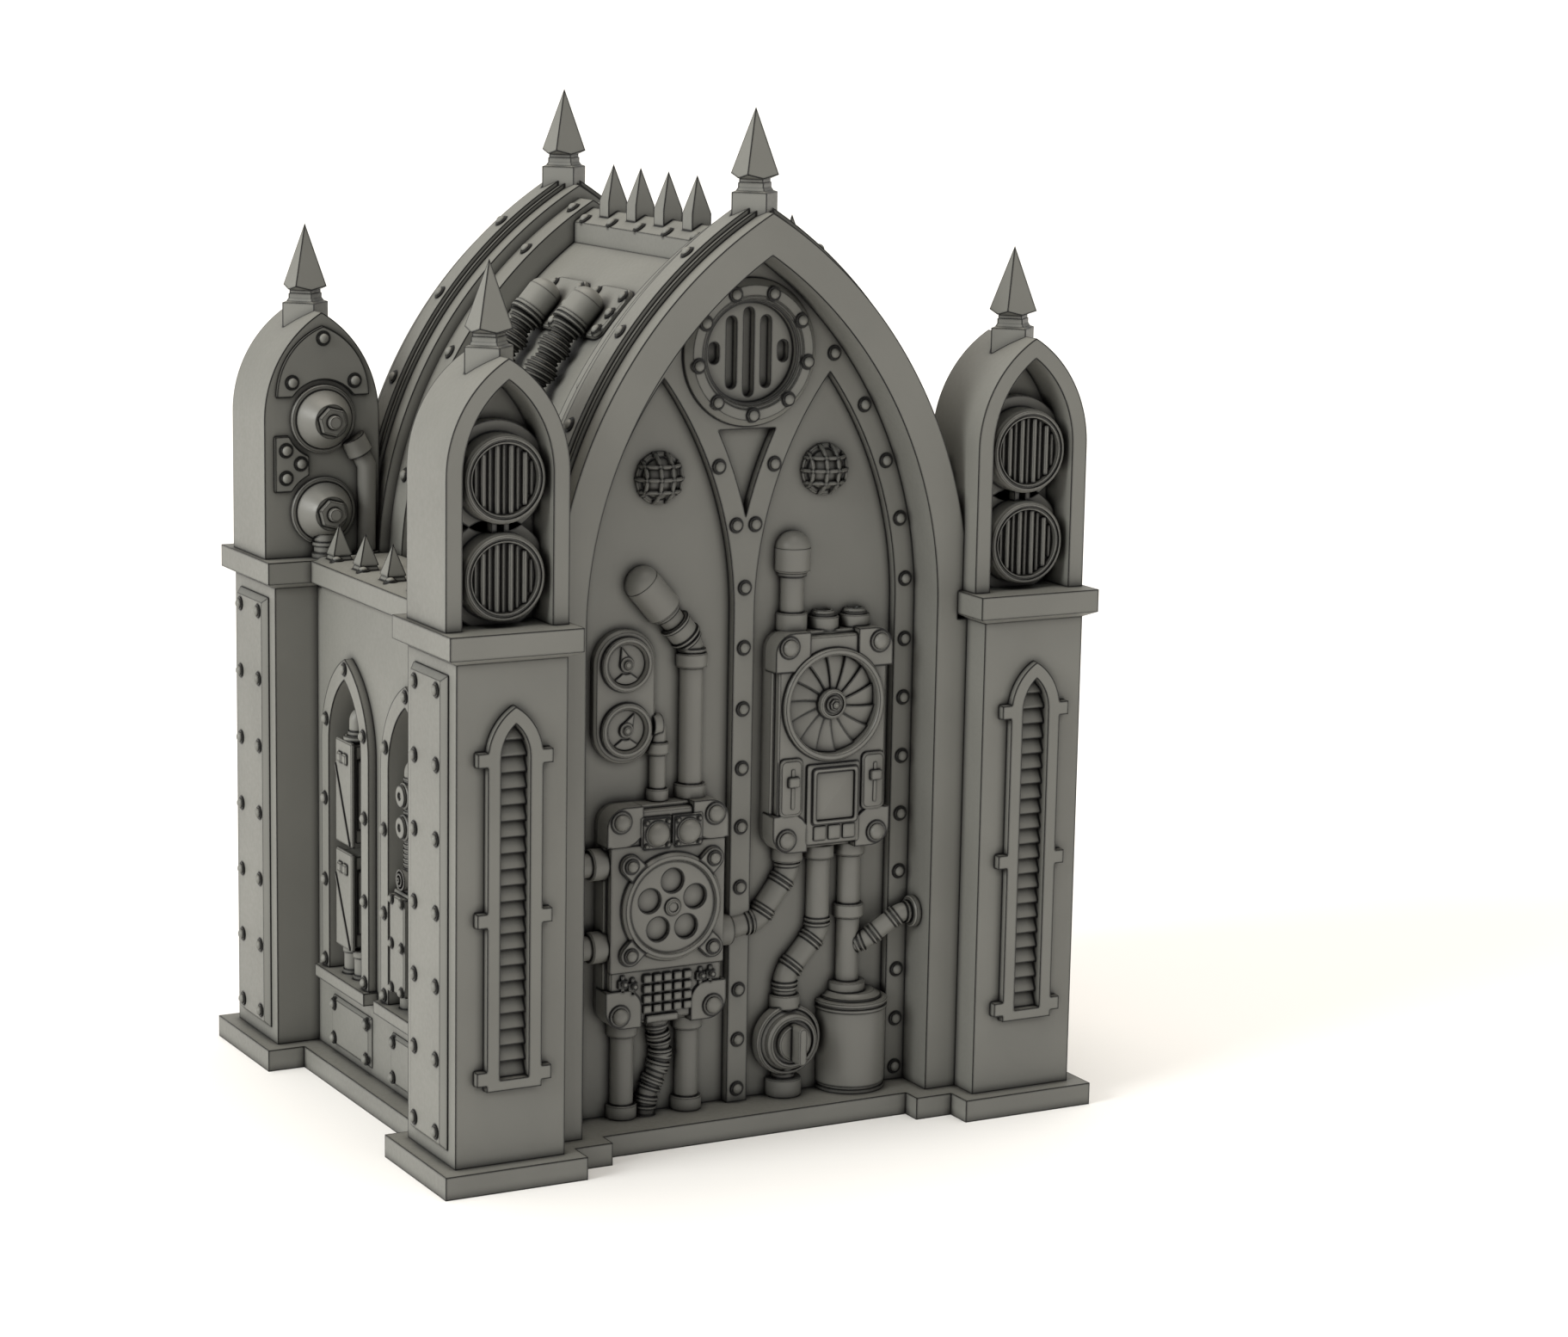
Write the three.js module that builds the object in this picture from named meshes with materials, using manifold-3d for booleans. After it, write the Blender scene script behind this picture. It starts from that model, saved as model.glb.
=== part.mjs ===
// Gothic machine shrine for a tabletop: a hall between two pointed gables, four corner piers with
// pinnacles, spear finials, and pipes and cabinets set into the front arch.
// Millimetres, +Z up, front towards -Y, origin at the centre of the underside.
import * as THREE from 'three';
import { mergeVertices } from 'three/addons/utils/BufferGeometryUtils.js';
import Module from 'manifold-3d';

const wasm = await Module();
wasm.setup();

// Clearances, and how far a piece is sunk into what carries it
const fit = 0.05;
const socketGap = 0.1;
const sink = 0.3;

// Ground plan and plinth
const pierX = 25.07; // pier axes, left and right of the middle
const pierY = 20.27; // pier axes, in front of and behind the middle
const shaftWidth = 10;
const corniceWidth = 12;
const pierBlockWidth = 13;
const plinthHeight = 2;
const stepReach = 1.92; // how far the steps stand out in front of the gables
const stepWidth = 3.57;
const sideLedge = 2.07; // plinth beyond the side walls

// Levels, from the plinth up
const shaftHeight = 42.6;
const splayHeight = 0.5;
const corniceHeight = 2;
const springDrop = 1.45; // from the cornice's top down to where the arches spring
const shaftTop = plinthHeight + shaftHeight;
const corniceFoot = shaftTop + splayHeight;
const corniceTop = corniceFoot + corniceHeight;
const archSpring = corniceTop - springDrop;

// Gable arches, all with the rib's centres
const ribWidth = 3.05;
const ribProud = 1.98; // rib's face in front of the pier axes
const ribDepth = 6.9;
const bandRise = 0.82;
const bandInset = 2.25; // raised band, in from both faces of the rib
const ribHalf = pierX - shaftWidth / 2 - fit;
const ribRadius = 2 * ribHalf;
const ribFront = pierY + ribProud;
const ribBack = ribFront - ribDepth;

// Tracery wall in each gable
const traceryRecess = 4.05;
const panelRecess = 0.9;
const mullionHalf = 1;
const edgeStrip = 1.97;
const lancetRadius = 34;
const spandrelBar = 2;
const spandrelHalf = 4;
const oculusDrop = 12.03; // from the rib's apex
const oculusOuter = 6.3;
const oculusHole = 4.6;
const oculusProud = 0.95;
const slotHalf = 0.5;
const slotPitch = 1.66;
const slotLength = 7.6;
const slotShortening = 0.72;
const slotDepth = 0.7;
const traceryFace = ribFront - traceryRecess;
const panelFace = traceryFace - panelRecess;
const lancetEdge = ribHalf - ribWidth - edgeStrip;
const lancetMiddle = (lancetEdge + mullionHalf) / 2;
const lancetHalf = lancetMiddle - mullionHalf;

// Roof between the gables
const roofFrameDrop = 1;
const roofFrameWidth = 2.95;
const ridgeDrop = 1.61;
const ridgeHalf = 1.9;
const roofPanelDrop = 3.13;
const roofShell = 2;
const crestPitch = 5.5;
const crestCount = 4;
const crestHalf = 1.32; // half of the diagonal, as for the spikes on the deck
const crestBlock = 0.9;
const crestPoint = 3.3;
const roofFoot = ribHalf - roofFrameDrop;

// Bellows units on the roof
const bellowsY = 4.4;
const bellowsTopAngle = 46.6; // plate's upper edge, in degrees round the roof
const bellowsTipAngle = 43.9;
const bellowsPlateAngle = 8.4;
const bellowsPlateHalf = 3.3;
const bellowsPlateRise = 0.5;
const bellowsCylinder = 1.57;
const bellowsSeat = 0.3; // how deep the cylinder sits in its plate
const bellowsHose = 1.3;
const bellowsDome = 0.8;
const bellowsDomeAngle = 1.6;
const bellowsSteps = 4;

// Side walls
const sideSetback = 4.07; // from the shafts' outer faces
const sideCorniceProud = 1;
const ledgeDepth = 4;
const ledgeBrace = 4;
const deckThickness = 0.3;
const deckBack = 0.45;
const deckBevel = 0.55;
const deckSink = 0.2;
const spikePitch = 6.2;
const spikeInset = 1;
const spikeFoot = 1.42;
const spikeHalf = 1.08;
const spikeEave = 0.15;
const spikeShoulder = 0.45;
const spikeHeight = 3.25;
const sideFace = pierX + shaftWidth / 2 - sideSetback;
const sideInner = ribHalf + fit;
const sideReach = pierY - shaftWidth / 2 - fit;
const corniceReach = pierY - corniceWidth / 2 - fit;
const deckTop = corniceTop + deckThickness;

// Side windows, their sills and the plates below
const sideWindowY = 6.9;
const sideWindowHalf = 5.5;
const sideWindowRadius = 9;
const sideWindowLegs = 20.95; // from the sill to the springing
const sideWindowBar = 1.7;
const sideWindowProud = 0.8;
const sideNicheDepth = 4;
const sillLift = 8.1; // sill's top over the plinth
const sillHeight = 1.15;
const sillProud = 1.4;
const sillHalf = 5.75;
const footPlateHalf = 4.5;
const footPlateLift = 0.75;
const footPlateHeight = 4.6;
const footPlateProud = 0.35;
const sillTop = plinthHeight + sillLift;

// Equipment in the side niches, from the niche's back and sill
const meterWidth = 3.7;
const meterShift = 0.3; // towards the rear
const meterProud = 4.8;
const meterLift = 2.7;
const meterHeight = 9;
const meterGap = 0.6;
const meterTallHeight = 9.5;
const meterPipeRadius = 0.7;
const meterPipeOut = 3.45;
const meterPipeLength = 2.2;
const meterFootRadius = 0.75;
const meterFootPitch = 2.4;
const coilWidth = 3.6;
const coilShift = 1.4; // towards the rear
const coilProud = 5;
const coilLift = 1.3;
const coilHeight = 9.4;
const nicheHoseRadius = 0.8;
const nicheHoseOut = 3.5;
const nicheHoseHeight = 11.2; // over the coil's box
const nicheKnobRadius = 1.15;
const nicheKnobTip = 0.95;
const nicheKnobProud = 4.7;
const nicheKnobLift = 16.5;
const nicheKnobPitch = 2.8;

// Piers
const plateHalf = 3.5;
const plateLift = 1.3;
const plateDrop = 1.1;
const plateProud = 0.6;
const louvreHalf = 2.48;
const louvreLift = 6.55;
const louvreDrop = 3.65;
const louvreBar = 1.16;
const louvreSill = 0.93;
const louvreProud = 0.73;
const louvreDepth = 0.7;
const louvrePitch = 1.36;
const lugLift = 1.15;
const lugReach = 0.9;
const lugHeight = 1.2;
const louvreFoot = plinthHeight + louvreLift;
const louvreApex = shaftTop - louvreDrop;

// Pinnacles
const pinnacleWidth = 11.06;
const pinnacleDepth = 8.03;
const pinnacleLegs = 12.56;
const nicheInset = 1.48;
const ventRadius = 3.7;
const ventRim = 0.75;
const ventDish = 0.7;
const ventLift = 0.4;
const ventPitch = 8.1;
const ventFrontInset = 0.5;
const ventBar = 0.45;
const ventBarPitch = 1.1;
const ventBarInset = 1.6;
const pinnacleSpring = corniceTop + pinnacleLegs;
const pinnacleHalf = pinnacleWidth / 2;
const pinnacleFace = pinnacleDepth / 2;

// Plates, insulators and conduit on the pinnacles' inner faces
const crownPlateProud = 0.35;
const crownPlateHalf = 4.4;
const crownPlateLift = 2.09; // over the pinnacle's springing
const crownPlateHeight = 6.25;
const crownSweep = 0.5; // clearance round the knobs
const sidePlateEdge = 4.6;
const sidePlateReach = 3.2;
const sidePlateLift = 6.1;
const sidePlateHeight = 5;
const knobLift = 4.2;
const knobPitch = 8.35;
const knobRadius = 3.1;
const knobRim = 0.4;
const knobCone = 2.64;
const knobNeck = 1.55;
const knobLength = 2.3;
const nutRadius = 1.35;
const nutHeight = 0.5;
const studRadius = 0.62;
const studHeight = 0.5;
const conduitOffset = 4.15;
const conduitRadius = 0.85;
const conduitOut = 0.3;
const conduitDrop = 4.35; // from the upper knob to the elbow
const conduitRun = 2.3;
const conduitSleeve = 1.15;
const conduitSleeveLength = 1.5;
const stubOut = 0.65;
const stubRadius = 1.05;
const stubDrop = 2;
const innerRoom = 8;
const knobHeights = [corniceTop + knobLift, corniceTop + knobLift + knobPitch];

// Finials, measured down from the tip
const finialStand = 7.7; // tip over the apex that it stands on
const finialHeight = 9.35;
const finialBlockTop = 7.1;
const finialBlockHalf = 2.2;
const finialBevel = 0.4;
const finialWaist = 1.5;
const finialHead = 5.6;
const finialHeadHalf = 1.5;
const finialChin = 5.96;
const finialChinHalf = 1.6;
const finialChinSlope = 3.9;
const finialChinTop = 4;

// Cabinets on the front wall
const cabinetHalf = 5.7;
const cabinetRise = 9.65; // half of its height
const cabinetDepth = 2.6;
const cabinetBack = 1.9;
const cabinetStep = 0.35;
const cabinetCorner = 1.6;
const powerCabinetLift = 18.3; // cabinets' middles over the plinth
const fanCabinetLift = 32.25;
const powerCabinetZ = plinthHeight + powerCabinetLift;
const fanCabinetZ = plinthHeight + fanCabinetLift;
const cabinetFace = panelFace + cabinetDepth;

// Power cabinet: button plates, holed disc, keys and side stubs
const buttonPitch = 2.7;
const buttonX = 0.45;
const buttonZ = 7.3;
const buttonPlateHalf = 1.25;
const buttonPlateRise = 1.35;
const buttonPlateProud = 0.45;
const buttonRadius = 1;
const buttonTip = 0.6;
const buttonReach = 1.1;
const speakerX = 0.2;
const speakerZ = 0.8;
const speakerOuter = 4.35;
const speakerInner = 3.9;
const speakerProud = 0.6;
const speakerDish = 0.25;
const speakerHoles = 5;
const speakerHoleRadius = 1;
const speakerHolePlace = 2.3;
const speakerHoleDepth = 0.4;
const keysHalf = 4.75;
const keysX = 0.15;
const keysZ = 6.3;
const keysRise = 1.9;
const keysProud = 0.2;
const stubHeights = [4.7, -2.6];
const stubReach = 3.3;
const stubSleeve = 1.2;
const stubAxis = 1.3; // in front of the wall panel

// Fan cabinet: fan, sliders, screen and the stubs on its top
const fanZ = 3.2;
const fanOuter = 4.75;
const fanHole = 4.4;
const fanProud = 0.3;
const fanDepth = 0.9;
const fanHub = 1.3;
const sliderX = 4.1;
const sliderZ = 3.9;
const sliderHalf = 0.95;
const sliderRise = 2.5;
const sliderCorner = 0.5;
const screenX = 0.1;
const screenZ = 5.6;
const screenHalf = 2.5;
const screenRise = 3.3;
const screenCorner = 0.2;
const screenProud = 0.4;
const topStubs = 2;
const topStubCollar = 1.1;
const topStubHeight = 1.6;

// Pipes on the front wall
const pipeSides = 8;
const pipePitch = 3.15;
const pipeOut = 0.5; // pipe axes in front of the wall panels
const pipeRadius = 1.05;
const collarRadius = 1.38;
const collarLength = 1.25;
const wideCollar = 1.65;
const capRadius = 1.6;
const capTip = 0.8;
const capDome = 1.45;
const hornElbow = 13.45; // over the power cabinet
const hornRunX = 5.78;
const hornRunZ = 6.6;
const hornCap = 4.8;
const hornCollar = 11.45;
const capPipeHeight = 8.7; // over the fan cabinet
const capPipeCap = 3.5;
const hoseRadius = 0.85;
const hoseOut = 0.1;
const crossDrop = 2.3;
const crossBendX = 4.2;
const crossBendZ = 0.6;
const crossFoot = 2.6;
const crossSleeve = 1.4;
const valveDrop = 8;
const valveBend = 3.6;
const pipeAxisY = panelFace + pipeOut;

// Gauge plate and its feed pipe, over the power cabinet
const gaugeX = 3.3;
const gaugeLift = 6.45;
const gaugePitch = 5.7;
const gaugePlateHalf = 2.95;
const gaugePlateProud = 0.9;
const gaugeRadius = 2.35;
const gaugeRim = 0.4;
const gaugeProud = 1.4;
const gaugeDish = 0.7;
const feedRadius = 0.72;
const feedSleeve = 0.98;
const feedSleeveLength = 1.05;
const feedSleeveLift = 4.05;
const feedElbow = 5.95;
const feedRise = 0.7;
const feedEnd = 2.6;

// Valve, tank and lamps
const valveLift = 5.2;
const valveRadius = 3.2;
const valveSteps = [[1, 1.1], [0.78, 1.9], [0.5, 2.3]]; // share of the radius, how far out
const valveBarHalf = 0.4;
const valveBarRise = 1.7;
const valveBarOut = 3.7;
const valveCollarLift = 2.8;
const tankOffset = 0.4; // tank's axis beyond its feed pipe
const tankRadius = 3.2;
const tankHeight = 8.9;
const tankLid = 0.6;
const tankLidRadius = 2.75;
const tankBand = 0.15;
const tankBandHeight = 0.9;
const tankCollarHeight = 0.9;
const tankFeedCollar = 5.7;
const branchLift = 12.9;
const branchRise = 3;
const branchOut = 1.8;
const branchBend = 1.45;
const branchRadius = 0.85;
const flangeRadius = 1.4;
const flangeLength = 0.6;
const lampLift = 12.15; // over the arches' springing
const lampRadius = 2.25;
const lampInset = 0.09;
const lampDepth = 1.85;
const lampBase = 0.4;

const grey = new THREE.MeshStandardMaterial({ color: 0x77756c, roughness: 0.5, metalness: 0.1 });
const machineGrey = new THREE.MeshStandardMaterial({ color: 0x6b6a64, roughness: 0.42, metalness: 0.2 });

const far = 4 * pierX; // beyond everything, for cutting boxes

// Solids and meshes
function solid(geometry) {
  const bare = new THREE.BufferGeometry();
  bare.setAttribute('position', geometry.getAttribute('position'));
  bare.setIndex(geometry.index);
  const merged = mergeVertices(bare, 1e-5);
  const order = merged.index.array;
  const triangles = [];
  for (let i = 0; i < order.length; i += 3) {
    const [a, b, c] = [order[i], order[i + 1], order[i + 2]];
    if (a !== b && b !== c && c !== a) triangles.push(a, b, c);
  }
  return new wasm.Manifold(new wasm.Mesh({
    numProp: 3,
    vertProperties: merged.getAttribute('position').array,
    triVerts: Uint32Array.from(triangles),
  }));
}

function named(name, manifold, material) {
  const surface = manifold.getMesh();
  const geometry = new THREE.BufferGeometry();
  geometry.setAttribute('position', new THREE.BufferAttribute(Float32Array.from(surface.vertProperties), 3));
  geometry.setIndex(new THREE.BufferAttribute(Uint32Array.from(surface.triVerts), 1));
  geometry.computeVertexNormals();
  const mesh = new THREE.Mesh(geometry, material);
  mesh.name = name;
  return mesh;
}

function joined(pieces) {
  return pieces.reduce((whole, piece) => whole.add(piece));
}

function box(x0, x1, y0, y1, z0, z1) {
  const geometry = new THREE.BoxGeometry(Math.abs(x1 - x0), Math.abs(y1 - y0), z1 - z0);
  geometry.translate((x0 + x1) / 2, (y0 + y1) / 2, (z0 + z1) / 2);
  return solid(geometry);
}

function extruded(shape, depth, curveSegments) {
  return new THREE.ExtrudeGeometry(shape, { depth, bevelEnabled: false, curveSegments });
}

// A shape drawn in X and Z, standing between two depths Y
function alongY(shape, from, to, curveSegments = 6) {
  const [low, high] = [Math.min(from, to), Math.max(from, to)];
  const geometry = extruded(shape, high - low, curveSegments);
  geometry.rotateX(Math.PI / 2);
  geometry.translate(0, high, 0);
  return solid(geometry);
}

// A shape drawn in Y and Z, standing between two places X
function alongX(shape, from, to, curveSegments = 4) {
  const [low, high] = [Math.min(from, to), Math.max(from, to)];
  const geometry = extruded(shape, high - low, curveSegments);
  const turn = new THREE.Matrix4().makeBasis(
    new THREE.Vector3(0, 1, 0),
    new THREE.Vector3(0, 0, 1),
    new THREE.Vector3(1, 0, 0),
  );
  geometry.applyMatrix4(turn);
  geometry.translate(low, 0, 0);
  return solid(geometry);
}

function polygon(points) {
  return new THREE.Shape(points.map(([a, b]) => new THREE.Vector2(a, b)));
}

function rectangle(middleA, middleB, halfA, halfB) {
  const [left, right] = [middleA - halfA, middleA + halfA];
  const [low, high] = [middleB - halfB, middleB + halfB];
  return polygon([[left, low], [right, low], [right, high], [left, high]]);
}

// Height of a pointed arch's tip over its springing
function archRise(half, radius) {
  return Math.sqrt(radius ** 2 - (radius - half) ** 2);
}

// A pointed arch over straight legs: half width, radius of its two arcs, springing and foot
function pointed(half, radius, spring, foot, middle = 0) {
  const apexAngle = Math.acos((radius - half) / radius);
  const shape = new THREE.Shape();
  shape.moveTo(middle - half, foot);
  shape.lineTo(middle + half, foot);
  shape.lineTo(middle + half, spring);
  shape.absarc(middle + half - radius, spring, radius, 0, apexAngle, false);
  shape.absarc(middle - half + radius, spring, radius, Math.PI - apexAngle, Math.PI, false);
  shape.closePath();
  return shape;
}

// The rib's outline moved in or out, keeping its centres, and the height of its tip
function ribLine(offset, foot = plinthHeight) {
  return pointed(ribHalf + offset, ribRadius + offset, archSpring, foot);
}

function ribApex(offset) {
  return archSpring + archRise(ribHalf + offset, ribRadius + offset);
}

function rounded(halfA, halfB, corner, middleA, middleB) {
  const shape = new THREE.Shape();
  const [left, right] = [middleA - halfA + corner, middleA + halfA - corner];
  const [low, high] = [middleB - halfB + corner, middleB + halfB - corner];
  shape.absarc(right, low, corner, -Math.PI / 2, 0, false);
  shape.absarc(right, high, corner, 0, Math.PI / 2, false);
  shape.absarc(left, high, corner, Math.PI / 2, Math.PI, false);
  shape.absarc(left, low, corner, Math.PI, 1.5 * Math.PI, false);
  shape.closePath();
  return shape;
}

function disc(radius, middleA, middleB) {
  const shape = new THREE.Shape();
  shape.absarc(middleA, middleB, radius, 0, 2 * Math.PI, false);
  return shape;
}

// A closed solid through rings of points, each ring anticlockwise about the way it goes
function lofted(rings) {
  const sides = rings[0].length;
  const last = (rings.length - 1) * sides;
  const indices = [];
  for (let start = 0; start < last; start += sides) {
    for (let k = 0; k < sides; k += 1) {
      const [a, b] = [start + k, start + (k + 1) % sides];
      indices.push(a, b, b + sides, a, b + sides, a + sides);
    }
  }
  for (let k = 1; k < sides - 1; k += 1) {
    indices.push(0, k + 1, k, last, last + k, last + k + 1);
  }
  const geometry = new THREE.BufferGeometry();
  geometry.setAttribute('position', new THREE.Float32BufferAttribute(rings.flat(2), 3));
  geometry.setIndex(indices);
  return solid(geometry);
}

// A straight rod between two points; a second radius makes it a cone
function rod(from, to, radius, sides = pipeSides, endRadius = radius) {
  const start = new THREE.Vector3(...from);
  const end = new THREE.Vector3(...to);
  const axis = end.clone().sub(start);
  const geometry = new THREE.CylinderGeometry(endRadius, radius, axis.length(), sides);
  const turn = new THREE.Quaternion().setFromUnitVectors(new THREE.Vector3(0, 1, 0), axis.normalize());
  geometry.applyQuaternion(turn);
  geometry.translate(...start.add(end).multiplyScalar(0.5).toArray());
  return solid(geometry);
}

// A pipe through a list of points, mitred at each bend
function pipe(points, radius, sides = pipeSides) {
  const stops = points.map((point) => new THREE.Vector3(...point));
  const runs = stops.slice(1).map((stop, i) => stop.clone().sub(stops[i]).normalize());
  const upright = Math.abs(runs[0].y) < 0.9 ? new THREE.Vector3(0, 1, 0) : new THREE.Vector3(1, 0, 0);
  const across = upright.cross(runs[0]).normalize();
  return lofted(stops.map((stop, i) => {
    const before = runs[Math.max(i - 1, 0)];
    const mitre = before.clone().add(runs[Math.min(i, runs.length - 1)]).normalize();
    across.sub(before.clone().multiplyScalar(across.dot(before))).normalize();
    const up = before.clone().cross(across);
    return Array.from({ length: sides }, (_, k) => {
      const angle = 2 * Math.PI * k / sides;
      const spoke = across.clone().multiplyScalar(radius * Math.cos(angle));
      spoke.add(up.clone().multiplyScalar(radius * Math.sin(angle)));
      spoke.sub(before.clone().multiplyScalar(spoke.dot(mitre) / before.dot(mitre)));
      return spoke.add(stop).toArray();
    });
  }));
}

// A plate with bevelled edges, standing proud of a wall along X
function bevelledPlate(face, side, middle, half, foot, top, proud) {
  const bevel = 0.8 * proud;
  const ring = (reach, inset) => {
    const [near, distant] = [middle - half + inset, middle + half - inset];
    const [low, high] = [foot + inset, top - inset];
    const points = [[near, low], [distant, low], [distant, high], [near, high]];
    if (side < 0) points.reverse();
    return points.map(([y, z]) => [side * reach, y, z]);
  };
  return lofted([ring(face - sink, 0), ring(face + proud - bevel, 0), ring(face + proud, bevel)]);
}

function corners() {
  return [[-1, -1], [1, -1], [-1, 1], [1, 1]];
}

// Plinth with a block under each pier and a step beside it
function plinth() {
  const half = pierBlockWidth / 2;
  const [slabX, slabY] = [sideFace + sideLedge, ribFront];
  const slab = box(-slabX, slabX, -slabY, slabY, 0, plinthHeight);
  const stepInner = pierX - half - stepWidth;
  const steps = [-1, 1].map((sx) => box(
    sx * stepInner, sx * pierX, -slabY - stepReach, slabY + stepReach, 0, plinthHeight,
  ));
  const blocks = corners().map(([sx, sy]) => box(
    sx * pierX - half, sx * pierX + half, sy * pierY - half, sy * pierY + half, 0, plinthHeight,
  ));
  return joined([slab, ...steps, ...blocks]);
}

// Pier: shaft, cornice, riveted plate outside, louvred lancet on the end face
function pier(sx, sy) {
  const x = sx * pierX;
  const y = sy * pierY;
  const shaft = shaftWidth / 2;
  const cornice = corniceWidth / 2;
  const square = (half, z) => [
    [x - half, y - half, z], [x + half, y - half, z], [x + half, y + half, z], [x - half, y + half, z],
  ];
  const body = joined([
    lofted([
      square(shaft, plinthHeight), square(shaft, shaftTop), square(cornice, corniceFoot),
      square(cornice, corniceTop),
    ]),
    bevelledPlate(
      pierX + shaft, sx, y, plateHalf, plinthHeight + plateLift, shaftTop - plateDrop, plateProud,
    ),
  ]);
  return lancetWindow(body, x, sy);
}

// The framed lancet on a pier's end face; the front ones are louvred
function lancetWindow(body, x, sy) {
  const face = pierY + shaftWidth / 2;
  const [outside, back] = [sy * (face + louvreProud), sy * (face - louvreDepth)];
  const radius = 2 * louvreHalf;
  const spring = louvreApex - archRise(louvreHalf, radius);
  const frame = pointed(louvreHalf, radius, spring, louvreFoot, x);
  const opening = (sunk) => pointed(
    louvreHalf - louvreBar + sunk, radius - louvreBar + sunk, spring, louvreFoot + louvreSill - sunk, x,
  );
  const lowLug = louvreFoot + lugLift;
  const lugs = [lowLug, (lowLug + spring) / 2, spring].map((z) => box(
    x - louvreHalf - lugReach, x + louvreHalf + lugReach, back, outside, z - lugHeight / 2, z + lugHeight / 2,
  ));
  const framed = body
    .add(alongY(frame, back, outside, 3))
    .add(joined(lugs))
    .subtract(alongY(opening(0), back, outside + sy, 2));
  if (sy > 0) return framed;
  const room = alongY(opening(sink), sy * (face - 2 * louvreDepth), outside, 2);
  return framed.add(louvres(x, sy, face).intersect(room));
}

// A bank of louvre slats, each sloping down and out
function louvres(x, sy, face) {
  const back = sy * (face - 1.5 * louvreDepth);
  const low = louvreFoot + louvreSill;
  const teeth = [[back, low]];
  for (let z = low; z < louvreApex - louvrePitch; z += louvrePitch) {
    teeth.push([sy * (face - fit), z], [sy * (face - louvreDepth + fit), z + louvrePitch]);
  }
  teeth.push([back, teeth.at(-1)[1]]);
  if (sy < 0) teeth.reverse();
  const half = louvreHalf - louvreBar / 2;
  return alongX(polygon(teeth), x - half, x + half);
}

// Pinnacle: arch block with a niche outside and riveted plates inside
function pinnacle(sx, sy) {
  const x = sx * pierX;
  const y = sy * pierY;
  const outline = (inset, foot) => pointed(
    pinnacleHalf - inset, pinnacleWidth - inset, pinnacleSpring, foot, x,
  );
  const block = alongY(outline(0, corniceTop), y - pinnacleFace, y + pinnacleFace, 4);
  const niche = outline(nicheInset, corniceTop - 1);
  const inner = sy * (pierY - pinnacleFace);
  const [raised, sunk] = [inner - sy * crownPlateProud, inner + sy * crownPlateProud];
  const crownFoot = pinnacleSpring + crownPlateLift;
  const crownRadius = (crownPlateHalf ** 2 + crownPlateHeight ** 2) / (2 * crownPlateHalf);
  const crown = pointed(crownPlateHalf, crownRadius, crownFoot, crownFoot - 0.01, x);
  const edge = x + sx * sidePlateEdge;
  const sideFoot = corniceTop + sidePlateLift;
  const side = box(edge, edge - sx * sidePlateReach, sunk, raised, sideFoot, sideFoot + sidePlateHeight);
  const sweeps = knobHeights.map((z) => alongY(
    disc(knobRadius + crownSweep, x, z), sunk + sy, raised - sy, 5,
  ));
  return block
    .subtract(alongY(niche, y, y + sy * (pinnacleFace + 1), 3))
    .add(alongY(crown, sunk, raised, 3).add(side).subtract(joined(sweeps)))
    .subtract(finialSocket(x, y, pinnacleTip()));
}

function pinnacleTip() {
  return pinnacleSpring + archRise(pinnacleHalf, pinnacleWidth) + finialStand;
}

function gableTip() {
  return ribApex(bandRise) + finialStand;
}

// The square hole, turned 45 degrees, that takes a finial's block
function finialSocket(x, y, tip) {
  const half = finialBlockHalf + socketGap;
  const geometry = new THREE.CylinderGeometry(half, half, finialHeight, 4);
  geometry.rotateX(Math.PI / 2);
  geometry.translate(x, y, tip - finialHeight / 2);
  return solid(geometry);
}

// Finial: pyramid head on a turned, waisted block
function finial(x, y, tip) {
  const reach = finialChin / finialHead * finialHeadHalf * Math.SQRT2;
  const head = new THREE.CylinderGeometry(0, reach, finialChin, 4);
  head.rotateY(Math.PI / 4);
  head.translate(0, -finialChin / 2, 0);
  const chinHeight = finialChin - finialChinTop;
  const spread = finialChinHalf + finialChinSlope * chinHeight;
  const chin = new THREE.CylinderGeometry(spread, finialChinHalf, chinHeight, 4);
  chin.translate(0, -finialChin + chinHeight / 2, 0);
  const upper = new THREE.BoxGeometry(2 * spread, finialChinTop, 2 * spread);
  upper.translate(0, -finialChinTop / 2, 0);
  const overlap = 0.01;
  const neck = new THREE.LatheGeometry([
    [0, finialHeight], [finialBlockHalf, finialHeight], [finialBlockHalf, finialBlockTop],
    [finialBlockHalf - finialBevel, finialBlockTop - finialBevel / 3],
    [finialWaist + finialBevel / 4, finialBlockTop - finialBevel],
    [finialWaist + finialBevel / 4, finialBlockTop - 2 * finialBevel],
    [finialWaist, finialBlockTop - 2.1 * finialBevel],
    [finialWaist, finialChin - overlap], [0, finialChin - overlap],
  ].map(([r, drop]) => new THREE.Vector2(r, -drop)), 4);
  const whole = solid(head).intersect(solid(chin).add(solid(upper))).add(solid(neck));
  const surface = named('finial', whole, grey).geometry;
  surface.rotateX(Math.PI / 2);
  surface.translate(x, y, tip);
  return solid(surface);
}

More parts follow.
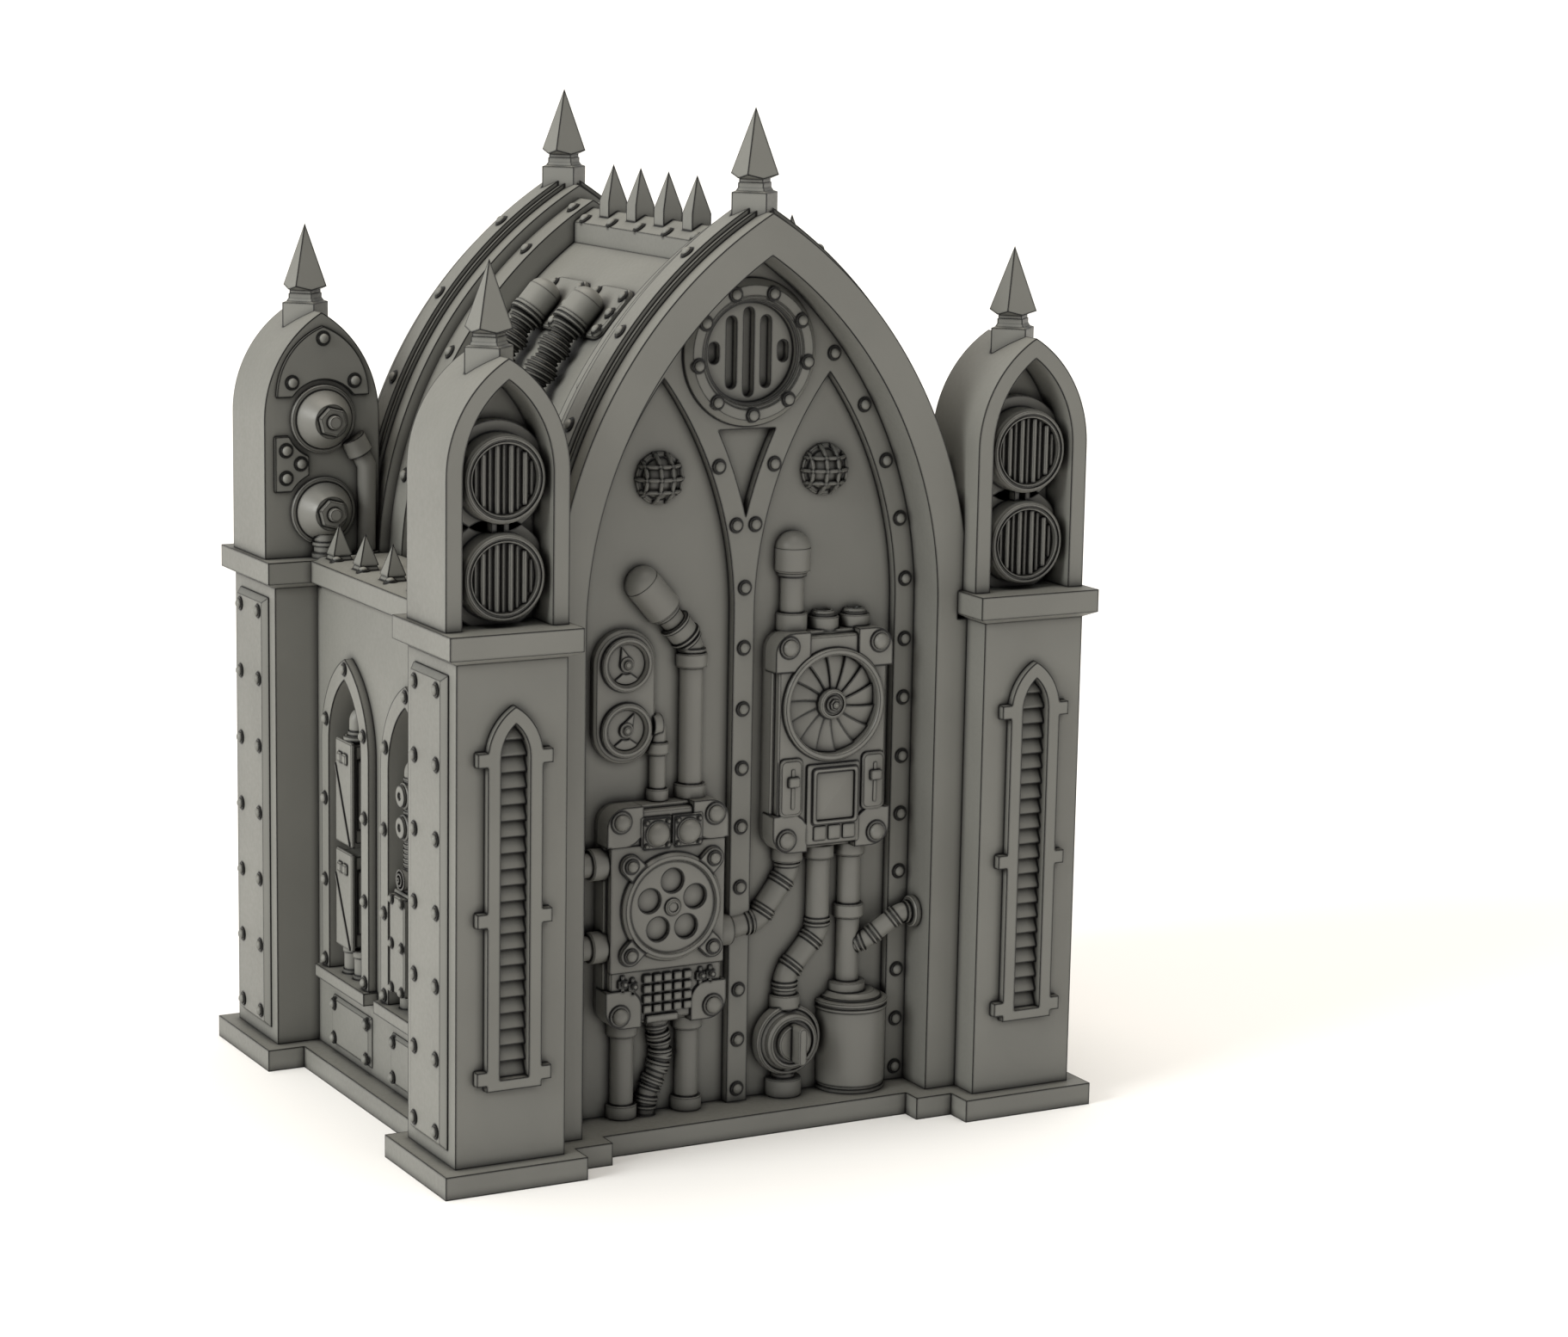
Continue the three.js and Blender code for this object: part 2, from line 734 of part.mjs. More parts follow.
// Gable: rib arch with its raised band, tracery wall and oculus; side -1 is the front
function gable(side) {
  const at = (shape, near, distant, segments) => alongY(shape, side * near, side * distant, segments);
  const lancets = [-1, 1].map((sx) => at(
    pointed(lancetHalf, lancetRadius, archSpring, plinthHeight - 1, sx * lancetMiddle),
    panelFace, traceryFace + 1, 3,
  ));
  const oculusZ = ribApex(0) - oculusDrop;
  const ringFace = traceryFace + oculusProud;
  const body = at(ribLine(0), ribBack, ribFront, 4)
    .add(at(ribLine(bandRise, archSpring - 1), ribBack + bandInset, ribFront - bandInset, 4))
    .subtract(at(ribLine(-ribWidth, plinthHeight - 1), traceryFace, ribFront + 1, 4))
    .subtract(joined(lancets))
    .subtract(spandrel(at, oculusZ - oculusOuter - sink))
    .add(at(disc(oculusOuter, 0, oculusZ), ribBack + sink, ringFace, 7))
    .subtract(at(disc(oculusHole, 0, oculusZ), traceryFace, ringFace + 1, 6));
  const pierced = side < 0 ? body.subtract(joined(slots(at, oculusZ))) : body;
  return pierced
    .subtract(pierRoom())
    .subtract(finialSocket(0, side * finialGableY(), gableTip()));
}

function finialGableY() {
  return (ribFront + ribBack) / 2;
}

// The V-shaped pocket between the lancets, under the oculus
function spandrel(at, top) {
  const centre = mullionHalf + lancetRadius;
  const half = (top - archSpring) / 2;
  const block = at(rectangle(0, archSpring + half, spandrelHalf, half), panelFace, traceryFace + 1);
  const sides = [-1, 1].map((sx) => at(
    disc(lancetRadius + spandrelBar, sx * centre, archSpring), panelFace - 1, traceryFace + 2, 24,
  ));
  return block.subtract(joined(sides));
}

function slots(at, middle) {
  return [-2, -1, 0, 1, 2].map((i) => {
    const half = slotLength / 2 - slotShortening * i * i;
    const shape = rounded(slotHalf, half, slotHalf * 0.98, i * slotPitch, middle);
    return at(shape, traceryFace - slotDepth, traceryFace + 1, 1);
  });
}

// The space that the four piers and pinnacles take out of the gables
function pierRoom() {
  return joined(corners().flatMap(([sx, sy]) => {
    const around = (halfX, halfY, z0, z1) => box(
      sx * pierX - halfX - fit, sx * pierX + halfX + fit,
      sy * pierY - halfY - fit, sy * pierY + halfY + fit, z0, z1,
    );
    const cornice = corniceWidth / 2;
    return [
      around(cornice, cornice, shaftTop, corniceTop),
      around(pinnacleHalf, pinnacleFace, corniceTop, pinnacleTip()),
    ];
  }));
}

// Roof: pointed shell with framed panels, ridge crest and bellows units
function roof() {
  const reach = ribBack;
  const panelReach = ribBack - roofFrameWidth;
  const skin = (offset, length) => alongY(ribLine(offset, archSpring - 1), -length, length, 4);
  const ridgeTop = ribApex(-ridgeDrop);
  const ridge = box(-ridgeHalf, ridgeHalf, -panelReach, panelReach, archSpring, ridgeTop);
  const crest = [];
  for (let i = 0; i < crestCount; i += 1) {
    const y = (i - (crestCount - 1) / 2) * crestPitch;
    crest.push(crestSpike(y, ridgeTop));
  }
  const overDeck = box(-ribHalf, ribHalf, -reach, reach, deckTop + fit, ridgeTop);
  const units = [-1, 1].flatMap((sx) => [-bellowsY, bellowsY].map((y) => bellows(sx, y)));
  return skin(-roofFrameDrop, reach)
    .subtract(skin(1, panelReach).subtract(skin(-roofPanelDrop, reach)))
    .add(skin(-ridgeDrop, reach).intersect(ridge))
    .add(joined(crest))
    .subtract(skin(-roofPanelDrop - roofShell, reach + 1))
    .add(joined(units).subtract(skin(-roofPanelDrop - roofShell / 2, panelReach)).intersect(overDeck))
    .subtract(box(-far, far, -far, far, 0, corniceTop));
}

// A square spike turned 45 degrees, from its profile of half diagonals and heights
function spike(profile, x, y, z) {
  const geometry = new THREE.LatheGeometry(profile.map(([r, height]) => new THREE.Vector2(r, height)), 4);
  geometry.rotateX(Math.PI / 2);
  geometry.translate(x, y, z);
  return solid(geometry);
}

function crestSpike(y, ridgeTop) {
  return spike([
    [0, -roofShell], [crestHalf, -roofShell], [crestHalf, crestBlock], [0, crestBlock + crestPoint],
  ], 0, y, ridgeTop);
}

// A bellows unit: riveted plate, domed cylinder and hose running down the slope to the deck
function bellows(sx, y) {
  const panel = ribRadius - roofPanelDrop;
  const place = (degrees, rise) => {
    const angle = THREE.MathUtils.degToRad(degrees);
    const x = (panel + rise) * Math.cos(angle) - ribHalf;
    return [sx * x, y, archSpring + (panel + rise) * Math.sin(angle)];
  };
  const corner = (degrees, rise) => {
    const [x, , z] = place(degrees, rise);
    return [x, z];
  };
  const plateFootAngle = bellowsTopAngle - bellowsPlateAngle;
  const outline = [
    corner(bellowsTopAngle, -roofShell / 2), corner(bellowsTopAngle, bellowsPlateRise),
    corner(plateFootAngle, bellowsPlateRise), corner(plateFootAngle, -roofShell / 2),
  ];
  const plate = alongY(polygon(outline), y - bellowsPlateHalf, y + bellowsPlateHalf);
  const axisRise = bellowsPlateRise + bellowsCylinder - bellowsSeat;
  const shoulder = place(bellowsTipAngle - bellowsDomeAngle, axisRise);
  const cylinder = rod(shoulder, place(plateFootAngle, axisRise), bellowsCylinder);
  const dome = rod(shoulder, place(bellowsTipAngle, axisRise), bellowsCylinder, pipeSides, bellowsDome);
  const footAngle = THREE.MathUtils.radToDeg(Math.asin((corniceTop - archSpring) / (panel + axisRise)));
  const route = [];
  for (let i = 0; i <= bellowsSteps; i += 1) {
    route.push(place(plateFootAngle + (footAngle - plateFootAngle) * i / bellowsSteps, axisRise));
  }
  return joined([plate, cylinder, dome, pipe(route, bellowsHose, 6)]);
}

// Side wall with its cornice, deck, spikes, lancet niches and plates
function sideWall(sx) {
  const x = (value) => sx * value;
  const ledgeIn = ribHalf - roofPanelDrop - roofShell;
  const block = (inside, outside, reach, z0, z1) => box(x(inside), x(outside), -reach, reach, z0, z1);
  const ledge = alongY(polygon([
    [x(sideInner + sink), corniceTop - ledgeDepth - ledgeBrace],
    [x(ledgeIn), corniceTop - ledgeDepth],
    [x(ledgeIn), corniceTop],
    [x(sideInner + sink), corniceTop],
  ]), -corniceReach, corniceReach);
  const deckEdge = sideFace + sideCorniceProud - deckBack;
  const deck = alongY(polygon([
    [x(roofFoot + fit), corniceTop - deckSink],
    [x(deckEdge), corniceTop - deckSink],
    [x(deckEdge), corniceTop],
    [x(deckEdge - deckBevel), deckTop],
    [x(roofFoot + fit), deckTop],
  ]), -corniceReach, corniceReach);
  const spikes = [-2, -1, 0, 1, 2].map((i) => deckSpike(x(sideFace - spikeInset), i * spikePitch));
  let body = joined([
    block(sideInner, sideFace, sideReach, plinthHeight, shaftTop),
    block(sideInner, sideFace, corniceReach, shaftTop, corniceTop),
    block(roofFoot, sideFace + sideCorniceProud, corniceReach, corniceFoot, corniceTop),
    ledge, deck, ...spikes,
  ]);
  for (const y of [-sideWindowY, sideWindowY]) body = sideWindow(body, sx, y);
  return body;
}

function deckSpike(x, y) {
  return spike([
    [0, -deckSink], [spikeFoot, -deckSink], [spikeHalf, spikeShoulder],
    [spikeHalf + spikeEave, spikeShoulder], [0, spikeHeight],
  ], x, y, deckTop);
}

// Framed lancet niche with its sill, the plate below and the equipment inside
function sideWindow(body, sx, y) {
  const x = (value) => sx * value;
  const spring = sillTop + sideWindowLegs;
  const frame = pointed(sideWindowHalf, sideWindowRadius, spring, sillTop, y);
  const inner = pointed(sideWindowHalf - sideWindowBar, sideWindowRadius - sideWindowBar, spring, sillTop, y);
  const back = sideFace - sideNicheDepth;
  const [sunk, proud] = [x(sideFace - sink), x(sideFace + sideWindowProud)];
  const plateFoot = plinthHeight + footPlateLift;
  const plateTop = plateFoot + footPlateHeight;
  const equipment = y > 0 ? meters(x, back, y) : knobsAndCoil(x, back, y);
  return body
    .add(alongX(frame, sunk, proud, 3))
    .subtract(alongX(inner, x(back), proud + sx, 3))
    .add(joined(equipment))
    .add(box(sunk, x(sideFace + sillProud), y - sillHalf, y + sillHalf, sillTop - sillHeight, sillTop))
    .add(bevelledPlate(sideFace, sx, y, footPlateHalf, plateFoot, plateTop, footPlateProud));
}

// Two stacked meter boxes on two feet, with a pipe from the top one into the niche's back
function meters(x, back, y) {
  const middle = y + meterShift;
  const [near, distant] = [middle - meterWidth / 2, middle + meterWidth / 2];
  const [sunk, proud] = [x(back - sink), x(back + meterProud)];
  const meter = (foot, height) => box(sunk, proud, near, distant, foot, foot + height);
  const lowFoot = sillTop + meterLift;
  const highFoot = lowFoot + meterHeight + meterGap;
  const top = highFoot + meterTallHeight;
  const axis = x(back + meterPipeOut);
  const bend = top + meterPipeLength;
  const feet = [-meterFootPitch / 2, meterFootPitch / 2].map((shift) => (
    rod([axis, middle + shift, sillTop - sink], [axis, middle + shift, lowFoot + sink], meterFootRadius, 6)
  ));
  return [
    meter(lowFoot, meterHeight),
    meter(highFoot, meterTallHeight),
    pipe([[axis, middle, top - sink], [axis, middle, bend], [sunk, middle, bend]], meterPipeRadius, 6),
    ...feet,
  ];
}

// A coil's box, and a hose from it into the niche's back with two round knobs
function knobsAndCoil(x, back, y) {
  const middle = y + coilShift;
  const foot = sillTop + coilLift;
  const top = foot + coilHeight;
  const bend = top + nicheHoseHeight;
  const axis = x(back + nicheHoseOut);
  const hose = [[axis, middle, top - sink], [axis, middle, bend], [x(back - sink), middle, bend]];
  const knobs = [0, 1].map((i) => {
    const z = sillTop + nicheKnobLift + i * nicheKnobPitch;
    const tip = [x(back + nicheKnobProud), middle, z];
    return rod([axis, middle, z], tip, nicheKnobRadius, pipeSides, nicheKnobTip);
  });
  return [
    box(x(back - sink), x(back + coilProud), middle - coilWidth / 2, middle + coilWidth / 2, foot, top),
    pipe(hose, nicheHoseRadius, 6),
    ...knobs,
  ];
}

// Twin vents in a pinnacle's niche
function vents(sx, sy) {
  const x = sx * pierX;
  const back = sy * (pierY + fit);
  const face = sy * (pierY + pinnacleFace - ventFrontInset);
  const low = corniceTop + ventLift + ventRadius;
  const drums = [low, low + ventPitch].map((z) => alongY(disc(ventRadius, x, z), back, face, 6)
    .subtract(alongY(disc(ventRadius - ventRim, x, z), face - sy * ventDish, face + sy, 6)));
  const bars = [-ventBarPitch / 2, ventBarPitch / 2].map((offset) => box(
    x + offset - ventBar / 2, x + offset + ventBar / 2,
    back, sy * (pierY + pinnacleFace - ventBarInset), low, low + ventPitch,
  ));
  const room = pinnacleHalf - nicheInset - fit;
  return joined([...drums, ...bars]).intersect(box(x - room, x + room, 0, sy * far, corniceTop, far));
}

// Insulator on a pinnacle's inner face: rim, cone, hex nut and stud
function insulator(sx, sy, z) {
  const at = (reach) => [sx * pierX, sy * (pierY - pinnacleFace - reach), z];
  const nutTop = knobLength + nutHeight;
  return joined([
    rod(at(0), at(knobRim), knobRadius, 12),
    rod(at(knobRim / 2), at(knobLength), knobCone, 12, knobNeck),
    rod(at(knobRim), at(nutTop), nutRadius, 6),
    rod(at(knobLength), at(nutTop + studHeight), studRadius, 6),
  ]);
}

// Conduit from the upper insulator down to the cornice
function conduit(sx, sy) {
  const y = sy * (pierY - pinnacleFace - conduitOut);
  const x = sx * (pierX - conduitOffset);
  const elbow = knobHeights[1] - conduitDrop;
  const slope = [sx * conduitRun / conduitDrop, 0, 1];
  const up = (share) => [x + slope[0] * share * conduitDrop, y, elbow + share * conduitDrop];
  const sleeve = rod(up(0.6 - conduitSleeveLength / conduitDrop), up(0.6), conduitSleeve);
  return pipe([up(0.6), up(0), [x, y, corniceTop]], conduitRadius).add(sleeve);
}

// One pinnacle's conduit and upper insulator are one casting, and so are the lower one and its stub
function insulatorSet(sx, sy, upper) {
  const [low, high] = knobHeights;
  const inner = sy * (pierY - pinnacleFace - fit);
  const room = box(-far, far, inner, inner - sy * innerRoom, corniceTop, far);
  if (upper) {
    const clear = alongY(disc(knobRadius + fit, sx * pierX, low), inner + sy, inner - sy * innerRoom, 7);
    return insulator(sx, sy, high).add(conduit(sx, sy).subtract(clear)).intersect(room);
  }
  const y = inner - sy * stubOut;
  const stub = rod([sx * pierX, y, low - stubDrop], [sx * pierX, y, corniceTop], stubRadius);
  return insulator(sx, sy, low).add(stub).intersect(room);
}

// Everything on the front wall is cut off at the wall's two planes and at the plinth
function onWall(manifold) {
  const behindPanel = box(-far, far, -panelFace, 0, 0, far);
  const strips = [-1, 1].map((sx) => box(sx * lancetEdge, sx * far, -traceryFace, 0, 0, archSpring));
  const mullion = box(-mullionHalf, mullionHalf, -traceryFace, 0, 0, archSpring);
  const ground = box(-far, far, -far, 0, -far, plinthHeight);
  return manifold.subtract(joined([behindPanel, ...strips, mullion, ground]));
}

function collar(x, z0, z1, radius = collarRadius) {
  return rod([x, -pipeAxisY, z0], [x, -pipeAxisY, z1], radius);
}

// A domed cap from a point to its tip
function domedCap(from, tip) {
  const [start, end] = [new THREE.Vector3(...from), new THREE.Vector3(...tip)];
  const shoulder = end.clone().lerp(start, capDome / start.distanceTo(end)).toArray();
  return rod(from, shoulder, capRadius).add(rod(shoulder, tip, capRadius, pipeSides, capTip));
}

function cabinet(x, z) {
  const outline = (inset) => rounded(
    cabinetHalf - inset, cabinetRise - inset, cabinetCorner - inset, x, z,
  );
  return alongY(outline(0), -panelFace, -panelFace - cabinetBack, 1)
    .add(alongY(outline(cabinetStep), -panelFace, -cabinetFace, 1));
}

// A shape standing proud of a cabinet's face
function onCabinet(shape, proud, segments = 1) {
  return alongY(shape, -cabinetFace + sink, -cabinetFace - proud, segments);
}

// Left cabinet: lamp buttons above, holed disc, key panel below, two stubs at its side
function powerCabinet() {
  const [x, z] = [-lancetMiddle, powerCabinetZ];
  const buttons = [-buttonPitch / 2, buttonPitch / 2].map((offset) => {
    const [across, height] = [x + buttonX + offset, z + buttonZ];
    const outline = rectangle(across, height, buttonPlateHalf, buttonPlateRise);
    const plate = onCabinet(outline, buttonPlateProud);
    const tip = [across, -cabinetFace - buttonReach, height];
    return plate.add(rod([across, -cabinetFace, height], tip, buttonRadius, pipeSides, buttonTip));
  });
  const [discX, discZ] = [x + speakerX, z + speakerZ];
  const dish = alongY(disc(speakerInner, discX, discZ), -cabinetFace - speakerDish, -far, 7);
  const speaker = onCabinet(disc(speakerOuter, discX, discZ), speakerProud, 7).subtract(dish);
  const holes = Array.from({ length: speakerHoles }, (_, i) => {
    const angle = Math.PI / 2 + i * 2 * Math.PI / speakerHoles;
    const across = discX + speakerHolePlace * Math.cos(angle);
    const up = discZ + speakerHolePlace * Math.sin(angle);
    return alongY(disc(speakerHoleRadius, across, up), -cabinetFace + speakerHoleDepth, -far, 3);
  });
  const keys = onCabinet(rectangle(x + keysX, z - keysZ, keysHalf, keysRise), keysProud);
  const side = x - cabinetHalf;
  const y = -panelFace - stubAxis;
  const stubs = stubHeights.map((offset) => rod(
    [side + sink, y, z + offset], [side - stubReach + stubAxis - pipeRadius, y, z + offset], pipeRadius,
  ).add(rod([side + sink, y, z + offset], [side - stubSleeve, y, z + offset], collarRadius)));
  return onWall(joined([cabinet(x, z), ...buttons, speaker, keys, ...stubs]).subtract(joined(holes)));
}

// Right cabinet: fan, sliders, screen, and pipe stubs on its top
function fanCabinet() {
  const [x, z] = [lancetMiddle, fanCabinetZ];
  const middle = z + fanZ;
  const ring = onCabinet(disc(fanOuter, x, middle), fanProud, 7);
  const hollow = alongY(disc(fanHole, x, middle), -cabinetFace + fanDepth, -far, 7);
  const hub = rod([x, -panelFace - sink, middle], [x, -cabinetFace - fanProud, middle], fanHub);
  const sliders = [-sliderX, sliderX].map((offset) => onCabinet(
    rounded(sliderHalf, sliderRise, sliderCorner, x + offset, z - sliderZ), fanProud,
  ));
  const screen = onCabinet(
    rounded(screenHalf, screenRise, screenCorner, x + screenX, z - screenZ), screenProud,
  );
  const top = z + cabinetRise;
  const stubs = Array.from({ length: topStubs }, (_, i) => {
    const across = x + i * pipePitch;
    return collar(across, top - sink, top + topStubCollar)
      .add(collar(across, top, top + topStubHeight, pipeRadius));
  });
  return onWall(joined([cabinet(x, z), ring, ...sliders, screen, ...stubs]).subtract(hollow).add(hub));
}

// Gauge plate with two round gauges and the thin pipe that feeds it
function gaugePlate() {
  const x = -lancetMiddle - gaugeX;
  const top = powerCabinetZ + cabinetRise;
  const low = top + gaugeLift;
  const half = gaugePlateHalf + gaugePitch / 2;
  const outline = rounded(gaugePlateHalf, half, gaugePlateHalf * 0.98, x, low + gaugePitch / 2);
  const plate = alongY(outline, -panelFace, -panelFace - gaugePlateProud, 2);
  const rings = [low, low + gaugePitch].map((z) => alongY(
    disc(gaugeRadius, x, z), -panelFace, -panelFace - gaugeProud, 5,
  ).subtract(alongY(disc(gaugeRadius - gaugeRim, x, z), -panelFace - gaugeDish, -far, 5)));
  const feed = pipe([
    [-lancetMiddle, -pipeAxisY, top], [-lancetMiddle, -pipeAxisY, top + feedElbow],
    [x + feedEnd, -pipeAxisY, top + feedElbow + feedRise],
  ], feedRadius);
  const sleeves = [0, feedSleeveLift].map((lift) => collar(
    -lancetMiddle, top + lift, top + lift + feedSleeveLength, feedSleeve,
  ));
  return onWall(joined([plate, ...rings, feed, ...sleeves]));
}

// Horn pipe on the left cabinet, bent up and left to a domed cap
function hornPipe() {
  const x = -lancetMiddle + pipePitch;
  const top = powerCabinetZ + cabinetRise;
  const elbow = [x, -pipeAxisY, top + hornElbow];
  const tip = [x - hornRunX, -pipeAxisY, top + hornElbow + hornRunZ];
  const share = hornCap / Math.hypot(hornRunX, hornRunZ);
  const capFoot = [tip[0] + hornRunX * share, -pipeAxisY, tip[2] - hornRunZ * share];
  return onWall(joined([
    pipe([[x, -pipeAxisY, top], elbow, capFoot], pipeRadius),
    domedCap(capFoot, tip),
    collar(x, top, top + collarLength),
    collar(x, top + hornCollar, top + hornCollar + collarLength),
  ]));
}

// Upright pipe with a domed cap on the right cabinet
function capPipe() {
  const x = lancetMiddle - pipePitch;
  const top = fanCabinetZ + cabinetRise;
  const tip = top + capPipeHeight;
  return onWall(joined([
    collar(x, top, tip - capPipeCap + fit, pipeRadius),
    collar(x, top, top + collarLength),
    domedCap([x, -pipeAxisY, tip - capPipeCap], [x, -pipeAxisY, tip]),
  ]));
}

// Straight drain pipe from the left cabinet to the plinth
function drainPipe(offset) {
  const x = -lancetMiddle + offset;
  const top = powerCabinetZ - cabinetRise;
  return onWall(joined([
    collar(x, plinthHeight, top, pipeRadius),
    collar(x, top - collarLength, top),
    collar(x, plinthHeight, plinthHeight + collarLength),
  ]));
}

// Ribbed hose swaying down between the drain pipes
function ribbedHose() {
  const top = powerCabinetZ - cabinetRise;
  const drop = top - plinthHeight;
  const sway = [[0.1, 0], [0.1, 0.07], [0.6, 0.35], [0.3, 0.53], [-0.9, 0.82], [-1, 1.1]];
  const route = sway.map(([across, share]) => [
    -lancetMiddle + across, -pipeAxisY - hoseOut, top - share * drop,
  ]);
  const room = pipePitch - collarRadius - fit;
  return onWall(pipe(route, hoseRadius).intersect(box(
    -lancetMiddle - room, -lancetMiddle + room, -far, 0, 0, top,
  )));
}

// Pipe crossing from the right cabinet to the left one, over the mullion
function crossPipe() {
  const top = fanCabinetZ - cabinetRise;
  const x = lancetMiddle - pipePitch;
  const side = -lancetMiddle + cabinetHalf;
  const end = powerCabinetZ - crossFoot;
  const y = -pipeAxisY;
  const route = [
    [x, y, top], [x, y, top - crossDrop], [side + crossBendX, y, end + crossBendZ], [side, y, end],
  ];
  const sleeve = rod([side, y, end], [side + crossSleeve, y, end], collarRadius);
  return onWall(joined([pipe(route, pipeRadius), collar(x, top - collarLength, top), sleeve])
    .intersect(box(side, far, -far, 0, 0, top)));
}

// Pipe from the right cabinet into the valve, and from the valve to the plinth
function valvePipe() {
  const top = fanCabinetZ - cabinetRise;
  const x = lancetMiddle - pipePitch;
  const y = -pipeAxisY;
  const z = plinthHeight + valveLift;
  const bend = top - valveDrop;
  const route = [
    [lancetMiddle, y, top], [lancetMiddle, y, bend], [x, y, bend - valveBend], [x, y, plinthHeight],
  ];
  const wheel = valveSteps.map(([share, out]) => rod([x, y, z], [x, y - out, z], valveRadius * share, 12));
  const bar = box(x - valveBarHalf, x + valveBarHalf, y, y - valveBarOut, z - valveBarRise, z + valveBarRise);
  return onWall(joined([
    pipe(route, pipeRadius), ...wheel, bar,
    collar(lancetMiddle, top - collarLength, top),
    collar(x, z + valveCollarLift, z + valveCollarLift + collarLength),
    collar(x, plinthHeight, plinthHeight + collarLength, wideCollar),
  ]));
}

// Tank with its feed pipe and the branch into the arch's side
function tank() {
  const y = -pipeAxisY;
  const feedX = lancetMiddle + pipePitch;
  const x = feedX + tankOffset;
  const feedTop = fanCabinetZ - cabinetRise;
  const top = plinthHeight + tankHeight;
  const shoulder = top - tankLid;
  const drum = (radius, z0, z1) => rod([x, y, z0], [x, y, z1], radius, 14);
  const revealX = ribHalf - ribWidth - fit;
  const start = plinthHeight + branchLift;
  const out = y - branchOut;
  const branch = pipe([
    [feedX, y, start],
    [feedX + branchBend, y - branchOut / 2, start + branchBend / 2],
    [revealX - branchBend, out, start + branchRise],
    [revealX, out, start + branchRise],
  ], branchRadius);
  const flange = rod(
    [revealX - flangeLength, out, start + branchRise], [revealX, out, start + branchRise], flangeRadius,
  );
  return onWall(joined([
    drum(tankRadius, plinthHeight, shoulder),
    drum(tankRadius + tankBand, shoulder - tankBandHeight, shoulder),
    drum(tankLidRadius, shoulder - sink, top),
    collar(feedX, top - sink, top + tankCollarHeight, wideCollar),
    collar(feedX, top, feedTop, pipeRadius),
    collar(feedX, feedTop - collarLength, feedTop),
    collar(feedX, feedTop - tankFeedCollar - collarLength, feedTop - tankFeedCollar),
    branch, flange,
  ]).intersect(box(-far, revealX, -far, 0, 0, far)));
}

// Round lamp on its base
function lamp(x) {
  const z = archSpring + lampLift;
  const geometry = new THREE.SphereGeometry(lampRadius - lampInset, 10, 6);
  geometry.scale(1, lampDepth / lampRadius, 1);
  geometry.translate(x, -panelFace, z);
  return onWall(solid(geometry).add(rod([x, -panelFace, z], [x, -panelFace - lampBase, z], lampRadius, 14)));
}

// The whole shrine
const part = new THREE.Group();
const add = (name, manifold, material = grey) => part.add(named(name, manifold, material));
const ends = { '-1': 'front', 1: 'rear' };
const hands = { '-1': 'left', 1: 'right' };

add('plinth', plinth());
for (const [sx, sy] of corners()) {
  const place = `${ends[sy]}_${hands[sx]}`;
  add(`pier_${place}`, pier(sx, sy));
  add(`pinnacle_${place}`, pinnacle(sx, sy));
  add(`finial_${place}`, finial(sx * pierX, sy * pierY, pinnacleTip()));
}
for (const sx of [-1, 1]) {
  add(`vents_${hands[sx]}`, vents(sx, -1), machineGrey);
  add(`upper_insulator_${hands[sx]}`, insulatorSet(sx, 1, true), machineGrey);
  add(`lower_insulator_${hands[sx]}`, insulatorSet(sx, 1, false), machineGrey);
}
for (const side of [-1, 1]) {
  add(`gable_${ends[side]}`, gable(side));
  add(`finial_gable_${ends[side]}`, finial(0, side * finialGableY(), gableTip()));
  add(`side_wall_${hands[side]}`, sideWall(side));
}
add('roof', roof());
add('power_cabinet', powerCabinet(), machineGrey);
add('fan_cabinet', fanCabinet(), machineGrey);
add('gauge_plate', gaugePlate(), machineGrey);
add('horn_pipe', hornPipe(), machineGrey);
add('cap_pipe', capPipe(), machineGrey);
add('drain_pipe_left', drainPipe(-pipePitch), machineGrey);
add('drain_pipe_right', drainPipe(pipePitch), machineGrey);
add('ribbed_hose', ribbedHose(), machineGrey);
add('cross_pipe', crossPipe(), machineGrey);
add('valve_pipe', valvePipe(), machineGrey);
add('tank', tank(), machineGrey);
add('lamp_left', lamp(-lancetMiddle), machineGrey);
add('lamp_right', lamp(lancetMiddle), machineGrey);

export default part;
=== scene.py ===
# Looks of the gothic machine shrine: finer meshes for its walls, roof and machinery, and their finish.
# Sizes are in millimetres, in the CAD model's frame: +Z up, front towards -Y.
import math

import bmesh
import bpy
from mathutils import Matrix, Vector


